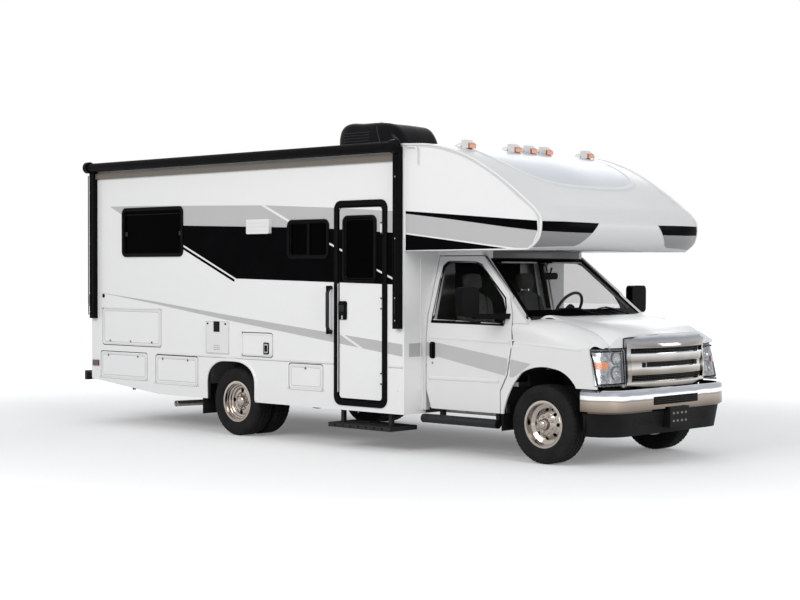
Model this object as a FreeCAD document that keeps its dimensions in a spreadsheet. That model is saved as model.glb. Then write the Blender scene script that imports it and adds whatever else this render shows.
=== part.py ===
import FreeCAD, Part
import Sketcher
import math
import os
from FreeCAD import Vector

# A motorhome on a cutaway van chassis, in millimetres: +X forward, +Y left, +Z up.
# The origin is on the ground under the middle of the whole vehicle.
# Every place along the vehicle, a name that ends in _x, is measured from the front axle.

SIZES = {
    # Axles and wheels
    "front_axle_x": 2952,
    "wheelbase": 4013,
    "tyre_radius": 368,
    "tyre_width": 223,
    "front_wheel_y": 881,
    "rear_wheel_y": 988,
    "dual_spacing": 260,
    "bead_radius": 203,
    "flange_radius": 221,
    "rim_width": 190,
    "flange_width": 10,
    "rim_wall": 9,
    "hub_radius": 58,
    "hand_hole_radius": 17,
    "hand_hole_ring": 132,
    "spindle_radius": 30,
    "running_gap": 0.05,
    "front_hub_reach": 112,
    "rear_hub_reach": 165,
    "kingpin_y": 800,
    "kingpin_radius": 20,
    "kingpin_eye_wall": 18,
    "kingpin_half_height": 120,
    "knuckle_arm": 42,
    "axle_beam": 80,
    "axle_tube_radius": 58,
    "differential_radius": 150,
    "spring_width": 70,
    "spring_leaf": 40,
    "spring_half_length": 590,
    "coil_radius": 45,
    # Chassis
    "rail_inner_y": 330,
    "rail_width": 100,
    "rail_bottom_z": 520,
    "rail_height": 180,
    "rail_front_x": 690,
    "rail_rear_x": -6600,
    "cross_width": 90,
    "receiver_outer": 64,
    "receiver_bore": 51,
    "receiver_length": 260,
    "hitch_pin_radius": 8.1,
    "hitch_pin_inset": 64,
    "engine_rear_x": -290,
    "engine_length": 720,
    "engine_half_width": 290,
    "engine_height": 560,
    "gearbox_length": 1000,
    "gearbox_half_width": 160,
    "gearbox_height": 290,
    "shaft_radius": 38,
    "muffler_radius": 90,
    "muffler_front_x": -2450,
    "muffler_length": 600,
    "exhaust_radius": 32,
    "exhaust_y": -620,
    "exhaust_z": 400,
    "exhaust_over_axle_z": 478,
    "exhaust_front_x": -500,
    "exhaust_hanger_x": -4850,
    "exhaust_tip_x": -5060,
    "exhaust_tip_y": -1190,
    "exhaust_tip_z": 285,
    "fuel_tank_front_x": -4880,
    "fuel_tank_length": 900,
    "fuel_tank_height": 240,
    "waste_tank_front_x": -1950,
    "waste_tank_length": 1350,
    "waste_tank_inner_y": 480,
    "waste_tank_outer_y": 1140,
    "waste_tank_height": 300,
    # House
    "house_front_x": -1483,
    "house_rear_x": -6551,
    "house_half_width": 1270,
    "wall_t": 45,
    "roof_top_z": 3020,
    "roof_t": 60,
    "roof_crown": 18,
    "floor_bottom_z": 845,
    "floor_t": 55,
    "skirt_z": 383,
    "skirt_kick_x": -5283,
    "skirt_rear_z": 500,
    "arch_front_x": -3654,
    "arch_rear_x": -4438,
    "arch_top_z": 802,
    "arch_corner": 190,
    "panel_gap": 9,
    "well_depth": 400,
    "well_floor_z": 440,
    "liner_t": 8,
    "liner_depth": 480,
    # Doorway of the house
    "entry_rear_x": -2449,
    "entry_front_x": -1708,
    "entry_bottom_z": 430,
    "entry_top_z": 2490,
    "entry_frame_width": 58,
    "entry_frame_proud": 10,
    "entry_corner": 90,
    "entry_window_rear_x": -2299,
    "entry_window_front_x": -1883,
    "entry_window_bottom_z": 1695,
    "entry_window_top_z": 2310,
    # Windows of the house
    "rear_window_rear_x": -5961,
    "rear_window_front_x": -4851,
    "rear_window_bottom_z": 1940,
    "rear_window_top_z": 2505,
    "mid_window_rear_x": -3146,
    "mid_window_front_x": -2524,
    "mid_window_bottom_z": 1906,
    "mid_window_top_z": 2312,
    "window_corner": 70,
    "window_frame_width": 34,
    "window_frame_proud": 12,
    "pane_t": 8,
    # Hatches of the house
    "hatch_corner": 32,
    "upper_hatch_rear_x": -6339,
    "upper_hatch_front_x": -5253,
    "upper_hatch_bottom_z": 920,
    "upper_hatch_top_z": 1345,
    "rear_hatch_rear_x": -6375,
    "rear_hatch_front_x": -5506,
    "rear_hatch_bottom_z": 530,
    "rear_hatch_top_z": 835,
    "mid_hatch_rear_x": -5343,
    "mid_hatch_front_x": -4605,
    "mid_hatch_bottom_z": 510,
    "mid_hatch_top_z": 825,
    "side_hatch_rear_x": -3122,
    "side_hatch_front_x": -2620,
    "side_hatch_bottom_z": 560,
    "side_hatch_top_z": 820,
    "service_hatch_rear_x": -3867,
    "service_hatch_front_x": -3380,
    "service_hatch_bottom_z": 875,
    "service_hatch_top_z": 1120,
    # Nose over the cab
    "cap_front_x": 201,
    "cap_bottom_z": 1979,
    "cap_top_z": 3011,
    "cap_t": 30,
    "cap_bulge": 75,
    "cap_crown": 22,
    "bunk_t": 45,
    "bunk_front_x": -60,
    "passage_half_width": 520,
    # Cab
    "cab_half_width": 1000,
    "belt_half_width": 975,
    "cab_top_half_width": 790,
    "crease_z": 1130,
    "belt_z": 1345,
    "cab_sill_z": 440,
    "door_top_z": 1929,
    "door_t": 60,
    "door_rear_x": -1435,
    "door_front_x": -367,
    "door_window_rear_x": -1370,
    "door_window_front_x": -461,
    "door_window_bottom_z": 1289,
    "door_window_top_z": 1875,
    "cab_floor_z": 700,
    "cab_floor_t": 40,
    "firewall_x": -330,
    "cab_wall_t": 25,
    "cowl_front_x": -185,
    "cowl_z": 1318,
    "cowl_side_z": 1215,
    "underpass_half_width": 700,
    "cab_roof_front_x": -900,
    "windshield_base_x": -240,
    "windshield_base_y": 905,
    "windshield_base_z": 1352,
    "windshield_base_bow": 95,
    "windshield_top_x": -855,
    "windshield_top_y": 715,
    "windshield_top_z": 1905,
    "windshield_top_bow": 60,
    "windshield_t": 10,
    "pillar_t": 50,
    # Nose of the cab
    "hood_rear_x": -168,
    "hood_front_x": 700,
    "hood_half_width": 805,
    "hood_t": 24,
    "hood_rear_bow": 62,
    "hood_front_bow": 78,
    "hood_rear_z": 1352,
    "hood_front_z": 1209,
    "fender_t": 18,
    "fender_crease_z": 1100,
    "fender_front_top_x": 530,
    "fender_front_bottom_x": 600,
    "fender_bottom_z": 722,
    "front_arch_rear_x": -456,
    "front_arch_front_x": 389,
    "front_arch_low_z": 459,
    "front_arch_high_z": 733,
    "front_arch_radius": 560,
    "lamp_bottom_z": 745,
    "lamp_top_z": 1078,
    "lamp_depth": 150,
    "grille_bottom_z": 722,
    "grille_top_z": 1198,
    "grille_half_width": 632,
    "grille_front_x": 797,
    "grille_bow": 102,
    "grille_lip_bow": 46,
    "grille_t": 70,
    "grille_bar_inset": 5,
    "grille_post_width": 44,
    "grille_back_t": 18,
    "bumper_bottom_z": 500,
    "bumper_top_z": 712,
    "bumper_front_x": 822,
    "bumper_end_x": 440,
    "bumper_t": 46,
    "bumper_round": 18,
    "bumper_slot_half": 369,
    "bumper_slot_bottom_z": 552,
    "bumper_slot_top_z": 638,
    "bumper_slot_depth": 16,
    "bumper_pad_width": 70,
    "bumper_pad_height": 120,
    "valance_bottom_z": 285,
    "valance_inset": 34,
    "plate_half_width": 157,
    "plate_bottom_z": 340,
    "plate_top_z": 529,
    "plate_front_x": 846,
    "plate_hole_spacing": 178,
    "plate_hole_radius": 3.5,
    "plate_hole_drop": 30,
    # Steps
    "board_rear_x": -1410,
    "board_front_x": -470,
    "board_y": 1060,
    "board_radius": 42,
    "board_z": 345,
    "board_bracket": 40,
    "step_rear_x": -2517,
    "step_front_x": -1650,
    "step_outer_y": 1290,
    "step_inner_y": 900,
    "step_z": 205,
    "step_t": 45,
    "step_hanger": 40,
    # Mirrors
    "mirror_rear_x": -640,
    "mirror_depth": 85,
    "mirror_inner_y": 1235,
    "mirror_outer_y": 1480,
    "mirror_bottom_z": 1355,
    "mirror_top_z": 1635,
    "mirror_round": 45,
    "mirror_arm": 50,
    "mirror_foot_front_x": -400,
    "mirror_foot_length": 52,
    # Hinges
    "hinge_pin_radius": 3.5,
    "hinge_barrel_radius": 8,
    "hinge_lug": 14,
    "hinge_proud": 2,
    "entry_hinge_proud": 17,
    "entry_hinge_length": 90,
    "cab_hinge_gap": 5,
    "cab_hinge_length": 56,
    "hood_hinge_y": 735,
    "hood_hinge_length": 60,
    "hood_hinge_drop": 16,
    "rocker_front_x": -470,
    # Inside the cab
    "dash_rear_x": -640,
    "dash_bottom_z": 930,
    "dash_top_z": 1300,
    "seat_y": 420,
    "seat_half_width": 240,
    "seat_front_x": -800,
    "seat_rear_x": -1330,
    "seat_base_z": 860,
    "cushion_t": 140,
    "backrest_t": 120,
    "backrest_top_z": 1600,
    "headrest_height": 170,
    "headrest_half_width": 130,
    "steering_wheel_x": -775,
    "steering_wheel_z": 1400,
    "steering_wheel_radius": 190,
    "steering_rim_radius": 15,
    # Outside fittings
    "awning_radius": 48,
    "awning_y": -1362,
    "awning_z": 2992,
    "awning_rear_x": -6520,
    "awning_front_x": -1505,
    "awning_cap_length": 60,
    "awning_cap_radius": 66,
    "awning_arm_width": 78,
    "awning_arm_depth": 62,
    "awning_arm_bottom_z": 1220,
    "aircon_rear_x": -3330,
    "aircon_front_x": -2415,
    "aircon_half_width": 350,
    "aircon_lift": 10,
    "aircon_height": 355,
    "aircon_round": 40,
    "vent_half": 210,
    "vent_height": 75,
    "vent_rear_x": -5750,
    "vent_mid_x": -4450,
    "marker_x": -990,
    "marker_length": 110,
    "marker_half_width": 48,
    "marker_height": 34,
    "marker_spacing": 250,
    "marker_outer_y": 950,
    "side_marker_x": -6470,
    "side_marker_z": 695,
    "side_marker_half": 58,
    "side_marker_half_height": 34,
    "lamp_proud": 14,
    "tail_lamp_y": 1060,
    "tail_lamp_half_width": 95,
    "tail_lamp_bottom_z": 860,
    "tail_lamp_top_z": 1230,
    "rear_bumper_rear_x": -6750,
    "rear_bumper_bottom_z": 480,
    "rear_bumper_top_z": 590,
    "rear_bumper_half_width": 1235,
    "rear_bumper_bracket": 22,
    "grab_handle_x": -2492,
    "grab_handle_bottom_z": 1144,
    "grab_handle_top_z": 1633,
    "grab_handle_reach": 60,
    "grab_handle_radius": 14,
    "hood_vent_rear_x": -3751,
    "hood_vent_front_x": -3394,
    "hood_vent_bottom_z": 2174,
    "hood_vent_top_z": 2328,
    "hood_vent_proud": 42,
    "heater_rear_x": -4452,
    "heater_front_x": -4067,
    "heater_bottom_z": 880,
    "heater_top_z": 1236,
    "heater_proud": 12,
    # One overrun for every cut
    "overrun": 20,
}

HAND_HOLES = 8


class Size(float):
    """A length that also knows the sheet expression it comes from."""

    def __new__(cls, value, text):
        size = super().__new__(cls, value)
        size.text = text
        return size

    def _join(self, sign, other, value, swap=False):
        first, second = text_of(self), text_of(other)
        if swap:
            first, second = second, first
        return Size(value, "(%s %s %s)" % (first, sign, second))

    def __add__(self, other):
        return self._join("+", other, float(self) + float(other))

    def __radd__(self, other):
        return self._join("+", other, float(other) + float(self), True)

    def __sub__(self, other):
        return self._join("-", other, float(self) - float(other))

    def __rsub__(self, other):
        return self._join("-", other, float(other) - float(self), True)

    def __mul__(self, other):
        return self._join("*", other, float(self) * float(other))

    def __rmul__(self, other):
        return self._join("*", other, float(other) * float(self), True)

    def __truediv__(self, other):
        return self._join("/", other, float(self) / float(other))

    def __neg__(self):
        return Size(-float(self), "(0 - %s)" % self.text)


def text_of(value):
    if isinstance(value, Size):
        return value.text
    return "%.6f" % float(value)


class Sheet:
    """The named sizes, each one read from its own cell."""


doc = FreeCAD.newDocument("Motorhome")
sheet = doc.addObject("Spreadsheet::Sheet", "Sizes")
sizes = Sheet()
for row, (name, value) in enumerate(SIZES.items(), start=1):
    sheet.set("A%d" % row, name)
    sheet.set("B%d" % row, str(value))
    sheet.setAlias("B%d" % row, name)
doc.recompute()
for name in SIZES:
    setattr(sizes, name, Size(sheet.get(name), "Sizes." + name))

nodes = []
SIDES = (("right", -1), ("left", 1))


def ahead(offset):
    """A place along the vehicle, from its distance ahead of the front axle."""
    return sizes.front_axle_x + offset


def keep(feature, label):
    feature.Label = label
    nodes.append(feature)
    return feature


def bind(feature, path, value):
    """Set a property and tie it to the sheet."""
    if isinstance(value, Size):
        feature.setExpression(path, value.text)


def place(feature, x=0.0, y=0.0, z=0.0):
    feature.Placement = FreeCAD.Placement(Vector(x, y, z), feature.Placement.Rotation)
    bind(feature, ".Placement.Base.x", x)
    bind(feature, ".Placement.Base.y", y)
    bind(feature, ".Placement.Base.z", z)


class Corner:
    """One corner of an outline, with its rounding and the radius of the edge that leaves it."""

    def __init__(self, a, b, rounding=None, arc=None):
        self.a = a
        self.b = b
        self.rounding = rounding
        self.arc = arc


def corners(points, rounding=None):
    return [Corner(a, b, rounding) for a, b in points]


def rectangle(a0, a1, b0, b1, rounding=None):
    return corners([(a0, b0), (a1, b0), (a1, b1), (a0, b1)], rounding)


def shared(shares, a0, a1, b0, b1, rounding=None):
    """An outline given as shares of the box that it fills."""
    return corners([(a0 + (a1 - a0) * s, b0 + (b1 - b0) * t) for s, t in shares], rounding)


def arc_centre(start, end, radius):
    """Centre of the arc that leaves start: on the left for a positive radius."""
    chord = end - start
    half = chord.Length / 2
    rise = math.sqrt(max(radius * radius - half * half, 0.0))
    left = Vector(-chord.y, chord.x, 0).normalize()
    return (start + end) / 2 + left * math.copysign(rise, radius)


def angle_of(point, centre):
    return math.atan2(point.y - centre.y, point.x - centre.x)


def add_loop(sketch, loop):
    """Draw one closed outline in the sketch and tie every corner and radius to the sheet."""
    count = len(loop)
    points = [Vector(c.a, c.b, 0) for c in loop]
    ends = []
    for i, corner in enumerate(loop):
        start, end = points[i], points[(i + 1) % count]
        if corner.arc is None:
            edge = sketch.addGeometry(Part.LineSegment(start, end), False)
            ends.append((edge, 1, 2))
            continue
        centre = arc_centre(start, end, corner.arc)
        circle = Part.Circle(centre, Vector(0, 0, 1), abs(corner.arc))
        first, last, order = (start, end, (1, 2)) if corner.arc > 0 else (end, start, (2, 1))
        span = Part.ArcOfCircle(circle, angle_of(first, centre), angle_of(last, centre))
        edge = sketch.addGeometry(span, False)
        ends.append((edge,) + order)
    for i, corner in enumerate(loop):
        edge, first, last = ends[i]
        following, start, _ = ends[(i + 1) % count]
        sketch.addConstraint(Sketcher.Constraint("Coincident", edge, last, following, start))
        for kind, value in (("DistanceX", corner.a), ("DistanceY", corner.b)):
            made = sketch.addConstraint(Sketcher.Constraint(kind, edge, first, float(value)))
            bind(sketch, "Constraints[%d]" % made, value)
        if corner.arc is not None:
            size = corner.arc if corner.arc > 0 else -corner.arc
            made = sketch.addConstraint(Sketcher.Constraint("Radius", edge, float(size)))
            bind(sketch, "Constraints[%d]" % made, size)


def origin_feature(body, role):
    return next(f for f in body.Origin.OriginFeatures if f.Role == role)


def add_sketch(body, plane, loops):
    sketch = body.newObject("Sketcher::SketchObject", body.Name + "_outline")
    sketch.AttachmentSupport = [(origin_feature(body, plane + "_Plane"), "")]
    sketch.MapMode = "FlatFace"
    for loop in loops:
        add_loop(sketch, loop)
    return sketch


AXIS_OF_PLANE = {"XY": 2, "XZ": 1, "YZ": 0}


def round_corners(body, feature, plane, loops):
    """Round the edges that stand on the corners, one fillet feature for each radius."""
    along = AXIS_OF_PLANE[plane]
    flat = [i for i in range(3) if i != along]
    wanted = {}
    for loop in loops:
        for corner in loop:
            if corner.rounding is not None:
                wanted.setdefault(float(corner.rounding), (corner.rounding, []))[1].append(corner)
    for size, marked in wanted.values():
        doc.recompute()
        names = []
        for number, edge in enumerate(feature.Shape.Edges, start=1):
            if len(edge.Vertexes) != 2:
                continue
            low, high = (v.Point for v in edge.Vertexes)
            if abs((high - low)[flat[0]]) + abs((high - low)[flat[1]]) > sizes.running_gap:
                continue
            for corner in marked:
                if abs(low[flat[0]] - corner.a) + abs(low[flat[1]] - corner.b) < sizes.running_gap:
                    names.append("Edge%d" % number)
        fillet = body.newObject("PartDesign::Fillet", body.Name + "_rounding")
        fillet.Base = (feature, names)
        fillet.Radius = float(size)
        bind(fillet, "Radius", size)
        feature = fillet
    return feature


def panel(label, plane, start, depth, loops):
    """A flat piece: outlines drawn on a plane and padded from start by depth."""
    body = doc.addObject("PartDesign::Body", label)
    sketch = add_sketch(body, plane, loops)
    pad = body.newObject("PartDesign::Pad", label + "_pad")
    pad.Profile = sketch
    pad.Length = float(depth)
    bind(pad, "Length", depth)
    round_corners(body, pad, plane, loops)
    if plane == "XZ":
        place(body, y=start + depth)
    elif plane == "XY":
        place(body, z=start)
    else:
        place(body, x=start)
    doc.recompute()
    return body


def turned(label, loop, x, y, z):
    """A round piece: an outline of (along Y, radius) turned about the Y axis."""
    body = doc.addObject("PartDesign::Body", label)
    sketch = add_sketch(body, "YZ", [loop])
    turn = body.newObject("PartDesign::Revolution", label + "_turn")
    turn.Profile = sketch
    turn.ReferenceAxis = (sketch, ["H_Axis"])
    turn.Angle = 360
    place(body, x, y, z)
    doc.recompute()
    return body


def block(label, x0, x1, y0, y1, z0, z1):
    box = doc.addObject("Part::Box", label)
    for path, low, high in (("Length", x0, x1), ("Width", y0, y1), ("Height", z0, z1)):
        setattr(box, path, float(high - low))
        bind(box, path, high - low)
    place(box, x0, y0, z0)
    return box


TURNS = {
    "X": FreeCAD.Rotation(Vector(0, 1, 0), 90),
    "Y": FreeCAD.Rotation(Vector(1, 0, 0), -90),
    "Z": FreeCAD.Rotation(),
}


def rod(label, axis, radius, length, x, y, z):
    """A cylinder that starts at x, y, z and runs along the named axis."""
    cylinder = doc.addObject("Part::Cylinder", label)
    cylinder.Radius = float(radius)
    cylinder.Height = float(length)
    bind(cylinder, "Radius", radius)
    bind(cylinder, "Height", length)
    cylinder.Placement = FreeCAD.Placement(Vector(), TURNS[axis])
    place(cylinder, x, y, z)
    return cylinder


def fused(label, pieces):
    fuse = doc.addObject("Part::MultiFuse", label)
    fuse.Shapes = pieces
    return fuse


def cut(label, base, tool):
    result = doc.addObject("Part::Cut", label)
    result.Base = base
    result.Tool = tool
    return result


def common(label, pieces):
    result = doc.addObject("Part::MultiCommon", label)
    result.Shapes = pieces
    return result


def solid(label, shape):
    feature = doc.addObject("Part::Feature", label)
    feature.Shape = shape
    return feature


def curve(points):
    spline = Part.BSplineCurve()
    spline.interpolate(points)
    return spline.toShape()


def line(start, end):
    return Part.LineSegment(start, end).toShape()


def closed_wire(edges):
    return Part.Wire(Part.__sortEdges__(edges))


def band(outer, inner):
    """A closed wire from two smooth curves joined by straight ends."""
    edges = [curve(outer), line(outer[-1], inner[-1]), curve(inner[::-1]), line(inner[0], outer[0])]
    return Part.Wire(edges)


def loft(wires, ruled=False):
    return Part.makeLoft(wires, True, ruled)


def outward(side, inner, outer):
    """Low and high Y of something that lies between two distances from the middle."""
    return (inner, outer) if side > 0 else (-outer, -inner)


# Running gear

def tyre_loop(centre):
    half = sizes.tyre_width / 2
    height = sizes.tyre_radius - sizes.bead_radius
    bead = sizes.rim_width / 2 - sizes.flange_width
    shoulder = half * 0.88
    tread = half * 0.72
    wall = height * 0.7
    edge = height * 0.2
    top = sizes.tyre_radius - height * 0.12
    return [
        Corner(centre - bead, sizes.bead_radius),
        Corner(centre + bead, sizes.bead_radius),
        Corner(centre + bead, sizes.flange_radius, arc=wall),
        Corner(centre + shoulder, top, arc=edge),
        Corner(centre + tread, sizes.tyre_radius),
        Corner(centre - tread, sizes.tyre_radius, arc=edge),
        Corner(centre - shoulder, top, arc=wall),
        Corner(centre - bead, sizes.flange_radius),
    ]


def knuckle_face():
    """Outer face of the knuckle's web, from the middle of the vehicle."""
    web = sizes.kingpin_y + sizes.kingpin_radius + sizes.kingpin_eye_wall + sizes.panel_gap
    return web + sizes.knuckle_arm


def front_rim_loop(side):
    """Section of a front wheel: its disc stands forward of the middle of the tyre."""
    half = sizes.rim_width / 2
    seat = half - sizes.flange_width
    wall = sizes.bead_radius - sizes.rim_wall
    hub = sizes.hub_radius
    bore = sizes.spindle_radius + sizes.running_gap
    reach = sizes.front_hub_reach
    ring = sizes.hand_hole_ring
    disc = sizes.rim_wall
    start = knuckle_face() + sizes.panel_gap - sizes.front_wheel_y
    profile = [
        (reach * 0.5, 0.0),
        (reach * 0.5, bore),
        (start, bore),
        (start, hub),
        (half * 0.3, hub),
        (half * 0.5, ring * 0.72),
        (half * 0.12, ring + disc * 2),
        (half * 0.3, wall),
        (-half, wall),
        (-half, sizes.flange_radius),
        (-seat, sizes.flange_radius),
        (-seat, sizes.bead_radius),
        (seat, sizes.bead_radius),
        (seat, sizes.flange_radius),
        (half, sizes.flange_radius),
        (half, wall),
        (half * 0.3 + disc * 1.4, wall - disc),
        (half * 0.12 + disc * 1.4, ring + disc * 2),
        (half * 0.5 + disc * 1.4, ring * 0.72),
        (half * 0.62 + disc, hub),
        (reach * 0.86, hub * 0.78),
        (reach, hub * 0.5),
        (reach, 0.0),
    ]
    return side_profile(side, profile)


def rear_rim_loop(side):
    """Section of a pair of rear wheels, bolted back to back by their dished discs."""
    half = sizes.rim_width / 2
    middle = sizes.dual_spacing / 2
    seat = half - sizes.flange_width
    wall = sizes.bead_radius - sizes.rim_wall
    hub = sizes.hub_radius
    bore = sizes.spindle_radius + sizes.running_gap
    reach = sizes.rear_hub_reach
    ring = sizes.hand_hole_ring
    disc = sizes.rim_wall
    profile = [
        (reach * 0.4, 0.0),
        (reach * 0.4, bore),
        (-reach * 0.7, bore),
        (-reach * 0.7, hub),
        (-disc, hub),
        (-disc, ring + disc * 2),
        (-(middle - half) - disc * 2, wall),
        (-(middle + half), wall),
        (-(middle + half), sizes.flange_radius),
        (-(middle + seat), sizes.flange_radius),
        (-(middle + seat), sizes.bead_radius),
        (-(middle - seat), sizes.bead_radius),
        (-(middle - seat), sizes.flange_radius),
        (-(middle - half), sizes.flange_radius),
        (-(middle - half), wall),
        (0.0, ring + disc * 2),
        (middle - half, wall),
        (middle - half, sizes.flange_radius),
        (middle - seat, sizes.flange_radius),
        (middle - seat, sizes.bead_radius),
        (middle + seat, sizes.bead_radius),
        (middle + seat, sizes.flange_radius),
        (middle + half, sizes.flange_radius),
        (middle + half, wall),
        (middle - half + disc * 2, wall),
        (disc, ring + disc * 2),
        (disc, hub * 1.2),
        (disc * 3, hub),
        (reach * 0.8, hub * 0.7),
        (reach, hub * 0.5),
        (reach, 0.0),
    ]
    return side_profile(side, profile)


def side_profile(side, profile):
    """The same section on either side, always drawn counter-clockwise."""
    points = [(along * side, radius) for along, radius in profile]
    return corners(points if side < 0 else points[::-1])


def with_hand_holes(body):
    """Ventilation holes round the disc of a wheel."""
    ring = sizes.hand_hole_ring
    sketch = body.newObject("Sketcher::SketchObject", body.Name + "_hole")
    sketch.AttachmentSupport = [(origin_feature(body, "XZ_Plane"), "")]
    sketch.MapMode = "FlatFace"
    hole = sketch.addGeometry(Part.Circle(Vector(0, ring, 0), Vector(0, 0, 1), sizes.hand_hole_radius))
    sketch.addConstraint(Sketcher.Constraint("PointOnObject", hole, 3, -2))
    made = sketch.addConstraint(Sketcher.Constraint("DistanceY", hole, 3, float(ring)))
    bind(sketch, "Constraints[%d]" % made, ring)
    made = sketch.addConstraint(Sketcher.Constraint("Radius", hole, float(sizes.hand_hole_radius)))
    bind(sketch, "Constraints[%d]" % made, sizes.hand_hole_radius)
    pocket = body.newObject("PartDesign::Pocket", body.Name + "_pocket")
    pocket.Profile = sketch
    pocket.Midplane = True
    pocket.Length = float(sizes.dual_spacing)
    bind(pocket, "Length", sizes.dual_spacing)
    doc.recompute()
    pattern = body.newObject("PartDesign::PolarPattern", body.Name + "_ring")
    pattern.Originals = [pocket]
    pattern.Axis = (origin_feature(body, "Y_Axis"), [""])
    pattern.Angle = 360
    pattern.Occurrences = HAND_HOLES
    body.Tip = pattern
    doc.recompute()
    return body


def build_front_wheel(name, side):
    y = sizes.front_wheel_y * side
    tyre = turned("front_tyre_" + name, tyre_loop(0.0), ahead(0), y, sizes.tyre_radius)
    keep(tyre, "tyre_front_" + name)
    rim = turned("front_rim_" + name, front_rim_loop(side), ahead(0), y, sizes.tyre_radius)
    keep(with_hand_holes(rim), "rim_front_" + name)


def build_rear_wheels(name, side):
    y = sizes.rear_wheel_y * side
    x = ahead(-sizes.wheelbase)
    half = sizes.dual_spacing / 2
    pair = [
        turned("rear_tyre_%s_%d" % (name, turn), tyre_loop(half * turn), x, y, sizes.tyre_radius)
        for turn in (-1, 1)
    ]
    keep(fused("rear_tyres_" + name, pair), "tyres_rear_" + name)
    rim = turned("rear_rim_" + name, rear_rim_loop(side), x, y, sizes.tyre_radius)
    keep(with_hand_holes(rim), "rims_rear_" + name)


def build_knuckle(name, side):
    """Kingpin with an arm above and below the axle's eye, and the spindle outside them."""
    x = ahead(0)
    z = sizes.tyre_radius
    half = sizes.kingpin_half_height
    arm = sizes.knuckle_arm
    web_out = knuckle_face()
    web_in = web_out - arm
    pin = rod("kingpin_" + name, "Z", sizes.kingpin_radius, half * 2, x, sizes.kingpin_y * side, z - half)
    pieces = [pin]
    y0, y1 = outward(side, sizes.kingpin_y - sizes.kingpin_radius, web_out)
    for low in (z - half, z + half - arm):
        pieces.append(block("knuckle_arm", x - arm, x + arm, y0, y1, low, low + arm))
    y0, y1 = outward(side, web_in, web_out)
    pieces.append(block("knuckle_web", x - arm, x + arm, y0, y1, z - half, z + half))
    reach = sizes.front_wheel_y + sizes.front_hub_reach * 0.4
    y0, y1 = outward(side, web_in, reach)
    pieces.append(rod("spindle_" + name, "Y", sizes.spindle_radius, y1 - y0, x, y0, z))
    keep(fused("knuckle_" + name, pieces), "knuckle_" + name)


def build_front_axle():
    x = ahead(0)
    z = sizes.tyre_radius
    half = sizes.axle_beam / 2
    eye = sizes.kingpin_radius + sizes.kingpin_eye_wall
    high = sizes.kingpin_half_height - sizes.knuckle_arm - sizes.panel_gap
    pieces = [block("axle_beam", x - half, x + half, -sizes.kingpin_y, sizes.kingpin_y, z - half, z + half)]
    for _, side in SIDES:
        y = sizes.kingpin_y * side
        pieces.append(rod("axle_eye", "Z", eye, high * 2, x, y, z - high))
        top = sizes.rail_bottom_z - z
        middle = (sizes.rail_inner_y + sizes.rail_width / 2) * side
        pieces.append(rod("coil_spring", "Z", sizes.coil_radius, top, x, middle, z))
    beam = fused("axle_body", pieces)
    bores = []
    for _, side in SIDES:
        bore = sizes.kingpin_radius + sizes.running_gap
        y = sizes.kingpin_y * side
        bores.append(rod("kingpin_bore", "Z", bore, high * 4, x, y, z - high * 2))
    keep(cut("axle_with_bores", beam, fused("kingpin_bores", bores)), "front_axle")


def build_rear_axle():
    x = ahead(-sizes.wheelbase)
    z = sizes.tyre_radius
    inner = sizes.rear_wheel_y - sizes.rear_hub_reach * 0.7 - sizes.panel_gap
    tip = sizes.rear_wheel_y + sizes.rear_hub_reach * 0.3
    pieces = [
        rod("axle_tube", "Y", sizes.axle_tube_radius, inner * 2, x, -inner, z),
        rod("half_shafts", "Y", sizes.spindle_radius, tip * 2, x, -tip, z),
    ]
    cover = doc.addObject("Part::Sphere", "differential")
    cover.Radius = float(sizes.differential_radius)
    bind(cover, "Radius", sizes.differential_radius)
    place(cover, x, 0.0, z)
    pieces.append(cover)
    leaf_z = z + sizes.axle_tube_radius - sizes.spring_leaf / 2
    for _, side in SIDES:
        inner_y = sizes.rail_inner_y + sizes.rail_width
        y0, y1 = outward(side, inner_y, inner_y + sizes.spring_width)
        reach = sizes.spring_half_length
        pieces.append(block("leaf_spring", x - reach, x + reach, y0, y1, leaf_z, leaf_z + sizes.spring_leaf))
        for end in (x - reach, x + reach - sizes.spring_width):
            top = sizes.rail_bottom_z + sizes.rail_height / 2
            pieces.append(block("hanger", end, end + sizes.spring_width, y0, y1, leaf_z, top))
    keep(fused("rear_axle_body", pieces), "rear_axle")


# Chassis and what hangs from it

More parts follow.
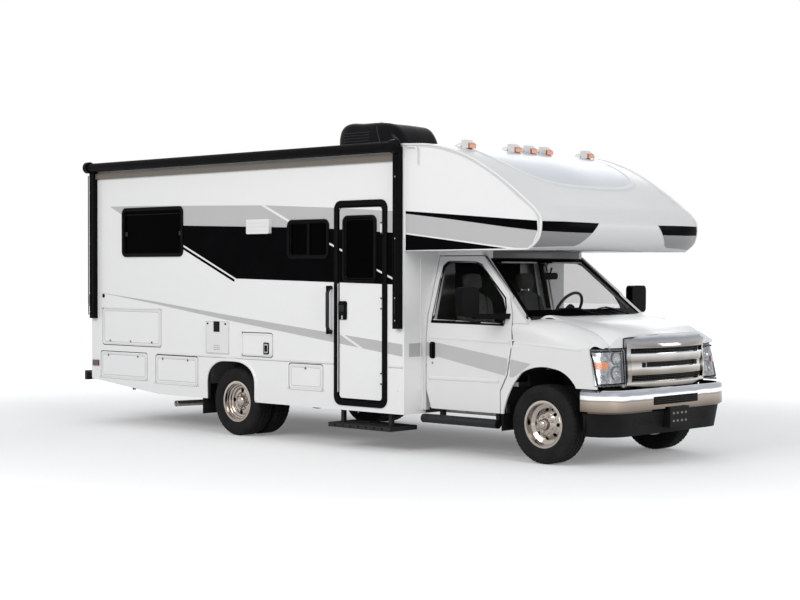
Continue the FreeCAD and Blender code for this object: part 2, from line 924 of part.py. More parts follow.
def build_chassis():
    front, rear = ahead(sizes.rail_front_x), ahead(sizes.rail_rear_x)
    low, high = sizes.rail_bottom_z, sizes.rail_bottom_z + sizes.rail_height
    inner, outer = sizes.rail_inner_y, sizes.rail_inner_y + sizes.rail_width
    house_front = ahead(sizes.house_front_x - sizes.wall_t)
    house_rear = ahead(sizes.house_rear_x + sizes.wall_t)
    pieces = []
    for name, side in SIDES:
        y0, y1 = outward(side, inner, outer)
        pieces.append(block("rail_" + name, rear, front, y0, y1, low, high))
        pieces.append(block("riser_" + name, house_rear, house_front, y0, y1, high, sizes.floor_bottom_z))
    width = sizes.cross_width
    places_share = (0.012, 0.3, 0.42, 0.58, 0.76)
    for share in places_share:
        x = front - (front - rear) * share - width
        pieces.append(block("cross_member", x, x + width, -inner, inner, high - width, high))
    engine_x = ahead(sizes.engine_rear_x + sizes.engine_length / 2)
    pieces.append(block("engine_bearer", engine_x, engine_x + width, -inner, inner, low, low + width / 2))
    rear_cross = rear + width
    pieces.append(block("rear_member", rear, rear_cross, -inner, inner, low, high))
    half = sizes.receiver_outer / 2
    middle = low + half
    tube_rear = rear - sizes.receiver_length / 2
    tube = block("receiver_tube", tube_rear, tube_rear + sizes.receiver_length, -half, half,
                 middle - half, middle + half)
    pieces.append(tube)
    bore = sizes.receiver_bore / 2
    over = sizes.overrun
    hollow = block("receiver_hollow", tube_rear - over, rear, -bore, bore, middle - bore, middle + bore)
    pin_x = tube_rear + sizes.hitch_pin_inset
    pin = rod("receiver_pin", "Y", sizes.hitch_pin_radius, (half + over) * 2, pin_x, -half - over, middle)
    body = fused("chassis_body", pieces)
    keep(cut("chassis", body, fused("receiver_cuts", [hollow, pin])), "chassis_frame")


def build_engine():
    rear = ahead(sizes.engine_rear_x)
    half = sizes.engine_half_width
    low = sizes.rail_bottom_z + sizes.cross_width / 2
    pieces = [block("engine", rear, rear + sizes.engine_length, -half, half, low, low + sizes.engine_height)]
    box = sizes.gearbox_half_width
    box_top = sizes.cab_floor_z - sizes.panel_gap
    box_low = box_top - sizes.gearbox_height
    shaft_z = sizes.tyre_radius + sizes.shaft_radius
    box_rear = rear - sizes.gearbox_length
    step = sizes.cross_width
    pieces.append(block("gearbox", box_rear, rear + step, -box, box, box_low, low + step))
    diff = ahead(-sizes.wheelbase) + sizes.differential_radius
    pieces.append(rod("drive_shaft", "X", sizes.shaft_radius, box_rear - diff, diff, 0.0, shaft_z))
    engine = fused("engine_body", pieces)
    room = block("tunnel", box_rear - step, rear, -box * 2, box * 2, box_top, low + sizes.engine_height)
    keep(cut("engine_and_gearbox", engine, room), "engine_block")


def pipe_run(points, radius):
    """Straight runs of tube with round joints."""
    shapes = []
    for start, end in zip(points, points[1:]):
        run = end - start
        shapes.append(Part.makeCylinder(radius, run.Length, start, run))
        shapes.append(Part.makeSphere(radius, end))
    return shapes[0].fuse(shapes[1:-1])


def build_exhaust():
    y = sizes.exhaust_y
    z = sizes.exhaust_z
    over = sizes.exhaust_over_axle_z
    axle = ahead(-sizes.wheelbase)
    reach = sizes.differential_radius * 1.4
    slope = reach * 1.9
    tip = Vector(ahead(sizes.exhaust_tip_x), sizes.exhaust_tip_y, sizes.exhaust_tip_z)
    points = [
        Vector(ahead(sizes.exhaust_front_x), y, z),
        Vector(axle + slope, y, z),
        Vector(axle + reach, y, over),
        Vector(axle - reach, y, over),
        Vector(axle - slope, y, z),
        Vector(tip.x + slope / 3, y, tip.z),
        tip,
    ]
    front = ahead(sizes.muffler_front_x)
    muffler = Part.makeCylinder(
        sizes.muffler_radius, sizes.muffler_length, Vector(front, y, z), Vector(-1, 0, 0))
    pipe = solid("exhaust_pipe_body", pipe_run(points, sizes.exhaust_radius).fuse(muffler))
    hanger = sizes.hinge_barrel_radius
    pieces = [pipe]
    for x in (front - sizes.muffler_length / 2, ahead(sizes.exhaust_hanger_x)):
        pieces.append(rod("exhaust_hanger", "Z", hanger, sizes.floor_bottom_z - tip.z,
                          x, y, sizes.exhaust_tip_z))
    keep(fused("exhaust_with_hangers", pieces), "exhaust_pipe")


def build_tanks():
    front = ahead(sizes.fuel_tank_front_x)
    top = sizes.rail_bottom_z + sizes.rail_height - sizes.cross_width
    half = sizes.rail_inner_y - sizes.panel_gap
    fuel = block("fuel_tank", front - sizes.fuel_tank_length, front, -half, half,
                 top - sizes.fuel_tank_height, top)
    front = ahead(sizes.waste_tank_front_x)
    low = sizes.floor_bottom_z - sizes.waste_tank_height
    waste = block("waste_tank", front - sizes.waste_tank_length, front,
                  sizes.waste_tank_inner_y, sizes.waste_tank_outer_y, low, sizes.floor_bottom_z)
    keep(fused("tank_pair", [fuel, waste]), "tanks")


# House

WINDOWS = {
    "rear": (sizes.rear_window_rear_x, sizes.rear_window_front_x,
             sizes.rear_window_bottom_z, sizes.rear_window_top_z),
    "mid": (sizes.mid_window_rear_x, sizes.mid_window_front_x,
            sizes.mid_window_bottom_z, sizes.mid_window_top_z),
}
ENTRY = (sizes.entry_rear_x, sizes.entry_front_x, sizes.entry_bottom_z, sizes.entry_top_z)
HATCHES = {
    "hatch_rear_upper": (-1, sizes.upper_hatch_rear_x, sizes.upper_hatch_front_x,
                         sizes.upper_hatch_bottom_z, sizes.upper_hatch_top_z),
    "hatch_rear_lower": (-1, sizes.rear_hatch_rear_x, sizes.rear_hatch_front_x,
                         sizes.rear_hatch_bottom_z, sizes.rear_hatch_top_z),
    "hatch_mid_lower": (-1, sizes.mid_hatch_rear_x, sizes.mid_hatch_front_x,
                        sizes.mid_hatch_bottom_z, sizes.mid_hatch_top_z),
    "hatch_side": (-1, sizes.side_hatch_rear_x, sizes.side_hatch_front_x,
                   sizes.side_hatch_bottom_z, sizes.side_hatch_top_z),
    "hatch_service": (-1, sizes.service_hatch_rear_x, sizes.service_hatch_front_x,
                      sizes.service_hatch_bottom_z, sizes.service_hatch_top_z),
    "hatch_left": (1, sizes.rear_hatch_rear_x, sizes.rear_hatch_front_x,
                   sizes.rear_hatch_bottom_z, sizes.rear_hatch_top_z),
}


def opening(box, rounding, margin=0.0):
    """A rounded opening in a side wall, larger all round by the margin."""
    x0, x1, z0, z1 = box
    return rectangle(ahead(x0 - margin), ahead(x1 + margin), z0 - margin, z1 + margin, rounding)


def wall_outline():
    """The edge of a side wall: the skirt rises behind the wheel, and the arch is cut out of it."""
    rear = ahead(sizes.house_rear_x + sizes.wall_t)
    front = ahead(sizes.house_front_x)
    top = sizes.roof_top_z - sizes.roof_t
    arch_rear, arch_front = ahead(sizes.arch_rear_x), ahead(sizes.arch_front_x)
    corner = sizes.arch_corner
    return [
        Corner(rear, sizes.skirt_rear_z),
        Corner(ahead(sizes.skirt_kick_x), sizes.skirt_z),
        Corner(arch_rear, sizes.skirt_z),
        Corner(arch_rear, sizes.arch_top_z, corner),
        Corner(arch_front, sizes.arch_top_z, corner),
        Corner(arch_front, sizes.skirt_z),
        Corner(front, sizes.skirt_z),
        Corner(front, top),
        Corner(rear, top),
    ]


def build_side_wall(name, side):
    loops = [wall_outline()]
    for box in WINDOWS.values():
        loops.append(opening(box, sizes.window_corner))
    if side < 0:
        loops.append(opening(ENTRY, sizes.entry_corner))
    for where, x0, x1, z0, z1 in HATCHES.values():
        if where == side:
            loops.append(opening((x0, x1, z0, z1), sizes.hatch_corner, sizes.panel_gap))
    y0, _ = outward(side, sizes.house_half_width - sizes.wall_t, sizes.house_half_width)
    wall = panel("wall_panel_" + name, "XZ", y0, sizes.wall_t, loops)
    low = Vector(0, y0, 0)
    cheek = Part.Face(closed_wire(cheek_edges(low))).extrude(Vector(0, sizes.wall_t, 0))
    keep(fused("wall_body_" + name, [wall, solid("cheek_" + name, cheek)]), "wall_" + name)


def build_rear_wall():
    half = sizes.house_half_width
    top = sizes.roof_top_z - sizes.roof_t
    low, high = sizes.skirt_rear_z, sizes.rail_bottom_z + sizes.rail_height
    notch = sizes.rail_inner_y + sizes.rail_width
    outline = corners([(-half, low), (-notch, low), (-notch, high), (notch, high), (notch, low),
                       (half, low), (half, top), (-half, top)])
    keep(panel("rear_panel", "YZ", ahead(sizes.house_rear_x), sizes.wall_t, [outline]), "wall_rear")


def build_roof():
    """A slab with a low crown and eaves that stand over the walls."""
    half = sizes.house_half_width
    low, high = sizes.roof_top_z - sizes.roof_t, sizes.roof_top_z
    crown = sizes.roof_crown
    radius = (half * half + crown * crown) / (crown * 2)
    outline = [
        Corner(-half, low),
        Corner(half, low),
        Corner(half, high - crown, arc=radius),
        Corner(-half, high - crown),
    ]
    rear, front = ahead(sizes.house_rear_x), ahead(sizes.house_front_x)
    keep(panel("roof_slab", "YZ", rear, front - rear, [outline]), "house_roof")


def build_floor():
    """The floor, with the stair well behind the entry door."""
    half = sizes.house_half_width - sizes.wall_t
    rear, front = ahead(sizes.house_rear_x + sizes.wall_t), ahead(sizes.house_front_x - sizes.wall_t)
    low, high = sizes.floor_bottom_z, sizes.floor_bottom_z + sizes.floor_t
    well_rear = ahead(sizes.entry_rear_x)
    well_front = ahead(sizes.entry_front_x)
    inner = -half + sizes.well_depth
    thin = sizes.liner_t
    slab = block("floor_slab", rear, front, -half, half, low, high)
    tub = block("well_tub", well_rear, well_front, -half, inner, sizes.well_floor_z, high)
    floor = fused("floor_body", [slab, tub])
    room = block("well_room", well_rear + thin, well_front - thin, -half - sizes.overrun, inner - thin,
                 sizes.well_floor_z + thin, high + sizes.overrun)
    keep(cut("floor_with_well", floor, room), "house_floor")


def build_liners():
    """Boxes behind the hatches, each open towards its hatch."""
    liners = []
    thin = sizes.liner_t
    wall = sizes.house_half_width - sizes.wall_t
    floor = sizes.floor_bottom_z
    for label, (side, x0, x1, z0, z1) in HATCHES.items():
        low = z0 - sizes.panel_gap - thin
        high = z1 + sizes.panel_gap + thin
        if z1 < floor:
            high = floor
        else:
            low = floor + sizes.floor_t
        rear, front = ahead(x0 - sizes.panel_gap), ahead(x1 + sizes.panel_gap)
        y0, y1 = outward(side, wall - sizes.liner_depth, wall)
        outer = block(label + "_box", rear - thin, front + thin, y0, y1, low, high)
        y2, y3 = (y0 - sizes.overrun, y1 - thin) if side < 0 else (y0 + thin, y1 + sizes.overrun)
        room = block(label + "_room", rear, front, y2, y3, low + thin, high - thin)
        liners.append(cut(label + "_liner", outer, room))
    keep(fused("liners", liners), "hatch_liners")


HATCH_HINGE_EDGES = {"hatch_rear_upper": "top", "hatch_service": "rear"}


def hatch_hinge(label):
    """Axis, start, end and foot of a hatch's hinge, along the edge that it turns on."""
    side, x0, x1, z0, z1 = HATCHES[label]
    y = (sizes.house_half_width + sizes.hinge_proud) * side
    edge = HATCH_HINGE_EDGES.get(label, "bottom")
    if edge == "rear":
        return "Z", z0, z1, (ahead(x0), y, z0)
    return "X", ahead(x0), ahead(x1), (ahead(x0), y, z1 if edge == "top" else z0)


def build_hatches():
    """Lids that turn on a full-length pin: the tube of the hinge is part of the lid."""
    for label, (side, x0, x1, z0, z1) in HATCHES.items():
        y0, _ = outward(side, sizes.house_half_width - sizes.wall_t, sizes.house_half_width)
        lid = panel(label + "_lid", "XZ", y0, sizes.wall_t, [opening((x0, x1, z0, z1), sizes.hatch_corner)])
        axis, start, end, (x, y, z) = hatch_hinge(label)
        inset = sizes.hatch_corner
        length = end - start
        bore_radius = sizes.hinge_pin_radius + sizes.running_gap
        bore = rod(label + "_bore", axis, bore_radius, length, x, y, z)
        if axis == "X":
            tube = rod(label + "_tube", axis, sizes.hinge_barrel_radius, length - inset * 2, x + inset, y, z)
        else:
            tube = rod(label + "_tube", axis, sizes.hinge_barrel_radius, length - inset * 2, x, y, z + inset)
        keep(cut(label + "_body", fused(label + "_leaf", [lid, tube]), bore), label)


def build_hinges():
    """Pins and lugs on the wall for the hatches and on the door frame for the entry door."""
    hinges = []
    lug, gap, pin = sizes.hinge_lug, sizes.panel_gap, sizes.hinge_pin_radius
    barrel_radius = sizes.hinge_barrel_radius
    for label, (side, *_) in HATCHES.items():
        axis, start, end, (x, y, z) = hatch_hinge(label)
        y0, y1 = outward(side, sizes.house_half_width, sizes.house_half_width + barrel_radius)
        pin_length = end - start + gap * 2 + lug
        if axis == "X":
            pieces = [rod(label + "_pin", axis, pin, pin_length, start - gap - lug / 2, y, z)]
            for low in (start - gap - lug, end + gap):
                pieces.append(block(label + "_lug", low, low + lug, y0, y1,
                                    z - barrel_radius, z + barrel_radius))
        else:
            pieces = [rod(label + "_pin", axis, pin, pin_length, x, y, start - gap - lug / 2)]
            for low in (start - gap - lug, end + gap):
                pieces.append(block(label + "_lug", x - barrel_radius, x + barrel_radius, y0, y1,
                                    low, low + lug))
        hinges.append(cut(label + "_hinge", fused(label + "_pin_lugs", pieces), hinge_wall_room(label, side)))
    for place_z in entry_hinge_places():
        x, y, length = entry_hinge_axis()
        pieces = [rod("entry_pin", "Z", pin, length + lug, x, y, place_z - lug / 2)]
        for low in (place_z - lug, place_z + length):
            face = -sizes.house_half_width - sizes.entry_frame_proud
            pieces.append(block("entry_lug", x - barrel_radius, x + lug * 2, y - barrel_radius, face,
                                low, low + lug))
        hinges.append(fused("entry_hinge", pieces))
    keep(fused("hinge_set", hinges), "hatch_hinges")


def hinge_wall_room(label, side):
    """The wall's own place round a hatch, which the pin's ends stay out of."""
    x0, x1, z0, z1 = HATCHES[label][1:]
    y0, _ = outward(side, sizes.house_half_width - sizes.wall_t, sizes.house_half_width)
    over = sizes.panel_gap + sizes.overrun * 2
    loops = [opening((x0, x1, z0, z1), sizes.hatch_corner, over),
             opening((x0, x1, z0, z1), sizes.hatch_corner, sizes.panel_gap)]
    return panel(label + "_wall_room", "XZ", y0, sizes.wall_t, loops)


def entry_hinge_axis():
    """Place in plan and length of the entry door's hinges, in front of its front edge."""
    x = ahead(sizes.entry_front_x - sizes.entry_frame_width - sizes.panel_gap)
    return x, -sizes.house_half_width - sizes.entry_hinge_proud, sizes.entry_hinge_length


def entry_hinge_places():
    low = sizes.entry_bottom_z
    rise = sizes.entry_top_z - sizes.entry_bottom_z
    return [low + rise * 0.12, low + rise * 0.48, low + rise * 0.84]


def build_windows():
    """Frames of the side windows and of the doorway, and the panes in the window frames."""
    frames = []
    panes = []
    width = sizes.window_frame_width
    proud = sizes.window_frame_proud
    for name, side in SIDES:
        y0, y1 = outward(side, sizes.house_half_width - sizes.wall_t, sizes.house_half_width + proud)
        for where, box in WINDOWS.items():
            inner = opening(box, sizes.window_corner - width * 0.8, -width)
            loops = [opening(box, sizes.window_corner), inner]
            frames.append(panel("window_frame_%s_%s" % (where, name), "XZ", y0, y1 - y0, loops))
            middle = (y0 + y1) / 2
            pane = opening(box, sizes.window_corner - width * 0.8, -width)
            panes.append(panel("pane_%s_%s" % (where, name), "XZ", middle, sizes.pane_t, [pane]))
    width = sizes.entry_frame_width
    y0 = -sizes.house_half_width - sizes.entry_frame_proud
    loops = [opening(ENTRY, sizes.entry_corner), opening(ENTRY, sizes.entry_corner - width * 0.8, -width)]
    frames.append(panel("entry_frame", "XZ", y0, sizes.wall_t + sizes.entry_frame_proud, loops))
    keep(fused("frames", frames), "window_frames")
    keep(fused("panes", panes), "window_panes")


def build_entry_door():
    y0 = -sizes.house_half_width
    margin = sizes.entry_frame_width + sizes.panel_gap
    window = (sizes.entry_window_rear_x, sizes.entry_window_front_x,
              sizes.entry_window_bottom_z, sizes.entry_window_top_z)
    corner = sizes.entry_corner - sizes.entry_frame_width * 0.8
    loops = [opening(ENTRY, corner, -margin), opening(window, sizes.window_corner / 2)]
    leaf = [panel("entry_leaf", "XZ", y0, sizes.wall_t, loops)]
    bores = []
    x, y, length = entry_hinge_axis()
    strap = sizes.hinge_barrel_radius * 2
    run = sizes.hinge_proud / 2
    for z in entry_hinge_places():
        tube, bore = barrel("entry_hinge", "Z", length - run * 2, x, y, z + run)
        leaf += [tube, block("entry_strap", x - strap, x, y, y0 + run, z + run, z + length - run)]
        bores.append(bore)
    keep(cut("entry_leaf_body", fused("entry_leaf_hinged", leaf), fused("entry_bores", bores)), "entry_door")
    pane = [opening(window, sizes.window_corner / 2)]
    keep(panel("entry_pane", "XZ", y0 + sizes.pane_t, sizes.pane_t, pane), "entry_window")


# Nose over the cab: its side curve as shares of its length and height, from the roof down
CAP_SHARES = ((0.0, 1.0), (0.24, 0.969), (0.479, 0.855), (0.71, 0.653), (0.903, 0.429), (0.981, 0.316),
              (1.0, 0.235), (0.982, 0.095), (0.912, 0.0))
CAP_STATION_SHARES = ((-1.0, 0.0), (-0.93, 0.3), (-0.6, 0.8), (0.0, 1.0), (0.6, 0.8), (0.93, 0.3), (1.0, 0.0))


def cap_side():
    """The outer and inner curves of the nose at its side edge."""
    rear, front = ahead(sizes.house_front_x), ahead(sizes.cap_front_x)
    rise = sizes.cap_top_z - sizes.cap_bottom_z
    outer = [Vector(rear + (front - rear) * s, 0, sizes.cap_bottom_z + rise * t) for s, t in CAP_SHARES]
    inner = []
    for i, point in enumerate(outer):
        before, after = outer[max(i - 1, 0)], outer[min(i + 1, len(outer) - 1)]
        run = (after - before).normalize()
        inner.append(point + Vector(-run.z, 0, run.x) * -sizes.cap_t)
    inner[0].x = outer[0].x
    inner[-1].z = outer[-1].z
    return outer, inner


def bulged(points, y, share):
    """The nose swells forward and upward towards the middle."""
    rear, front = ahead(sizes.house_front_x), ahead(sizes.cap_front_x)
    moved = []
    for point in points:
        along = (point.x - rear) / (front - rear)
        up = (point.z - sizes.cap_bottom_z) / (sizes.cap_top_z - sizes.cap_bottom_z)
        forward = sizes.cap_bulge * share * along * along
        moved.append(Vector(point.x + forward, y, point.z + sizes.cap_crown * share * up))
    return moved


def cheek_edges(low):
    """Outline of the flat side panel that fills the nose up to the inner curve of the cap."""
    _, inner = cap_side()
    points = [p + low for p in inner]
    corner = Vector(points[0].x, low.y, points[-1].z)
    return [curve(points), line(points[-1], corner), line(corner, points[0])]


def cap_loft():
    outer, inner = cap_side()
    wires = []
    for share, swell in CAP_STATION_SHARES:
        y = sizes.house_half_width * share
        wires.append(band(bulged(outer, y, swell), bulged(inner, y, swell)))
    return loft(wires)


def build_front_cap():
    keep(solid("cap_shell", cap_loft()), "front_cap")


def build_cab_surround():
    """Front wall of the house round the cab, and the bunk floor over the cab."""
    half = sizes.house_half_width - sizes.wall_t
    front = ahead(sizes.house_front_x)
    rear = front - sizes.wall_t
    top = sizes.cap_bottom_z
    passage = sizes.passage_half_width
    floor_top = sizes.floor_bottom_z + sizes.floor_t
    under = sizes.underpass_half_width
    rails = sizes.rail_bottom_z + sizes.rail_height
    wall = panel("front_wall", "YZ", rear, sizes.wall_t, [
        corners([(-half, sizes.skirt_z), (-under, sizes.skirt_z), (-under, rails), (under, rails),
                 (under, sizes.skirt_z), (half, sizes.skirt_z), (half, top + sizes.bunk_t),
                 (-half, top + sizes.bunk_t)]),
        rectangle(-passage, passage, floor_top, top),
    ])
    bunk = block("bunk_floor", front, ahead(sizes.bunk_front_x), -half, half, top, top + sizes.bunk_t)
    keep(fused("surround_body", [wall, bunk]), "cab_surround")


# Cab

DOOR_SHARES = ((0.061, 0.0), (0.878, 0.0), (0.876, 0.148), (0.953, 0.25), (1.0, 0.43), (0.995, 0.618),
               (0.914, 0.754), (0.52, 1.0), (0.0, 1.0), (0.0, 0.121))
DOOR_WINDOW_SHARES = ((0.0, 0.037), (0.974, 0.0), (1.0, 0.078), (0.981, 0.253), (0.931, 0.408),
                      (0.56, 0.927), (0.483, 0.978), (0.048, 1.0), (0.0, 0.928))


def door_outline(margin=0.0):
    return shared(DOOR_SHARES, ahead(sizes.door_rear_x - margin), ahead(sizes.door_front_x + margin),
                  sizes.cab_sill_z - margin, sizes.door_top_z + margin)


def door_window_outline():
    return shared(DOOR_WINDOW_SHARES, ahead(sizes.door_window_rear_x), ahead(sizes.door_window_front_x),
                  sizes.door_window_bottom_z, sizes.door_window_top_z)


def side_section(label, side, start, length, outset, depth):
    """The cab's side, upright below the crease and leaning in above it, as thick as depth."""
    outer = [
        (sizes.cab_half_width, sizes.cab_sill_z - sizes.overrun),
        (sizes.cab_half_width, sizes.crease_z),
        (sizes.belt_half_width, sizes.belt_z),
        (sizes.cab_top_half_width, sizes.door_top_z + sizes.overrun),
    ]
    points = [(y - outset, z) for y, z in outer]
    points += [(y - outset - depth, z) for y, z in reversed(outer)]
    loop = corners([(y * side, z) for y, z in (points if side < 0 else points[::-1])])
    return panel(label, "YZ", start, length, [loop])


def build_cab_door(name, side):
    rear = ahead(sizes.door_rear_x) - sizes.overrun
    length = ahead(sizes.door_front_x) - rear + sizes.overrun
    full = outward(side, sizes.cab_top_half_width - sizes.door_t * 2, sizes.cab_half_width + sizes.overrun)
    skin = side_section("door_side_" + name, side, rear, length, 0.0, sizes.door_t)
    shape = panel("door_shape_" + name, "XZ", full[0], full[1] - full[0],
                  [door_outline(), door_window_outline()])
    leaf = common("door_" + name, [skin, shape])
    x, y, z = cab_hinge_place(side)
    tube, bore = barrel("cab_hinge_" + name, "Z", sizes.cab_hinge_length - sizes.hinge_proud, x, y,
                        z + sizes.hinge_proud / 2)
    strap = sizes.hinge_barrel_radius * 3
    y0, y1 = outward(side, sizes.cab_half_width - sizes.fender_t, sizes.cab_half_width)
    plate = block("cab_strap_" + name, x - strap, x, y0, y1, z + sizes.hinge_proud / 2,
                  z + sizes.cab_hinge_length - sizes.hinge_proud / 2)
    hung = fused("door_and_tube_" + name, [leaf, tube, plate])
    keep(cut("door_with_hinge_" + name, hung, bore), "cab_door_" + name)
    inset = sizes.door_t * 0.35
    film = side_section("glass_side_" + name, side, rear, length, inset, sizes.pane_t)
    hole = panel("glass_shape_" + name, "XZ", full[0], full[1] - full[0], [door_window_outline()])
    keep(common("glass_" + name, [film, hole]), "door_glass_" + name)


def build_mirror(name, side):
    rear = ahead(sizes.mirror_rear_x)
    front = rear + sizes.mirror_depth
    y0, y1 = outward(side, sizes.mirror_inner_y, sizes.mirror_outer_y)
    outline = rectangle(y0, y1, sizes.mirror_bottom_z, sizes.mirror_top_z, sizes.mirror_round)
    head = panel("mirror_head_" + name, "YZ", rear, sizes.mirror_depth, [outline])
    low = sizes.mirror_bottom_z - sizes.mirror_arm * 0.4
    foot_front = ahead(sizes.mirror_foot_front_x)
    foot_rear = foot_front - sizes.mirror_foot_length
    root = sizes.belt_half_width - sizes.door_t / 4
    knee = sizes.cab_half_width
    tip = sizes.mirror_inner_y + sizes.mirror_arm
    points = [(foot_rear, root), (foot_front, root), (foot_front, knee), (front, tip),
              (front - sizes.mirror_arm, tip), (foot_rear, knee)]
    loop = corners([(x, y * side) for x, y in (points if side > 0 else points[::-1])])
    arm = panel("mirror_arm_" + name, "XY", low, sizes.mirror_arm, [loop])
    door = side_section("mirror_room_" + name, side, foot_rear - sizes.overrun,
                        sizes.mirror_foot_length + sizes.overrun * 2, 0.0, sizes.door_t)
    keep(cut("mirror_body_" + name, fused("mirror_head_arm_" + name, [head, arm]), door), "mirror_" + name)


def windshield_wires(margin, inset, depth):
    """Bottom and top sections of the curved windshield, wider by margin and set in by inset."""
    places = (
        (sizes.windshield_base_x, sizes.windshield_base_y, sizes.windshield_base_z,
         sizes.windshield_base_bow),
        (sizes.windshield_top_x, sizes.windshield_top_y, sizes.windshield_top_z, sizes.windshield_top_bow),
    )
    wires = []
    for x, y, z, bow in places:
        bent_share = ((-1.0, 0.0), (-0.6, 0.66), (0.0, 1.0), (0.6, 0.66), (1.0, 0.0))
        outer = [Vector(ahead(x) + bow * b - inset, (y + margin) * s, z) for s, b in bent_share]
        inner = [p - Vector(depth, 0, 0) for p in outer]
        wires.append(band(outer, inner))
    return wires


def build_windshield():
    keep(solid("windshield_pane", loft(windshield_wires(0.0, 0.0, sizes.windshield_t))), "windshield")


def build_cab_shell():
    rear = ahead(sizes.house_front_x)
    door_rear = ahead(sizes.door_rear_x) - sizes.panel_gap
    fire = ahead(sizes.firewall_x)
    cowl = ahead(sizes.cowl_front_x)
    thin = sizes.cab_wall_t
    inner = sizes.cab_half_width - sizes.door_t - sizes.panel_gap
    low, high = sizes.cab_floor_z, sizes.cab_floor_z + sizes.cab_floor_t
    roof_low = sizes.door_top_z + sizes.panel_gap
    wide = sizes.hood_half_width - sizes.panel_gap
    pieces = [
        block("cab_floor", rear, fire, -inner, inner, low, high),
        block("firewall", fire, fire + thin, -wide, wide, low, sizes.cowl_z),
        block("cowl", fire, cowl, -wide, wide, sizes.cowl_z - thin, sizes.cowl_z),
    ]
    half = sizes.cab_top_half_width
    roof_front = ahead(sizes.cab_roof_front_x)
    pieces.append(block("cab_roof", rear, roof_front, -half, half, roof_low, sizes.cap_bottom_z))
    for name, side in SIDES:
        y0, y1 = outward(side, inner - sizes.pillar_t, inner)
        pieces.append(block("rocker", rear, ahead(sizes.rocker_front_x), y0, y1, sizes.cab_sill_z, high))
        y0, y1 = outward(side, wide, sizes.windshield_base_y)
        pieces.append(block("cowl_side", fire, cowl + thin, y0, y1,
                            sizes.cowl_side_z - thin * 2, sizes.cowl_side_z))
        pieces.append(side_section("rear_pillar_" + name, side, rear, door_rear - rear,
                                   0.0, sizes.door_t))
        pieces.append(solid("front_pillar_" + name, front_pillar(side)))
        pieces.append(pillar_gusset("gusset_" + name, side))
    header = Part.Wire(header_edges())
    rise = sizes.cap_bottom_z - sizes.windshield_top_z
    pieces.append(solid("header", Part.Face(header).extrude(Vector(0, 0, rise))))
    for name, side in SIDES:
        pieces.append(hood_hinge_lugs(side))
    shell = fused("cab_pieces", pieces)
    rooms = [solid("windshield_seat", loft(windshield_wires(0.0, -sizes.overrun, sizes.pillar_t)))]
    for name, side in SIDES:
        rooms.append(door_room(name, side))
    keep(cut("cab_body", shell, fused("cab_rooms", rooms)), "cab_shell")


def door_room(name, side):
    """The space that a cab door needs in the shell round it."""
    start = ahead(sizes.door_rear_x) - sizes.overrun * 2
    length = ahead(sizes.door_front_x) - start + sizes.overrun * 2
    depth = sizes.door_t + sizes.panel_gap + sizes.overrun
    skin = side_section("room_side_" + name, side, start, length, -sizes.overrun, depth)
    half = sizes.cab_half_width + sizes.overrun
    y0, y1 = outward(side, sizes.cab_top_half_width / 2, half)
    shape = panel("room_shape_" + name, "XZ", y0, y1 - y0, [door_outline(sizes.panel_gap)])
    return common("door_room_" + name, [skin, shape])


def front_pillar(side):
    """The slanted post between the windshield and the door."""
    t = sizes.pillar_t
    wires = []
    drop = sizes.windshield_base_z - sizes.belt_z + t
    rise = sizes.windshield_top_z - sizes.windshield_base_z
    slope = (sizes.windshield_top_x - sizes.windshield_base_x) / rise
    lean = (sizes.windshield_top_y - sizes.windshield_base_y) / rise
    places = (
        (sizes.windshield_base_x - slope * drop, sizes.windshield_base_y - lean * drop,
         sizes.windshield_base_z - drop),
        (sizes.windshield_top_x, sizes.windshield_top_y, sizes.windshield_top_z),
    )
    for x, y, z in places:
        x = ahead(x)
        inner, outer = y - t * 0.35, y + t * 0.65
        points = [Vector(a, b * side, z) for a, b in (
            (x + t * 0.1, inner), (x, outer), (x - t, outer + t * 0.1), (x - t, inner))]
        wires.append(Part.makePolygon(points + points[:1]))
    return loft(wires, True)


def pillar_gusset(label, side):
    """The corner of sheet between the foot of the front pillar and the door's front edge."""
    gap = sizes.panel_gap
    rise = sizes.windshield_top_z - sizes.windshield_base_z
    slope = (sizes.windshield_top_x - sizes.windshield_base_x) / rise
    low, high = sizes.belt_z - sizes.pillar_t, sizes.belt_z + sizes.pillar_t * 4
    foot = sizes.windshield_base_x + (low - sizes.windshield_base_z) * slope
    head = sizes.windshield_base_x + (high - sizes.windshield_base_z) * slope
    edge = sizes.door_front_x
    outline = [(ahead(edge + gap), low), (ahead(foot), low), (ahead(head), high), (ahead(head - gap), high)]
    skin = side_section(label + "_skin", side, ahead(head - gap * 2), foot - head + gap * 4,
                        0.0, sizes.door_t)
    half = sizes.cab_half_width + sizes.overrun
    shape = panel(label + "_shape", "XZ", -half, half * 2, [corners(outline)])
    door = panel(label + "_door_room", "XZ", -half, half * 2, [door_outline(gap)])
    return cut(label, common(label + "_whole", [skin, shape]), door)


def header_edges():
    """Plan of the strip over the windshield, bent like the glass."""
    x = ahead(sizes.windshield_top_x)
    half = sizes.windshield_top_y + sizes.pillar_t * 0.65
    bent_share = ((-1.0, 0.0), (-0.6, 0.66), (0.0, 1.0), (0.6, 0.66), (1.0, 0.0))
    front = [Vector(x + sizes.windshield_top_bow * b, half * s, sizes.windshield_top_z)
             for s, b in bent_share]
    rear = ahead(sizes.cab_roof_front_x) - sizes.pillar_t
    ends = [Vector(rear, half, sizes.windshield_top_z), Vector(rear, -half, sizes.windshield_top_z)]
    return [curve(front), line(front[-1], ends[0]), line(ends[0], ends[1]), line(ends[1], front[0])]


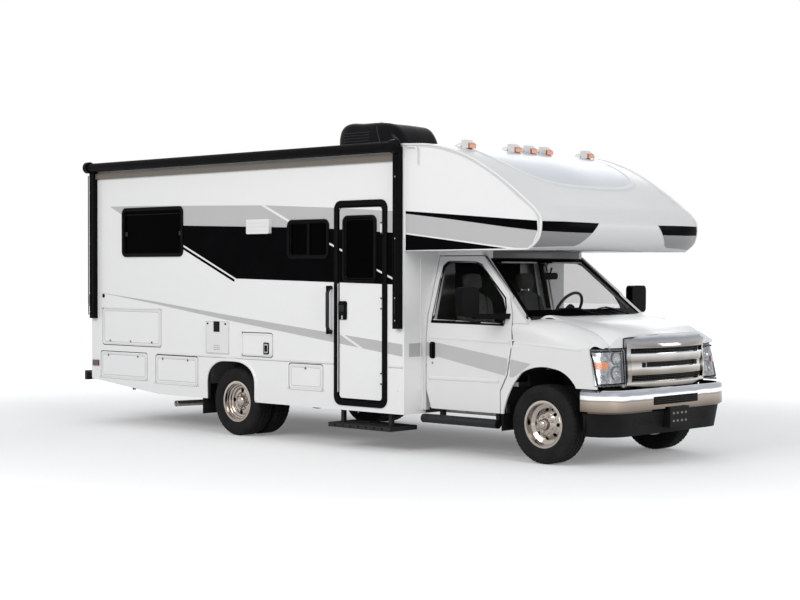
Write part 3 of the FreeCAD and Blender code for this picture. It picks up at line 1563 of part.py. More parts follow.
# The hood at its stations from rear to front: place along it, and the heights of its side edge
# and of its middle as shares of the fall from its rear to its front
HOOD_SHARES = ((0.0, 0.881, 1.0), (0.309, 0.79, 0.95), (0.608, 0.343, 0.727), (0.793, -0.133, 0.46),
               (0.908, -0.727, 0.21), (1.0, -1.2, 0.0))
HOOD_ACROSS_SHARES = ((-1.0, 0.0), (-0.93, 0.42), (-0.82, 0.76), (-0.62, 0.92), (0.0, 1.0),
                      (0.62, 0.92), (0.82, 0.76), (0.93, 0.42), (1.0, 0.0))


def hood_place(share):
    return ahead(sizes.hood_rear_x + (sizes.hood_front_x - sizes.hood_rear_x) * share)


def hood_height(share):
    return sizes.hood_front_z + (sizes.hood_rear_z - sizes.hood_front_z) * share


def hood_section(row, drop, widen=0.0):
    """Points across the hood at one station, lowered by drop and wider by widen."""
    along, side, middle = row
    low, high = hood_height(side), hood_height(middle)
    half = sizes.hood_half_width + widen
    return [Vector(hood_place(along), half * across, low + (high - low) * rise - drop)
            for across, rise in HOOD_ACROSS_SHARES]


def hood_room():
    """The space under and beside the hood that its neighbours leave free."""
    gap = sizes.panel_gap
    wires = [band(hood_section(row, -sizes.hood_t * 3, gap), hood_section(row, sizes.hood_t + gap, gap))
             for row in HOOD_SHARES]
    return solid("hood_room", loft(wires))


def hood_axis():
    """Place of the hood's hinge axis, at the ends of its rear edge."""
    return ahead(sizes.hood_rear_x), sizes.hood_rear_z - sizes.hood_hinge_drop


def hood_hinge_lugs(side):
    """Lugs on the cowl with the pin between them."""
    x, z = hood_axis()
    lug = sizes.hinge_lug
    half = sizes.hood_hinge_length / 2
    y = sizes.hood_hinge_y * side
    pieces = []
    for y0 in (y - half - lug, y + half):
        pieces.append(block("hood_lug", x - lug * 2, x, y0, y0 + lug,
                            sizes.cowl_z - sizes.cab_wall_t, z + lug / 3))
    pieces.append(rod("hood_pin", "Y", sizes.hinge_pin_radius, half * 2 + lug, x, y - half - lug / 2, z))
    return fused("hood_lugs", pieces)


def barrel(label, axis, length, x, y, z):
    """The tube of a hinge, a running fit on its pin."""
    outer = rod(label + "_tube", axis, sizes.hinge_barrel_radius, length, x, y, z)
    bore_radius = sizes.hinge_pin_radius + sizes.running_gap
    bore = rod(label + "_bore", axis, bore_radius, length, x, y, z)
    return outer, bore


def hood_skirt(name, side):
    """The hood's front edge beside the grille, turned down to the lamp's top."""
    t = sizes.hood_t
    deep = [band(hood_section(row, 0.0), hood_section(row, sizes.hood_front_z - sizes.lamp_bottom_z))
            for row in HOOD_SHARES]
    body = solid("hood_deep_" + name, loft(deep))
    half, bow = sizes.hood_half_width, sizes.hood_front_bow
    inner = sizes.grille_half_width + sizes.panel_gap
    front = ahead(sizes.hood_front_x - sizes.hood_front_bow)
    out_share = inner / half
    swell = bow * (1 - out_share * out_share)
    plan = [(front - t, half * side), (front, half * side), (front + swell, inner * side),
            (front + swell - t, inner * side)]
    low = sizes.lamp_top_z + sizes.panel_gap
    edge = panel("hood_edge_" + name, "XY", low, sizes.hood_rear_z - low, [corners(plan)])
    return common("hood_skirt_" + name, [body, edge])


def build_hood():
    wires = [band(hood_section(row, 0.0), hood_section(row, sizes.hood_t)) for row in HOOD_SHARES]
    top = solid("hood_top", loft(wires))
    half = sizes.hood_half_width
    front_bow, rear_bow = sizes.hood_front_bow, sizes.hood_rear_bow
    front_radius = (half * half + front_bow * front_bow) / (front_bow * 2)
    rear_radius = (half * half + rear_bow * rear_bow) / (rear_bow * 2)
    rear, front = ahead(sizes.hood_rear_x), ahead(sizes.hood_front_x - sizes.hood_front_bow)
    low = sizes.lamp_bottom_z
    plan = panel("hood_plan", "XY", low, sizes.hood_rear_z + sizes.overrun - low, [[
        Corner(rear, half, arc=-rear_radius),
        Corner(rear, -half),
        Corner(front, -half, arc=front_radius),
        Corner(front, half),
    ]])
    hood = common("hood_body", [top, plan])
    x, z = hood_axis()
    skirts = [hood_skirt(name, side) for name, side in SIDES]
    length = sizes.hood_hinge_length - sizes.hinge_proud
    tubes = []
    bores = []
    for name, side in SIDES:
        y = sizes.hood_hinge_y * side - length / 2
        tube, bore = barrel("hood_hinge", "Y", length, x, y, z)
        strap = block("hood_strap", x, x + sizes.hood_t * 2, y, y + length, z - sizes.hood_t, z)
        tubes += [tube, strap]
        bores.append(bore)
    shell = fused("hood_and_tubes", [hood] + skirts + tubes)
    keep(cut("hood_with_hinges", shell, fused("hood_bores", bores)), "hood")


# Across a fender from the hood's seam to its side: place, height at the lamp and height at the door
FENDER_ACROSS_SHARES = ((0.0, 1.0, 1.0), (0.4, 0.86, 0.985), (0.75, 0.5, 0.95), (0.93, 0.18, 0.82),
                        (0.985, -0.01, 0.5), (1.0, -0.1, -0.1))
# How far the section at each station is the one at the door, from rear to front
FENDER_FULL_SHARES = (1.0, 0.8, 0.35, 0.0, 0.0, 0.0)


def fender_section(side, x, seam, full):
    """Half section of a fender at one station, from the hood seam over the shoulder to the side."""
    crease = sizes.fender_crease_z
    seam_y = sizes.hood_half_width + sizes.panel_gap
    gap = sizes.cab_half_width - seam_y
    rise = seam - crease
    return [Vector(x, (seam_y + gap * across) * side, crease + rise * (front + (rear - front) * full))
            for across, front, rear in FENDER_ACROSS_SHARES]


def lamp_cover_room(side):
    """The room ahead of a lamp's front edge, which the fender's lip over the lamp keeps clear of."""
    top_x = sizes.fender_front_top_x
    inner_x = sizes.grille_front_x - sizes.grille_bow
    run = inner_x - top_x
    outer_y = sizes.cab_half_width
    span = sizes.hood_half_width - sizes.grille_half_width
    gap = sizes.panel_gap
    plan = [
        (ahead(top_x), (outer_y + gap) * side), (ahead(top_x + gap), (outer_y - gap * 2) * side),
        (ahead(top_x + run * 0.46), (outer_y - span * 0.42) * side),
        (ahead(top_x + run * 0.78), (sizes.hood_half_width + gap) * side),
        (ahead(top_x + run * 0.82), sizes.grille_half_width * side),
        (ahead(sizes.grille_front_x), sizes.grille_half_width * side),
        (ahead(sizes.grille_front_x), (outer_y + gap) * side),
    ]
    rise = sizes.hood_rear_z - sizes.lamp_top_z
    return panel("lamp_cover_room", "XY", sizes.lamp_top_z, rise, [corners(plan)])


def cab_hinge_place(side):
    """Foot of the cab door's hinge axis, on the outer skin just ahead of the door."""
    x = ahead(sizes.door_front_x) + sizes.cab_hinge_gap
    return x, sizes.cab_half_width * side, sizes.crease_z - sizes.cab_hinge_length


def cab_hinge_pins(side):
    x, y, z = cab_hinge_place(side)
    lug = sizes.hinge_lug
    pin = sizes.hinge_pin_radius
    y0, y1 = outward(side, sizes.cab_half_width - sizes.fender_t, sizes.cab_half_width + pin)
    pieces = [rod("cab_pin", "Z", pin, sizes.cab_hinge_length + lug, x, y, z - lug / 2)]
    for low in (z - lug, z + sizes.cab_hinge_length):
        pieces.append(block("cab_lug", x - pin, x + sizes.hinge_barrel_radius * 3, y0, y1, low, low + lug))
    return pieces


def build_fenders():
    halves = []
    t = sizes.fender_t
    bottom = sizes.cab_sill_z
    stations = [(hood_place(along), hood_height(side)) for along, side, _ in HOOD_SHARES[:-1]]
    stations.insert(0, (ahead(sizes.door_rear_x * 0.36), hood_height(HOOD_SHARES[0][1])))
    for name, side in SIDES:
        wires = []
        for (x, seam), full in zip(stations, FENDER_FULL_SHARES):
            outer = fender_section(side, x, seam, full)
            inner = [Vector(p.x, p.y, p.z - t) for p in outer[:3]]
            inner += [Vector(p.x, p.y - t * side, p.z - t / 2) for p in outer[3:]]
            low_out = Vector(outer[-1].x, outer[-1].y, bottom)
            low_in = Vector(inner[-1].x, inner[-1].y, bottom)
            wires.append(Part.Wire([
                curve(outer), line(outer[-1], low_out), line(low_out, low_in),
                line(low_in, inner[-1]), curve(inner[::-1]), line(inner[0], outer[0])]))
        halves.append(solid("fender_skin_" + name, loft(wires)))
    skins = fused("fender_skins", halves)
    half = sizes.cab_half_width + sizes.overrun
    door = panel("door_room", "XZ", -half, half * 2, [door_outline(sizes.panel_gap * 1.5)])
    rear, front = ahead(sizes.front_arch_rear_x), ahead(sizes.front_arch_front_x)
    low, high = sizes.front_arch_low_z, sizes.front_arch_high_z
    below = sizes.cab_sill_z - sizes.overrun
    radius = sizes.front_arch_radius
    width = front - rear
    arch = panel("front_arches", "XZ", -half, half * 2, [[
        Corner(rear, below),
        Corner(front, below),
        Corner(front, high, arc=radius * 0.62),
        Corner(rear + width * 0.697, low + (high - low) * 1.573, arc=radius),
        Corner(rear + width * 0.259, low + (high - low) * 1.387, arc=radius * 1.3),
        Corner(rear, low),
    ]])
    nose_top, nose_low = ahead(sizes.fender_front_top_x), ahead(sizes.fender_front_bottom_x)
    far = ahead(sizes.grille_front_x)
    nose = panel("lamp_room", "XZ", -half, half * 2, [corners([
        (nose_low, sizes.lamp_bottom_z), (far, sizes.lamp_bottom_z), (far, sizes.lamp_top_z),
        (nose_top, sizes.lamp_top_z)])])
    posts = [solid("pillar_room_" + name, front_pillar(side)) for name, side in SIDES]
    posts += [lamp_cover_room(side) for _, side in SIDES]
    posts += [pillar_gusset("gusset_room_" + name, side) for name, side in SIDES]
    under = block("bumper_room", front, far, -half, half,
                  sizes.cab_sill_z - sizes.overrun, sizes.fender_bottom_z)
    for name, side in SIDES:
        x, y, z = cab_hinge_place(side)
        reach = sizes.hinge_barrel_radius + sizes.hinge_proud
        posts.append(block("barrel_room_" + name, x - reach * 3, x + reach, y - reach * 3, y + reach * 3,
                           z, z + sizes.cab_hinge_length))
    body = cut("fender_skins_cut", skins, fused("fender_rooms", [door, arch, nose, under] + posts))
    hinges = []
    for name, side in SIDES:
        hinges += cab_hinge_pins(side)
    keep(fused("fender_pair", [body] + hinges), "fenders")


# The grille from its foot to the lip under the hood: height and how far its front reaches,
# each as a share of the whole, and how much of the change from bow to lip bow there is
GRILLE_SHARES = ((0.0, 0.9, 0.0), (0.06, 1.0, 0.0), (0.74, 0.95, 0.0), (0.87, 0.78, 0.3), (0.955, 0.42, 0.7),
                 (1.0, 0.0, 1.0))
GRILLE_SLOT_SHARES = ((0.105, 0.235, 0.93), (0.372, 0.485, 0.725), (0.637, 0.752, 0.93))


def grille_front(level):
    """Place of the grille's face at its middle, and its bow there, at a share of its height."""
    rows = GRILLE_SHARES
    for low, high in zip(rows, rows[1:]):
        if level <= high[0]:
            t = (level - low[0]) / (high[0] - low[0])
            reach, lip = (low[i] + (high[i] - low[i]) * t for i in (1, 2))
            back = ahead(sizes.hood_front_x + sizes.panel_gap)
            x = back + (ahead(sizes.grille_front_x) - back) * reach
            return x, sizes.grille_bow + (sizes.grille_lip_bow - sizes.grille_bow) * lip
    raise ValueError("above the grille")


def grille_wire(level, y0, y1, inset, depth):
    """Plan of a part of the grille at one height, between two distances across it."""
    x, bow = grille_front(level)
    half = sizes.grille_half_width
    z = sizes.grille_bottom_z + (sizes.grille_top_z - sizes.grille_bottom_z) * level
    outer = []
    for step_share in (0.0, 0.25, 0.5, 0.75, 1.0):
        y = y0 + (y1 - y0) * step_share
        outer.append(Vector(x - bow * (y / half) ** 2 - inset, y, z))
    inner = [p - Vector(depth, 0, 0) for p in outer]
    return band(outer, inner)


def grille_part(label, low, high, y0, y1, inset, depth):
    levels = [low] + [row[0] for row in GRILLE_SHARES if low < row[0] < high] + [high]
    return solid(label, loft([grille_wire(level, y0, y1, inset, depth) for level in levels]))


def build_grille():
    """Bowed surround with a rolled lip, three slots between its bars, and a panel behind them."""
    half = sizes.grille_half_width
    depth = sizes.grille_t
    post = sizes.grille_post_width
    inset = sizes.grille_bar_inset
    slots = GRILLE_SLOT_SHARES
    pieces = [
        grille_part("grille_foot", 0.0, slots[0][0], -half, half, 0.0, depth),
        grille_part("grille_lip", slots[2][1], 1.0, -half, half, 0.0, depth),
        grille_part("grille_back", 0.03, slots[2][1] + 0.03, -half, half, depth - sizes.grille_back_t,
                    sizes.grille_back_t),
    ]
    for lower, upper in zip(slots, slots[1:]):
        pieces.append(grille_part("grille_bar", lower[1], upper[0], -half + inset, half - inset,
                                  inset, depth - inset))
    wide = half * slots[1][2]
    for _, side in SIDES:
        y0, y1 = outward(side, half - post, half - inset / 2)
        pieces.append(grille_part("grille_post", 0.02, slots[2][1] + 0.02, y0, y1, inset / 2, depth - inset))
        y0, y1 = outward(side, wide * 0.86, half - inset * 2)
        pieces.append(grille_part("grille_filler", slots[1][0] - 0.02, slots[1][1] + 0.02, y0, y1,
                                  inset * 2, depth - inset * 3))
    keep(cut("grille_under_hood", fused("grille_body", pieces), hood_room()), "grille")


def build_headlamps():
    """Wedges that wrap round the corners, each between its fender and the grille."""
    lamps = []
    for name, side in SIDES:
        wires = []
        span = sizes.hood_half_width - sizes.grille_half_width
        for z, lean in ((sizes.lamp_bottom_z, 0.0), (sizes.lamp_top_z, 1.0)):
            run = sizes.fender_front_top_x - sizes.fender_front_bottom_x
            corner_x = sizes.fender_front_bottom_x + run * lean
            inner_x = sizes.grille_front_x - sizes.grille_bow - sizes.panel_gap
            inner_x = inner_x - sizes.grille_bar_inset * 5 * lean
            outer_y = sizes.cab_half_width - sizes.panel_gap * 2.5 * lean
            front = [
                Vector(ahead(corner_x), outer_y * side, z),
                Vector(ahead(corner_x + (inner_x - corner_x) * 0.5), (outer_y - span * 0.3) * side, z),
                Vector(ahead(corner_x + (inner_x - corner_x) * 0.85), (sizes.hood_half_width) * side, z),
                Vector(ahead(inner_x), sizes.grille_half_width * side, z),
            ]
            rear = ahead(inner_x - sizes.lamp_depth)
            skin = (outer_y - sizes.fender_t * 1.2) * side
            back = [
                Vector(rear, sizes.grille_half_width * side, z),
                Vector(rear, (outer_y - span * 0.5) * side, z),
                Vector(ahead(corner_x), skin, z),
            ]
            wires.append(Part.Wire([
                curve(front), line(front[-1], back[0]), line(back[0], back[1]),
                line(back[1], back[2]), line(back[2], front[0])]))
        lamps.append(solid("lamp_" + name, loft(wires)))
    keep(cut("lamps_under_hood", fused("lamp_pair", lamps), hood_room()), "headlamps")


BUMPER_SHARES = ((0.0, -1.0), (0.45, -0.985), (0.71, -0.93), (0.94, -0.52), (1.0, 0.0),
                 (0.94, 0.52), (0.71, 0.93), (0.45, 0.985), (0.0, 1.0))


def bumper_band(z, inset, thick):
    """Plan of the bumper at one height, set back by inset."""
    rear, front = ahead(sizes.bumper_end_x), ahead(sizes.bumper_front_x)
    half = sizes.cab_half_width
    outer = []
    inner = []
    for along, across in BUMPER_SHARES:
        x = rear + (front - rear) * along
        outer.append(Vector(x - inset * along, (half - inset) * across, z))
        inner.append(Vector(x - (inset + thick) * along, (half - inset - thick) * across, z))
    return band(outer, inner)


def build_front_bumper():
    low, high = sizes.bumper_bottom_z, sizes.bumper_top_z
    soft = sizes.bumper_round
    wires = [
        bumper_band(low, soft, sizes.bumper_t - soft),
        bumper_band(low + soft, 0.0, sizes.bumper_t),
        bumper_band(high - soft, 0.0, sizes.bumper_t),
        bumper_band(high, soft, sizes.bumper_t - soft),
    ]
    bar = solid("bumper_bar", loft(wires, True))
    half = sizes.bumper_slot_half
    front = ahead(sizes.bumper_front_x)
    slot = block("bumper_slot", front - sizes.bumper_slot_depth, front + sizes.overrun, -half, half,
                 sizes.bumper_slot_bottom_z, sizes.bumper_slot_top_z)
    pads = [bar]
    pad, rise = sizes.bumper_pad_width / 2, sizes.bumper_pad_height / 2
    middle = sizes.rail_bottom_z + sizes.rail_height / 2
    for _, side in SIDES:
        y = (sizes.rail_inner_y + sizes.rail_width / 2) * side
        pads.append(block("bumper_pad", ahead(sizes.rail_front_x), front - sizes.bumper_t, y - pad, y + pad,
                          middle - rise, middle + rise))
    keep(cut("bumper_with_slot", fused("bumper_with_pads", pads), slot), "front_bumper")


def build_front_valance():
    """Black lower panel with the bracket for a number plate."""
    low, high = sizes.valance_bottom_z, sizes.bumper_bottom_z
    inset = sizes.valance_inset
    wires = [bumper_band(low, inset * 2, sizes.bumper_t), bumper_band(high, inset, sizes.bumper_t)]
    skirt = solid("valance_skirt", loft(wires, True))
    front = ahead(sizes.plate_front_x)
    back = ahead(sizes.bumper_front_x) - inset * 2 - sizes.bumper_t / 2
    half = sizes.plate_half_width
    top = sizes.bumper_bottom_z
    bracket = [block("plate_bracket", back, front, -half, half, sizes.plate_bottom_z, top)]
    lip = ahead(sizes.bumper_front_x)
    bracket.append(block("plate_lip", lip, front, -half, half, sizes.plate_bottom_z, sizes.plate_top_z))
    holes = []
    x = back - sizes.bumper_t
    for _, side in SIDES:
        y = sizes.plate_hole_spacing / 2 * side
        z = top - sizes.plate_hole_drop
        holes.append(rod("plate_hole", "X", sizes.plate_hole_radius, front - x + sizes.overrun, x, y, z))
    keep(cut("valance_with_holes", fused("valance_body", [skirt] + bracket), fused("plate_holes", holes)),
         "front_valance")


def build_side_steps():
    """Tubular boards under the cab doors, and the folded step under the entry door."""
    rear, front = ahead(sizes.board_rear_x), ahead(sizes.board_front_x)
    bracket = sizes.board_bracket
    rocker = sizes.cab_half_width - sizes.door_t - sizes.panel_gap
    pieces = []
    for name, side in SIDES:
        y = sizes.board_y * side
        pieces.append(rod("board_" + name, "X", sizes.board_radius, front - rear, rear, y, sizes.board_z))
        y0, y1 = outward(side, rocker - sizes.pillar_t, sizes.board_y)
        for share in (0.12, 0.88):
            x = rear + (front - rear) * share - bracket / 2
            pieces.append(block("board_arm", x, x + bracket, y0, y1, sizes.board_z - bracket / 2,
                                sizes.board_z + bracket / 2))
            y2, y3 = outward(side, rocker - sizes.pillar_t, rocker)
            pieces.append(block("board_post", x, x + bracket, y2, y3, sizes.board_z, sizes.cab_sill_z))
    rear, front = ahead(sizes.step_rear_x), ahead(sizes.step_front_x)
    low, high = sizes.step_z, sizes.step_z + sizes.step_t
    hanger = sizes.step_hanger
    pieces.append(block("step_tray", rear, front, -sizes.step_outer_y, -sizes.step_inner_y, low, high))
    for x in (rear + hanger * 2, front - hanger * 3):
        y = -sizes.house_half_width + sizes.wall_t + hanger
        pieces.append(block("step_hanger", x, x + hanger, y, y + hanger, high, sizes.well_floor_z))
    keep(fused("steps", pieces), "side_steps")


def build_dashboard():
    rear, front = ahead(sizes.dash_rear_x), ahead(sizes.firewall_x)
    half = sizes.cab_half_width - sizes.door_t * 2.2
    low, high = sizes.dash_bottom_z, sizes.dash_top_z - sizes.cab_wall_t
    body = panel("dash_body", "XZ", -half, half * 2, [corners([
        (rear + sizes.cab_wall_t * 4, low), (front, low), (front, high), (rear + sizes.cab_wall_t * 3, high),
        (rear, high - sizes.cab_wall_t * 3)])])
    x, z = ahead(sizes.steering_wheel_x), sizes.steering_wheel_z
    y = sizes.seat_y
    lean = Vector(-0.87, 0, 0.5)
    centre = Vector(x, y, z)
    ring = Part.makeTorus(sizes.steering_wheel_radius, sizes.steering_rim_radius, centre, lean)
    foot = Vector(rear + sizes.cab_wall_t * 4, y, high - sizes.cab_wall_t * 3)
    column = Part.makeCylinder(sizes.steering_rim_radius * 2, (foot - centre).Length, centre, foot - centre)
    hub = Part.makeCylinder(sizes.steering_rim_radius * 4, sizes.steering_rim_radius * 2, centre, lean * -1)
    spokes = [
        Part.makeCylinder(sizes.steering_rim_radius * 0.8, sizes.steering_wheel_radius, centre, way)
        for way in (Vector(0, 1, 0), Vector(0, -1, 0), Vector(-0.5, 0, -0.87))
    ]
    wheel = solid("steering_wheel", ring.fuse([column, hub] + spokes))
    keep(fused("dash_and_wheel", [body, wheel]), "dashboard")


def build_seats():
    pieces = []
    rear, front = ahead(sizes.seat_rear_x), ahead(sizes.seat_front_x)
    floor_top = sizes.cab_floor_z + sizes.cab_floor_t
    half = sizes.seat_half_width
    t = sizes.cushion_t
    back = sizes.backrest_t
    for name, side in SIDES:
        y = sizes.seat_y * side
        pieces.append(block("pedestal_" + name, rear + t, front - t, y - half + t / 2, y + half - t / 2,
                            floor_top, sizes.seat_base_z))
        outline = corners([
            (rear, sizes.seat_base_z), (front, sizes.seat_base_z), (front, sizes.seat_base_z + t),
            (rear + back, sizes.seat_base_z + t * 0.8), (rear + back * 0.3, sizes.backrest_top_z),
            (rear - back * 0.7, sizes.backrest_top_z)])
        pieces.append(panel("seat_" + name, "XZ", y - half, half * 2, [outline]))
        head = sizes.headrest_half_width
        pieces.append(block("headrest_" + name, rear - back * 0.6, rear + back * 0.2, y - head, y + head,
                            sizes.backrest_top_z, sizes.backrest_top_z + sizes.headrest_height))
    keep(fused("seats", pieces), "cab_seats")


# Outside fittings

def build_awning():
    """Rolled awning along the eaves, its rail on the wall and its two folded arms."""
    rear, front = ahead(sizes.awning_rear_x), ahead(sizes.awning_front_x)
    y, z = sizes.awning_y, sizes.awning_z
    cap = sizes.awning_cap_length
    pieces = [rod("awning_roller", "X", sizes.awning_radius, front - rear, rear, y, z)]
    wall = -sizes.house_half_width
    for x in (rear, front - cap):
        pieces.append(rod("awning_cap", "X", sizes.awning_cap_radius, cap, x, y, z))
    width, depth = sizes.awning_arm_width, sizes.awning_arm_depth
    for x in (rear, front - width):
        pieces.append(block("awning_arm", x, x + width, wall - depth, wall, sizes.awning_arm_bottom_z, z))
    rail = sizes.awning_radius * 0.6
    pieces.append(block("awning_rail", rear, front, y, wall, z - rail, z))
    keep(fused("awning_body", pieces), "awning")


# The air conditioner from rear to front: place along it, its half width and its height
AIRCON_SHARES = ((0.0, 0.93, 0.88), (0.04, 0.97, 0.96), (0.3, 1.0, 1.0), (0.55, 1.0, 0.995),
                 (0.74, 0.98, 0.95), (0.88, 0.93, 0.8), (0.96, 0.86, 0.55), (1.0, 0.78, 0.3))
AIRCON_SECTION_SHARES = ((-1.0, 0.0), (-1.0, 0.4), (-0.97, 0.72), (-0.86, 0.93), (-0.6, 0.99), (0.0, 1.0),
                         (0.6, 0.99), (0.86, 0.93), (0.97, 0.72), (1.0, 0.4), (1.0, 0.0))


def build_aircon():
    """Shroud with a rounded top that falls to the front, on a narrower foot."""
    rear, front = ahead(sizes.aircon_rear_x), ahead(sizes.aircon_front_x)
    low = sizes.roof_top_z + sizes.aircon_lift
    wires = []
    for along, wide, tall in AIRCON_SHARES:
        x = rear + (front - rear) * along
        half = sizes.aircon_half_width * wide
        rise = sizes.aircon_height * tall
        points = [Vector(x, half * a, low + rise * b) for a, b in AIRCON_SECTION_SHARES]
        wires.append(Part.Wire([curve(points), line(points[-1], points[0])]))
    shroud = solid("aircon_shroud", loft(wires))
    foot = sizes.aircon_round * 2
    half = sizes.aircon_half_width - foot
    base = block("aircon_foot", rear + foot, front - foot, -half, half, sizes.roof_top_z, low + foot)
    keep(fused("aircon_body", [shroud, base]), "roof_aircon")


def build_roof_vents():
    """Two square vent lids on the roof, and the covers and spout on the right wall."""
    half = sizes.vent_half
    low = sizes.roof_top_z
    high = sizes.roof_top_z + sizes.vent_height
    pieces = []
    for x in (sizes.vent_rear_x, sizes.vent_mid_x):
        x0, x1 = ahead(x) - half, ahead(x) + half
        outline = rectangle(x0, x1, -half, half, sizes.vent_height / 2)
        pieces.append(panel("roof_vent", "XY", low, high - low, [outline]))
    wall = -sizes.house_half_width
    covers = (
        (sizes.hood_vent_rear_x, sizes.hood_vent_front_x, sizes.hood_vent_bottom_z, sizes.hood_vent_top_z,
         sizes.hood_vent_proud),
        (sizes.heater_rear_x, sizes.heater_front_x, sizes.heater_bottom_z, sizes.heater_top_z,
         sizes.heater_proud),
    )
    for x0, x1, z0, z1, proud in covers:
        pieces.append(panel("wall_cover", "XZ", wall - proud, proud,
                            [opening((x0, x1, z0, z1), sizes.hatch_corner / 2)]))
    keep(fused("vents", pieces), "vent_covers")


def build_signal_lamps():
    """Amber lamps on the nose and along the sides, and the rear lamps."""
    pieces = []
    x = ahead(sizes.marker_x)
    cap = solid("cap_room", cap_loft())
    for y in (-sizes.marker_outer_y, -sizes.marker_spacing, 0.0,
              sizes.marker_spacing, sizes.marker_outer_y):
        z = sizes.cap_top_z - sizes.cap_t * 1.6
        half = sizes.marker_half_width
        top = sizes.cap_top_z + sizes.marker_height
        outline = corners([(x, z), (x + sizes.marker_length, z), (x + sizes.marker_length, top - half),
                           (x + half, top), (x, top)])
        lamp = panel("nose_lamp", "XZ", y - half, half * 2, [outline])
        pieces.append(cut("seated_lamp", lamp, cap))
    for _, side in SIDES:
        y0, y1 = outward(side, sizes.house_half_width, sizes.house_half_width + sizes.lamp_proud)
        half, rise = sizes.side_marker_half, sizes.side_marker_half_height
        x = ahead(sizes.side_marker_x)
        z = sizes.side_marker_z
        pieces.append(block("side_lamp", x - half, x + half, y0, y1, z - rise, z + rise))
        y = sizes.tail_lamp_y * side
        half = sizes.tail_lamp_half_width
        rear = ahead(sizes.house_rear_x)
        pieces.append(block("tail_lamp", rear - sizes.lamp_proud * 2, rear, y - half, y + half,
                            sizes.tail_lamp_bottom_z, sizes.tail_lamp_top_z))
    keep(fused("lamps", pieces), "signal_lamps")


def build_rear_bumper():
    rear = ahead(sizes.rear_bumper_rear_x)
    front = ahead(sizes.rail_rear_x)
    half = sizes.rear_bumper_half_width
    low, high = sizes.rear_bumper_bottom_z, sizes.rear_bumper_top_z
    t = sizes.wall_t
    hole = sizes.receiver_outer / 2
    tube = sizes.rail_bottom_z
    loops = [rectangle(-half, half, low, high), rectangle(-hole, hole, tube, tube + hole * 2)]
    pieces = [panel("rear_bar", "YZ", rear, t, loops)]
    for _, side in SIDES:
        y0, y1 = outward(side, sizes.rail_inner_y, sizes.rail_inner_y + sizes.rail_width)
        pieces.append(block("bar_bracket", rear, front, y0, y1, high - sizes.rear_bumper_bracket, high))
        y0, y1 = outward(side, half - t, half)
        pieces.append(block("bar_end", rear, ahead(sizes.house_rear_x) - sizes.panel_gap, y0, y1,
                            high - sizes.rear_bumper_bracket, high))
    keep(fused("rear_bumper_body", pieces), "rear_bumper")


def build_grab_handle():
    x = ahead(sizes.grab_handle_x)
    low, high = sizes.grab_handle_bottom_z, sizes.grab_handle_top_z
    wall = -sizes.house_half_width
    radius = sizes.grab_handle_radius
    y = wall - sizes.grab_handle_reach
    pieces = [rod("grip", "Z", radius, high - low, x, y, low)]
    for z in (low + radius, high - radius):
        pieces.append(rod("grip_post", "Y", radius, wall - y, x, y, z))
    keep(fused("handle_body", pieces), "grab_handle")


build_chassis()
build_engine()
build_exhaust()
build_tanks()
build_front_axle()
build_rear_axle()
for name, side in SIDES:
    build_knuckle(name, side)
    build_front_wheel(name, side)
    build_rear_wheels(name, side)
    build_side_wall(name, side)
    build_cab_door(name, side)
    build_mirror(name, side)
build_rear_wall()
build_roof()
build_floor()
build_liners()
build_hatches()
build_hinges()
build_windows()
build_entry_door()
build_front_cap()
build_cab_surround()
build_windshield()
build_cab_shell()
build_hood()
build_fenders()
build_grille()
build_headlamps()
build_front_bumper()
build_front_valance()
build_side_steps()
build_dashboard()
build_seats()
build_awning()
build_aircon()
build_roof_vents()
build_signal_lamps()
build_rear_bumper()
build_grab_handle()

doc.recompute()
for feature in doc.Objects:
    if "Invalid" in feature.State or "Error" in feature.State:
        raise RuntimeError("failed: " + feature.Label)
for feature in nodes:
    shape = feature.Shape
    if shape.isNull() or not shape.isValid() or not shape.Solids:
        raise RuntimeError("not a valid solid: " + feature.Label)
os.makedirs("parts", exist_ok=True)
for feature in nodes:
    feature.Shape.exportStep("parts/" + feature.Label + ".step")
print(len(nodes), "sub-parts written")
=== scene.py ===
"""Looks of the motorhome: materials, graphics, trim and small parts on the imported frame."""

import math

import bmesh
import bpy
from mathutils import Matrix, Vector
from mathutils.bvhtree import BVHTree


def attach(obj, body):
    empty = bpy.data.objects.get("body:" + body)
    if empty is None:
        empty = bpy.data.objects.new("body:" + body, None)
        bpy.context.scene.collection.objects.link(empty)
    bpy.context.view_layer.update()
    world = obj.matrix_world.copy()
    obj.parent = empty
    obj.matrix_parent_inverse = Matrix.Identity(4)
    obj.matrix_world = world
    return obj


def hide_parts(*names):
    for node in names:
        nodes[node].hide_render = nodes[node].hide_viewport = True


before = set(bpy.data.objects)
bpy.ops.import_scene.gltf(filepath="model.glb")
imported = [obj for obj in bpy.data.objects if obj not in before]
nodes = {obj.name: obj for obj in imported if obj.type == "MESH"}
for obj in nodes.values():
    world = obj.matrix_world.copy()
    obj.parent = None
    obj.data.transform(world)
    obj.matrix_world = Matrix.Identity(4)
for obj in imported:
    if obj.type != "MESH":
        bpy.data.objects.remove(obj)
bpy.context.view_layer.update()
scene = bpy.context.scene

# Places that many pieces share, in metres: x ahead of the front axle, y from the middle, z above the ground

FRONT_AXLE = 2.952
REAR_AXLE = -4.013
AXLE_Z = 0.368
FRONT_TRACK = 0.881
REAR_TRACK = 0.988
TWIN_SHIFT = 0.130
WALL_Y = 1.270
WALL_EDGE_Y = 1.262
WALL_REAR = -6.54
WALL_FRONT = -1.50
BELT_Z = 0.848
BELT_SEAM_Z = 0.836
SIDES = (("right", -1), ("left", 1))
FAR = 20.0
BESIDE = 3.0
DOWN = (0, 0, -1)
BACK = (-1, 0, 0)


def at(x):
    """A place along the vehicle, from its distance ahead of the front axle."""
    return FRONT_AXLE + x


# Camera at the photograph's viewing angle

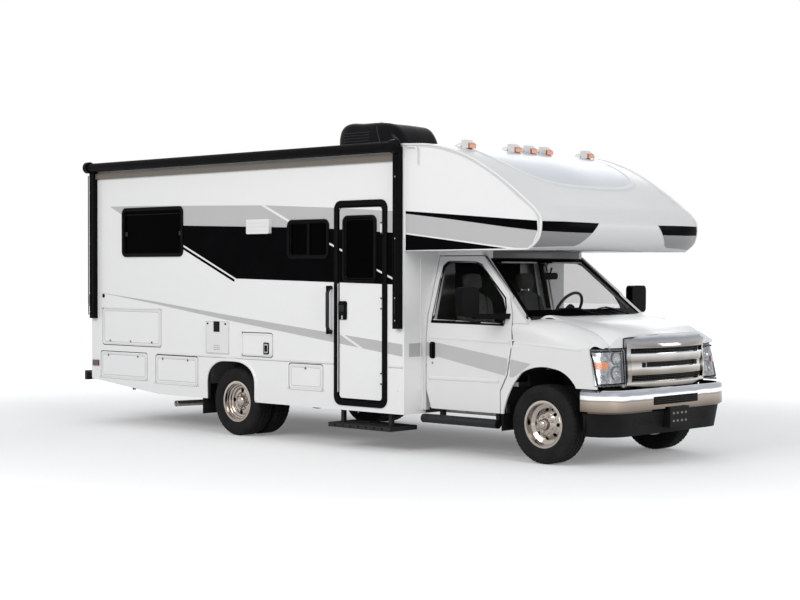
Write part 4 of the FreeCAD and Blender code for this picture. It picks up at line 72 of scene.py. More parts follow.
CAMERA_PLACE = (at(9.19618), -12.70297, 1.78302)
CAMERA_ANGLES = (133.197, -1.030, 0.0915)
SENSOR = 36.0
LENS_LENGTH = 72.464
VIEW_END = 200.0


def make_camera():
    data = bpy.data.cameras.new("photo_camera")
    data.sensor_fit = "HORIZONTAL"
    data.sensor_width = SENSOR
    data.lens = LENS_LENGTH
    data.clip_end = VIEW_END
    camera = bpy.data.objects.new("photo_camera", data)
    scene.collection.objects.link(camera)
    yaw, pitch, roll = (math.radians(angle) for angle in CAMERA_ANGLES)
    forward = Vector((math.cos(pitch) * math.cos(yaw), math.cos(pitch) * math.sin(yaw), math.sin(pitch)))
    right = Vector((math.sin(yaw), -math.cos(yaw), 0.0))
    up = right.cross(forward)
    turned_right = right * math.cos(roll) + up * math.sin(roll)
    turned_up = up * math.cos(roll) - right * math.sin(roll)
    basis = Matrix((turned_right, turned_up, -forward)).transposed()
    camera.matrix_world = Matrix.Translation(CAMERA_PLACE) @ basis.to_4x4()
    scene.camera = camera


# Materials

def new_material(name):
    material = bpy.data.materials.new(name)
    material.use_nodes = True
    return material, material.node_tree


def put(tree, kind, links=(), values=(), **settings):
    """A shader node with its settings, the values of its inputs and the sockets that feed them."""
    made = tree.nodes.new("ShaderNode" + kind)
    for name, value in settings.items():
        setattr(made, name, value)
    for name, value in dict(values).items():
        made.inputs[name].default_value = value
    for name, socket in dict(links).items():
        tree.links.new(socket, made.inputs[name])
    return made


def noise(tree, where, scale, detail):
    return put(tree, "TexNoise", {"Vector": where}, {"Scale": scale, "Detail": detail})


def spread(tree, cloud, low, high):
    """The noise brought between two values."""
    ranged = put(tree, "MapRange", {"Value": cloud.outputs["Fac"]}, {"To Min": low, "To Max": high})
    return ranged.outputs["Result"]


def colour_ramp(tree, level, stops):
    """The colour at a level between the stops, as (level, colour)."""
    ramp = put(tree, "ValToRGB", {"Fac": level})
    marks = ramp.color_ramp.elements
    while len(marks) < len(stops):
        marks.new(0.5)
    for mark, (position, colour) in zip(marks, stops):
        mark.position = position
        mark.color = (*colour, 1)
    return ramp.outputs["Color"]


def fill(tree, colour, rough, values):
    """The colour and the roughness come from sockets, and the shader's other inputs have these values."""
    shader = tree.nodes["Principled BSDF"]
    tree.links.new(colour, shader.inputs["Base Color"])
    tree.links.new(rough, shader.inputs["Roughness"])
    for name, value in values.items():
        shader.inputs[name].default_value = value
    return shader


def surface(name, colour, rough, metal=0.0, vary=0.04, scale=6.0, rough_vary=0.05, bump=0.0, bump_scale=200.0,
            coat=0.0, ior=1.5, alpha=1.0, speck=0.0, stretch=(1, 1, 1)):
    """A material whose colour, roughness and relief all vary a little over the surface."""
    material, tree = new_material(name)
    place = put(tree, "TexCoord").outputs["Object"]
    where = put(tree, "Mapping", {"Vector": place}, {"Scale": stretch}).outputs["Vector"]
    cloud = noise(tree, where, scale, 5.0)
    low = [max(c * (1 - vary), 0.0) for c in colour]
    high = [min(c * (1 + vary), 1.0) for c in colour]
    tone = colour_ramp(tree, cloud.outputs["Fac"], ((0.3, low), (0.7, high)))
    if speck:
        dust = noise(tree, where, scale * 14, 8.0).outputs["Color"]
        tone = put(tree, "Mix", {"A": tone, "B": dust}, {"Factor": speck}, data_type="RGBA",
                   blend_type="MULTIPLY").outputs["Result"]
    gloss = spread(tree, cloud, max(rough - rough_vary, 0.0), min(rough + rough_vary, 1.0))
    shader = fill(tree, tone, gloss, {"Metallic": metal, "Coat Weight": coat, "Coat Roughness": 0.04,
                                      "IOR": ior, "Alpha": alpha})
    if bump:
        fine = noise(tree, where, bump_scale, 3.0)
        relief = put(tree, "Bump", {"Height": fine.outputs["Fac"]}, {"Strength": bump, "Distance": 0.002})
        tree.links.new(relief.outputs["Normal"], shader.inputs["Normal"])
    return material


def joined(tree, operation, first, second):
    if first is None:
        return second
    return put(tree, "Math", {0: first, 1: second}, operation=operation).outputs["Value"]


def lined(material, colour, *regions):
    """Another colour inside: where every plane (x, distance from the middle, z, shift) is above zero."""
    tree = material.node_tree
    base = tree.nodes["Principled BSDF"].inputs["Base Color"]
    split = put(tree, "SeparateXYZ", {"Vector": put(tree, "TexCoord").outputs["Object"]}).outputs
    across = put(tree, "Math", {0: split["Y"]}, operation="ABSOLUTE").outputs["Value"]
    spot = put(tree, "CombineXYZ", {"X": split["X"], "Y": across, "Z": split["Z"]}).outputs["Vector"]
    mask = None
    for region in regions:
        inside = None
        for x, y, z, shift in region:
            along = put(tree, "VectorMath", {0: spot}, {1: (x, y, z)}, operation="DOT_PRODUCT")
            above = put(tree, "Math", {0: along.outputs["Value"]}, {1: -shift}, operation="GREATER_THAN")
            inside = joined(tree, "MULTIPLY", inside, above.outputs["Value"])
        mask = joined(tree, "MAXIMUM", mask, inside)
    plain_colour = base.links[0].from_socket
    mix = put(tree, "Mix", {"A": plain_colour, "Factor": mask}, {"B": (*colour, 1)}, data_type="RGBA")
    tree.links.new(mix.outputs["Result"], base)
    return material


def painted_reflection_plating(name, stops):
    """Bright plating whose tone runs through the stops, as (height, colour), from the ground up: a painted
    reflection of the ground below and the sky above.
    """
    material, tree = new_material(name)
    place = put(tree, "TexCoord").outputs["Object"]
    height = put(tree, "SeparateXYZ", {"Vector": place}).outputs["Z"]
    cloud = noise(tree, place, 3.5, 2.0)
    sway = spread(tree, cloud, -0.014, 0.014)
    moved = put(tree, "Math", {0: height, 1: sway}, operation="ADD").outputs["Value"]
    low, high = stops[0][0], stops[-1][0]
    level = put(tree, "MapRange", {"Value": moved}, {"From Min": low, "From Max": high}).outputs["Result"]
    tone = colour_ramp(tree, level, [((z - low) / (high - low), colour) for z, colour in stops])
    fill(tree, tone, spread(tree, cloud, 0.06, 0.12), {"Metallic": 1.0})
    return material


WALL_LOOK = dict(colour=(0.80, 0.80, 0.80), rough=0.30, vary=0.004, rough_vary=0.015, coat=0.2)
CAB_LOOK = dict(colour=(0.71, 0.71, 0.71), rough=0.34, vary=0.004, rough_vary=0.01, coat=0.12)
TRIM_LOOK = dict(colour=(0.0045, 0.0045, 0.005), rough=0.36, vary=0.2, scale=9, bump=0.03, bump_scale=400,
                 ior=1.1)
FILM_LOOK = dict(rough=0.30, vary=0.01, scale=3, rough_vary=0.02)
LENS_LOOK = dict(rough=0.14, vary=0.12, scale=40, rough_vary=0.04)
CLEAR_LOOK = dict(rough=0.03, vary=0.1, rough_vary=0.01, scale=2, alpha=0.14)

# The inner faces of the walls and the cab are painted near-black: painted shade of the dim inside, and partly
# the dark lining of the cab doors
INSIDE_SHADE_AND_LINING = (0.022, 0.022, 0.023)
WALL = surface("fibreglass_wall", **WALL_LOOK)
SIDE_WALL = lined(surface("side_wall", **WALL_LOOK), INSIDE_SHADE_AND_LINING, [(0, -1, 0, 1.262), (-1, 0, 0, 1.462)])
FRONT_WALL = lined(surface("front_wall", **WALL_LOOK), INSIDE_SHADE_AND_LINING, [(0, -1, 0, 0.955), (0, -1, -0.243, 1.195)])
CAB = surface("cab_paint", **CAB_LOOK)
DOOR_PAINT = lined(surface("door_paint", **CAB_LOOK), INSIDE_SHADE_AND_LINING,
                   [(0, -1, 0, 0.988), (0, -1, -0.112, 1.0917), (0, -1, -0.243, 1.239)])
SHELL_PAINT = lined(surface("shell_paint", **CAB_LOOK), INSIDE_SHADE_AND_LINING,
                    [(0, -1, 0, 0.930), (0, 0, -1, 0.845)],
                    [(0, -1, -0.243, 1.205), (0, 0, 1, -0.845), (-1, 0, 0, 1.80)],
                    [(0, -1, 0, 0.690), (0, 0, 1, -1.890), (1, 0, 0, -1.95)])
CAP = surface("gelcoat", (0.64, 0.645, 0.655), 0.36, vary=0.004, rough_vary=0.01, coat=0.06, ior=1.4)
# The nose panel's bluish grey is painted sky reflection and painted shade on the top of the nose
PANEL_SKY_REFLECTION_AND_SHADE = surface("nose_panel", (0.50, 0.525, 0.575), coat=0.06, ior=1.4, **FILM_LOOK)
MOULD = surface("white_plastic", (0.74, 0.74, 0.735), 0.4, vary=0.01, rough_vary=0.03, bump=0.03,
                bump_scale=300)
GREY = surface("grey_graphic", (0.455, 0.455, 0.455), coat=0.2, **FILM_LOOK)
DEEP_GREY = surface("deep_grey_graphic", (0.22, 0.22, 0.225), **FILM_LOOK)
BLACK = surface("black_graphic", (0.0022, 0.0022, 0.0026), 0.18, vary=0.2, scale=3, rough_vary=0.03, ior=1.05)
PINSTRIPE = surface("white_stripe", (0.78, 0.78, 0.78), 0.28, vary=0.005, rough_vary=0.01, scale=3, coat=0.2)
TRIM = surface("black_trim", **TRIM_LOOK)

# The inner part of the entry frame's rear side is white
FRAMES = lined(surface("window_frame_black", **TRIM_LOOK), (0.78, 0.78, 0.78),
               [(1, 0, 0, -at(-2.398)), (-1, 0, 0, at(-2.36)), (0, 1, 0, -1.268), (0, 0, 1, -0.56),
                (0, 0, -1, 1.655)])
PLASTIC = surface("black_plastic", (0.018, 0.018, 0.019), 0.5, vary=0.25, scale=14, bump=0.25, bump_scale=700,
                  ior=1.25)
GLOSSY = surface("gloss_black_plastic", (0.004, 0.004, 0.005), 0.16, vary=0.2, scale=8, rough_vary=0.03,
                 ior=1.16)

# The entry door's hinges are black
HINGES = surface("hinge_paint", (0.70, 0.70, 0.695), 0.4, vary=0.01, rough_vary=0.03)
lined(HINGES, (0.005, 0.005, 0.005), [(1, 0, 0, -at(-1.82))])
RUBBER = surface("tyre_rubber", (0.0130, 0.0126, 0.0124), 0.75, vary=0.3, scale=9, bump=0.25, bump_scale=260,
                 ior=1.2)
DARK_GLASS = surface("dark_glass", (0.001, 0.001, 0.0012), 0.05, vary=0.1, rough_vary=0.015, scale=2,
                     ior=1.05)
CAB_GLASS = surface("cab_glass", (0.016, 0.021, 0.014), ior=1.25, **CLEAR_LOOK)
SIDE_GLASS = surface("side_glass", (0.008, 0.011, 0.007), ior=1.2, **CLEAR_LOOK)
CHROME = surface("chrome", (0.46, 0.45, 0.44), 0.08, metal=1.0, vary=0.06, rough_vary=0.02, scale=7)

# Painted reflection: the plating's colour changes with height, painted to stand for the ground mirrored below
# and the sky above
BUMPER_PAINTED_REFLECTION = painted_reflection_plating("bumper_chrome_painted_reflection", (
    (0.500, (0.12, 0.10, 0.085)), (0.560, (0.24, 0.20, 0.165)), (0.600, (0.30, 0.26, 0.22)),
    (0.616, (0.20, 0.18, 0.165)), (0.624, (0.66, 0.66, 0.67)), (0.650, (0.76, 0.77, 0.79)),
    (0.662, (0.27, 0.28, 0.31)), (0.686, (0.23, 0.24, 0.27)), (0.700, (0.42, 0.43, 0.46)),
    (0.712, (0.55, 0.56, 0.59))))
GRILLE_PAINTED_REFLECTION = painted_reflection_plating("grille_chrome_painted_reflection", (
    (0.722, (0.16, 0.14, 0.12)), (0.765, (0.46, 0.44, 0.42)), (0.835, (0.15, 0.13, 0.11)),
    (0.872, (0.32, 0.29, 0.26)), (0.895, (0.62, 0.61, 0.60)), (0.955, (0.16, 0.14, 0.12)),
    (0.995, (0.42, 0.40, 0.38)), (1.020, (0.62, 0.62, 0.63)), (1.085, (0.22, 0.21, 0.20)),
    (1.130, (0.34, 0.33, 0.33)), (1.165, (0.24, 0.26, 0.31)), (1.198, (0.66, 0.67, 0.69))))
STEEL = surface("wheel_chrome", (0.42, 0.38, 0.345), 0.12, metal=1.0, vary=0.04, rough_vary=0.04, scale=18)
ALLOY = surface("satin_metal", (0.42, 0.42, 0.42), 0.35, metal=1.0, vary=0.08, rough_vary=0.08, scale=30,
                bump=0.05)
PIPE = surface("exhaust_steel", (0.30, 0.28, 0.26), 0.42, metal=1.0, vary=0.3, rough_vary=0.15, scale=9,
               bump=0.1)
FRAME_BLACK = surface("frame_paint", (0.014, 0.013, 0.013), 0.55, vary=0.3, scale=7, bump=0.15,
                      bump_scale=120, speck=0.4, ior=1.35)
IRON = surface("cast_iron", (0.045, 0.042, 0.038), 0.7, vary=0.3, scale=12, bump=0.4, ior=1.3)
TANK = surface("tank_plastic", (0.008, 0.008, 0.008), 0.6, vary=0.25, bump=0.2, bump_scale=150, ior=1.2)
LINER = surface("liner_plastic", (0.30, 0.30, 0.31), 0.6, vary=0.06, scale=8, bump=0.15, bump_scale=250)
WOOD = surface("floor_boards", (0.30, 0.215, 0.145), 0.5, vary=0.35, scale=4, bump=0.15, bump_scale=90,
               stretch=(1, 9, 1))
CLOTH = surface("seat_cloth", (0.075, 0.075, 0.08), 0.9, vary=0.2, scale=30, bump=0.5, bump_scale=900)
DASH = surface("dash_plastic", (0.035, 0.035, 0.037), 0.65, vary=0.15, scale=20, bump=0.4, bump_scale=600)
HEADLINER = surface("headliner", (0.42, 0.41, 0.39), 0.9, vary=0.06, scale=25, bump=0.3, bump_scale=500)
AMBER = surface("amber_lens", (0.80, 0.20, 0.015), coat=0.4, **LENS_LOOK)
RED = surface("red_lens", (0.42, 0.012, 0.012), coat=0.4, **LENS_LOOK)

# The rear lamps are red, the backs of the nose lamps are white and the rear side markers are dark
SIGNAL = surface("signal_lens", (0.50, 0.115, 0.012), coat=0.3, **LENS_LOOK)
lined(SIGNAL, (0.30, 0.008, 0.008), [(-1, 0, 0, at(-6.50))])
lined(SIGNAL, (0.62, 0.62, 0.62), [(-1, 0, 0, at(-0.903)), (0, 0, 1, -2.8)])
lined(SIGNAL, (0.075, 0.010, 0.006), [(-1, 0, 0, at(-6.10)), (0, 1, 0, -1.266), (0, 0, -1, 1.2)])
RAIL = surface("awning_rail", (0.14, 0.12, 0.10), 0.45, rough_vary=0.03)
LENS = surface("clear_lens", (0.62, 0.64, 0.66), 0.05, vary=0.05, scale=30, rough_vary=0.03, alpha=0.16)
REFLECTOR = surface("lamp_reflector", (0.27, 0.28, 0.30), 0.20, metal=1.0, vary=0.65, scale=26,
                    rough_vary=0.08)
MIRROR = surface("mirror_glass", (0.75, 0.77, 0.78), 0.03, metal=1.0, vary=0.02, rough_vary=0.01, scale=3)
SEAM = surface("seam", (0.16, 0.16, 0.16), 0.7, vary=0.2, scale=20)

NODE_LOOKS = {
    FRAME_BLACK: ("chassis_frame", "front_axle", "rear_axle", "rear_bumper", "side_steps"),
    IRON: ("engine_block", "knuckle_right", "knuckle_left"),
    PIPE: ("exhaust_pipe",),
    TANK: ("tanks", "front_valance"),
    LINER: ("hatch_liners",),
    WOOD: ("house_floor",),
    WALL: ("wall_rear", "house_roof", "hatch_rear_upper", "hatch_rear_lower", "hatch_mid_lower", "hatch_side",
           "hatch_service", "hatch_left"),
    SIDE_WALL: ("wall_right", "wall_left", "entry_door"),
    FRONT_WALL: ("cab_surround",),
    DOOR_PAINT: ("cab_door_right", "cab_door_left"),
    SHELL_PAINT: ("cab_shell",),
    CAP: ("front_cap",),
    CAB: ("fenders", "hood"),
    MOULD: ("vent_covers",),
    HINGES: ("hatch_hinges",),
    FRAMES: ("window_frames",),
    TRIM: ("awning", "grab_handle", "mirror_right", "mirror_left"),
    GLOSSY: ("roof_aircon",),
    DARK_GLASS: ("window_panes", "entry_window"),
    CAB_GLASS: ("windshield",),
    SIDE_GLASS: ("door_glass_right", "door_glass_left"),
    GRILLE_PAINTED_REFLECTION: ("grille",),
    BUMPER_PAINTED_REFLECTION: ("front_bumper",),
    STEEL: ("rim_front_right", "rim_front_left", "rims_rear_right", "rims_rear_left"),
    LENS: ("headlamps",),
    SIGNAL: ("signal_lamps",),
    DASH: ("dashboard",),
    CLOTH: ("cab_seats",),
    RUBBER: ("tyre_front_right", "tyre_front_left", "tyres_rear_right", "tyres_rear_left"),
}


def dress_nodes():
    for material, names in NODE_LOOKS.items():
        for name in names:
            mesh = nodes[name].data
            mesh.materials.clear()
            mesh.materials.append(material)


# Shapes

def lifted(plane, a, b, level):
    """A point of a flat outline, set in its plane at this level."""
    return {"XZ": (a, level, b), "XY": (a, b, level), "YZ": (level, a, b)}[plane]


class Piece:
    """A mesh built up from several forms, which becomes one object on one body."""

    def __init__(self, name, body, slot=None):
        self.name = name
        self.body = body
        self.slot = slot
        self.bm = bmesh.new()
        self.materials = []

    def index(self, material):
        if material not in self.materials:
            self.materials.append(material)
        return self.materials.index(material)

    def add(self, material, verts, faces, smooth=True):
        number = self.index(material)
        made = [self.bm.verts.new(v) for v in verts]
        fresh = []
        for face in faces:
            corners = [made[i] for i in face]
            if len(set(corners)) < 3:
                continue
            new = self.bm.faces.new(corners)
            new.material_index = number
            new.smooth = smooth
            fresh.append(new)
        return made, fresh

    def bevel(self, verts, width, segments=2):
        edges = list(dict.fromkeys(e for v in verts for e in v.link_edges if len(e.link_faces) == 2
                                   and e.calc_face_angle(0.0) > 0.35))
        number = verts[0].link_faces[0].material_index
        result = bmesh.ops.bevel(self.bm, geom=edges, offset=width, segments=segments,
                                 profile=0.5, affect="EDGES", clamp_overlap=True)
        for face in result["faces"]:
            face.smooth = True
            face.material_index = number

    def box(self, material, x, y, z, bevel=0.0, segments=2, turn=None):
        """A box between the low and high ends of x, y and z."""
        verts = [Vector((a, b, c)) for a in x for b in y for c in z]
        if turn is not None:
            middle = Vector((sum(x) / 2, sum(y) / 2, sum(z) / 2))
            verts = [middle + turn @ (v - middle) for v in verts]
        faces = [(0, 1, 3, 2), (4, 6, 7, 5), (0, 4, 5, 1), (2, 3, 7, 6), (0, 2, 6, 4), (1, 5, 7, 3)]
        made, _ = self.add(material, verts, faces)
        if bevel:
            self.bevel(made, bevel, segments)

    def prism(self, material, outline, plane, low, high, bevel=0.0, segments=2):
        """A flat outline, as (x, z), (x, y) or (y, z) points, made as thick as low to high."""
        count = len(outline)
        verts = [Vector(lifted(plane, a, b, level)) for level in (low, high) for a, b in outline]
        faces = [tuple(range(count))[::-1], tuple(range(count, count * 2))]
        faces += [(i, (i + 1) % count, count + (i + 1) % count, count + i) for i in range(count)]
        made, fresh = self.add(material, verts, faces)
        bmesh.ops.recalc_face_normals(self.bm, faces=fresh)
        if bevel:
            self.bevel(made, bevel, segments)

    def wire(self, material, outline, plane, level, radius, steps=8):
        """A round bar along a closed outline, in its plane at this level."""
        line = [lifted(plane, a, b, level) for a, b in outline]
        self.tube(material, line + line[:1], radius, steps, False)

    def lathe(self, material, profile, centre, axis="Y", side=1, steps=64, closed=False):
        """A section of (along, radius) points turned about an axis through the centre."""
        verts = []
        for i in range(steps):
            turn = math.tau * i / steps
            for along, radius in profile:
                a, b, c = along * side, radius * math.cos(turn), radius * math.sin(turn)
                offset = {"X": (a, b, c), "Y": (b, a, c), "Z": (b, c, a)}[axis]
                verts.append(Vector(centre) + Vector(offset))
        count = len(profile)
        faces = []
        last = count if closed else count - 1
        for i in range(steps):
            j = (i + 1) % steps
            for k in range(last):
                m = (k + 1) % count
                faces.append((i * count + k, i * count + m, j * count + m, j * count + k))
        made, fresh = self.add(material, verts, faces)
        bmesh.ops.remove_doubles(self.bm, verts=made, dist=1e-6)
        fresh = [f for f in fresh if f.is_valid]
        bmesh.ops.recalc_face_normals(self.bm, faces=fresh)

    def tube(self, material, points, radius, steps=12, ends=True):
        """A round bar along the points."""
        points = [Vector(p) for p in points]
        verts = []
        normal = None
        for i, point in enumerate(points):
            before, after = points[max(i - 1, 0)], points[min(i + 1, len(points) - 1)]
            run = (after - before).normalized()
            if normal is None:
                normal = run.orthogonal().normalized()
            normal = (normal - run * normal.dot(run)).normalized()
            other = run.cross(normal)
            for k in range(steps):
                turn = math.tau * k / steps
                verts.append(point + (normal * math.cos(turn) + other * math.sin(turn)) * radius)
        faces = []
        for i in range(len(points) - 1):
            for k in range(steps):
                m = (k + 1) % steps
                faces.append((i * steps + k, i * steps + m, (i + 1) * steps + m, (i + 1) * steps + k))
        if ends:
            faces.append(tuple(range(steps))[::-1])
            faces.append(tuple(range(len(verts) - steps, len(verts))))
        self.add(material, verts, faces)

    def sheet(self, material, rows, smooth=True):
        """A surface through rows of points."""
        width = len(rows[0])
        verts = [Vector(p) for row in rows for p in row]
        faces = []
        for i in range(len(rows) - 1):
            for k in range(width - 1):
                faces.append((i * width + k, i * width + k + 1, (i + 1) * width + k + 1, (i + 1) * width + k))
        return self.add(material, verts, faces, smooth)

    def done(self, angle=32.0, replaces=()):
        mesh = bpy.data.meshes.new(self.name)
        self.bm.to_mesh(mesh)
        self.bm.free()
        for material in self.materials:
            mesh.materials.append(material)
        mesh.set_sharp_from_angle(angle=math.radians(angle))
        piece = bpy.data.objects.new(self.name, mesh)
        scene.collection.objects.link(piece)
        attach(piece, self.body)
        if replaces:
            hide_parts(*replaces)
        return piece


def rounded(x0, x1, z0, z1, radius, steps=5):
    """A rectangle with round corners, counter-clockwise."""
    points = []
    for cx, cz, start in ((x1 - radius, z0 + radius, -90), (x1 - radius, z1 - radius, 0),
                          (x0 + radius, z1 - radius, 90), (x0 + radius, z0 + radius, 180)):
        for i in range(steps + 1):
            turn = math.radians(start + 90 * i / steps)
            points.append((cx + radius * math.cos(turn), cz + radius * math.sin(turn)))
    return points


def smooth_line(points, steps=8):
    """Points along a smooth curve through the given ones."""
    points = [Vector(p) for p in points]
    ends = [points[0] * 2 - points[1]] + points + [points[-1] * 2 - points[-2]]
    out = []
    for a, b, c, d in zip(ends, ends[1:], ends[2:], ends[3:]):
        for i in range(steps):
            t = i / steps
            out.append(0.5 * (2 * b + (c - a) * t + (2 * a - 5 * b + 4 * c - d) * t * t
                              + (3 * b - a - 3 * c + d) * t ** 3))
    return out + [points[-1]]


# Flat graphics

def clip(outline, axis, limit, keep_low):
    """The part of an outline on one side of a limit."""
    out = []
    for i, b in enumerate(outline):
        a = outline[i - 1]
        inside_a = (a[axis] <= limit) == keep_low or a[axis] == limit
        inside_b = (b[axis] <= limit) == keep_low or b[axis] == limit
        if inside_a != inside_b:
            t = (limit - a[axis]) / (b[axis] - a[axis])
            out.append((a[0] + (b[0] - a[0]) * t, a[1] + (b[1] - a[1]) * t))
        if inside_b:
            out.append(b)
    return out


def without(outlines, hole):
    """Outlines with a rectangular hole taken out."""
    x0, x1, z0, z1 = hole
    out = []
    for outline in outlines:
        out.append(clip(outline, 0, x0, True))
        right = clip(outline, 0, x0, False)
        out.append(clip(right, 0, x1, False))
        middle = clip(right, 0, x1, True)
        out.append(clip(middle, 1, z0, True))
        out.append(clip(middle, 1, z1, False))
    return [o for o in out if len(o) > 2 and area(o) > 1e-6]


def area(outline):
    total = 0.0
    for i, b in enumerate(outline):
        a = outline[i - 1]
        total += a[0] * b[1] - b[0] * a[1]
    return abs(total) / 2


# Laying sheets on the model

def trees_of(*names):
    """Search trees of the named nodes."""
    out = []
    for name in names:
        mesh = nodes[name].data
        out.append(BVHTree.FromPolygons([v.co.copy() for v in mesh.vertices],
                                        [tuple(p.vertices) for p in mesh.polygons]))
    return out


def cast(trees, start, run):
    """Where a ray first meets one of the trees, or nothing."""
    best = None
    for tree in trees:
        place, _, _, gap = tree.ray_cast(start, run)
        if place is not None and (best is None or gap < best[1]):
            best = (place, gap)
    return best[0] if best else None


def from_front(trees, y, z, proud=0.0):
    """Where a ray from far ahead meets the trees, and this far out of it."""
    hit = cast(trees, Vector((FAR, y, z)), Vector(BACK))
    return None if hit is None else hit + Vector((proud, 0, 0))


def from_side(trees, x, z, side):
    """Where a ray from beside the vehicle meets the trees."""
    return cast(trees, Vector((x, side * BESIDE, z)), Vector((0, -side, 0)))


def planes(run):
    """The direction of a ray, the axis that it runs along and the two across it."""
    run = Vector(run).normalized()
    axis = max(range(3), key=lambda i: abs(run[i]))
    return run, axis, [i for i in range(3) if i != axis]


def start_of(point, run, axis, across):
    place = Vector((0.0, 0.0, 0.0))
    place[across[0]], place[across[1]] = point[0], point[1]
    place[axis] = -20.0 * run[axis]
    return place


def drape(piece, material, outline, trees, run, lift=0.0015, step=0.25):
    """A thin sheet with this outline, laid on the trees along the direction run."""
    run, axis, across = planes(run)
    flat = bmesh.new()
    corners = [flat.verts.new(start_of(p, run, axis, across)) for p in outline]
    flat.faces.new(corners)
    bmesh.ops.triangulate(flat, faces=flat.faces[:])
    for i in across:
        places = [v.co[i] for v in flat.verts]
        high = max(places)
        place = min(places) + step
        normal = Vector((0.0, 0.0, 0.0))
        normal[i] = 1.0
        while place < high - 1e-4:
            geom = flat.verts[:] + flat.edges[:] + flat.faces[:]
            bmesh.ops.bisect_plane(flat, geom=geom, plane_co=normal * place, plane_no=normal)
            place += step
    found = {}
    verts = []
    faces = []
    for face in flat.faces:
        row = []
        for vert in face.verts:
            if vert not in found:
                hit = cast(trees, vert.co, run)
                found[vert] = None if hit is None else len(verts)
                if hit is not None:
                    verts.append(hit - run * lift)
            row.append(found[vert])
        if None not in row:
            faces.append(row)
    flat.free()
    if faces:
        _, fresh = piece.add(material, verts, faces)
        face_out(fresh, run)


def face_out(fresh, run):
    for face in fresh:
        face.normal_update()
        if face.normal.dot(run) > 0:
            face.normal_flip()


def film(piece, material, outline, side, lift):
    """A sheet with this outline on the flat side wall of the house."""
    place = [Vector((a, side * (WALL_Y + lift), b)) for a, b in outline]
    bm = piece.bm
    face = bm.faces.new([bm.verts.new(p) for p in place])
    face.material_index = piece.index(material)
    face_out([face], Vector((0, -side, 0)))
    bmesh.ops.triangulate(bm, faces=[face])


def ridge(piece, material, line, width, height, trees, run, step=0.05, sink=0.0004):
    """A low rounded moulding along a line, laid on the trees."""
    run, axis, across = planes(run)
    points = []
    for a, b in zip(line, line[1:]):
        a, b = Vector(a), Vector(b)
        count = max(int((b - a).length / step), 1)
        points += [a + (b - a) * i / count for i in range(count)]
    points.append(Vector(line[-1]))
    rows = []
    for i, point in enumerate(points):
        way = (points[min(i + 1, len(points) - 1)] - points[max(i - 1, 0)]).normalized()
        aside = Vector((-way.y, way.x)) * width / 2
        row = []
        for share, rise in ((-1.0, 0.0), (-0.7, 0.75), (0.0, 1.0), (0.7, 0.75), (1.0, 0.0)):
            hit = cast(trees, start_of(point + aside * share, run, axis, across), run)
            if hit is None:
                break
            row.append(hit - run * (height * rise + sink))
        if len(row) == 5:
            rows.append(row)
        elif len(rows) > 1:
            face_out(piece.sheet(material, rows)[1], run)
            rows = []
        else:
            rows = []
    if len(rows) > 1:
        face_out(piece.sheet(material, rows)[1], run)


def shifted(points):
    """Points of a side view, from places ahead of the front axle."""
    return [(at(x), z) for x, z in points]


def mirrored(points, side):
    return [(y * side, z) for y, z in points]


def strip(a, b, width):
    """A straight band of this width from one point to another."""
    a, b = Vector(a), Vector(b)
    aside = Vector((-(b - a).y, (b - a).x)).normalized() * width / 2
    return [tuple(a + aside), tuple(b + aside), tuple(b - aside), tuple(a - aside)]


# Paint and film on the body

# Openings in the walls and places on them, as the low and high ends of x and z
REAR_WINDOW = (-5.961, -4.851, 1.940, 2.505)
MID_WINDOW = (-3.146, -2.524, 1.906, 2.312)
DOORWAY = (-2.449, -1.708, 0.430, 2.490)
DOOR_WINDOW = (-2.299, -1.883, 1.695, 2.310)
RANGE_VENT = (-3.751, -3.394, 2.174, 2.328)
HEATER_COVER = (-4.452, -4.067, 0.880, 1.236)
SERVICE_HATCH = (-3.867, -3.380, 0.875, 1.120)

WALL_GREY = [(-6.196, 2.531), (-5.4, 2.520), (-4.882, 2.506), (-3.545, 2.476), (-2.5, 2.425), (-1.506, 2.361),
             (-1.506, 2.150), (-3.197, 2.238), (-4.843, 2.287), (-5.9, 2.400)]
WALL_BLACK = [(-4.900, 2.287), (-3.197, 2.238), (-2.515, 2.212), (-1.506, 2.150), (-1.506, 1.649),
              (-3.957, 1.699), (-4.843, 2.068), (-4.900, 2.092)]
WALL_LOW_GREY = [(-6.439, 1.527), (-5.4, 1.437), (-4.123, 1.306), (-2.465, 1.151), (-1.506, 1.069),
                 (-1.506, 0.950), (-2.465, 1.061), (-4.123, 1.251), (-5.4, 1.411)]
NOSE_BLACK = [(-1.465, 2.365), (-0.9, 2.322), (-0.2, 2.267), (0.155, 2.240), (0.160, 2.150), (-0.2, 2.188),
              (-0.9, 2.276), (-1.465, 2.339)]
NOSE_GREY = [(-1.465, 2.339), (-0.9, 2.276), (-0.2, 2.188), (0.160, 2.150), (0.085, 1.995), (-0.10, 1.997),
             (-0.9, 2.090), (-1.465, 2.155)]
NOSE_TIP = [(-1.465, 2.140), (-0.9, 2.075), (-0.20, 1.992), (-1.465, 1.984)]

# Straight bands, as both ends and the width
HIGH_STRIPE = ((-3.545, 2.482), (-3.10, 2.290), 0.026)
LONG_STRIPE = ((-3.10, 2.290), (-1.655, 1.716), 0.019)
END_STRIPE = ((-1.655, 1.716), (-1.520, 1.654), 0.019)
SLASH = ((-2.368, 1.154), (-2.052, 1.007), 0.024)
BORDER = ((-4.872, 2.042), (-3.985, 1.675), 0.028)


def inset(box, by):
    """The box in the vehicle's own places, smaller all round."""
    x0, x1, z0, z1 = box
    return (at(x0 + by), at(x1 - by), z0 + by, z1 - by)


def layers(borders, stripes, lifts):
    """Material, outlines and lift of each layer of film on a side wall."""
    def bands(shapes):
        return [strip(*shifted([a, b]), width) for a, b, width in shapes]
    return ((GREY, [shifted(WALL_GREY), shifted(WALL_LOW_GREY)], lifts[0]),
            (BLACK, [shifted(WALL_BLACK)] + bands(borders), lifts[1]),
            (PINSTRIPE, bands(stripes), lifts[2]))


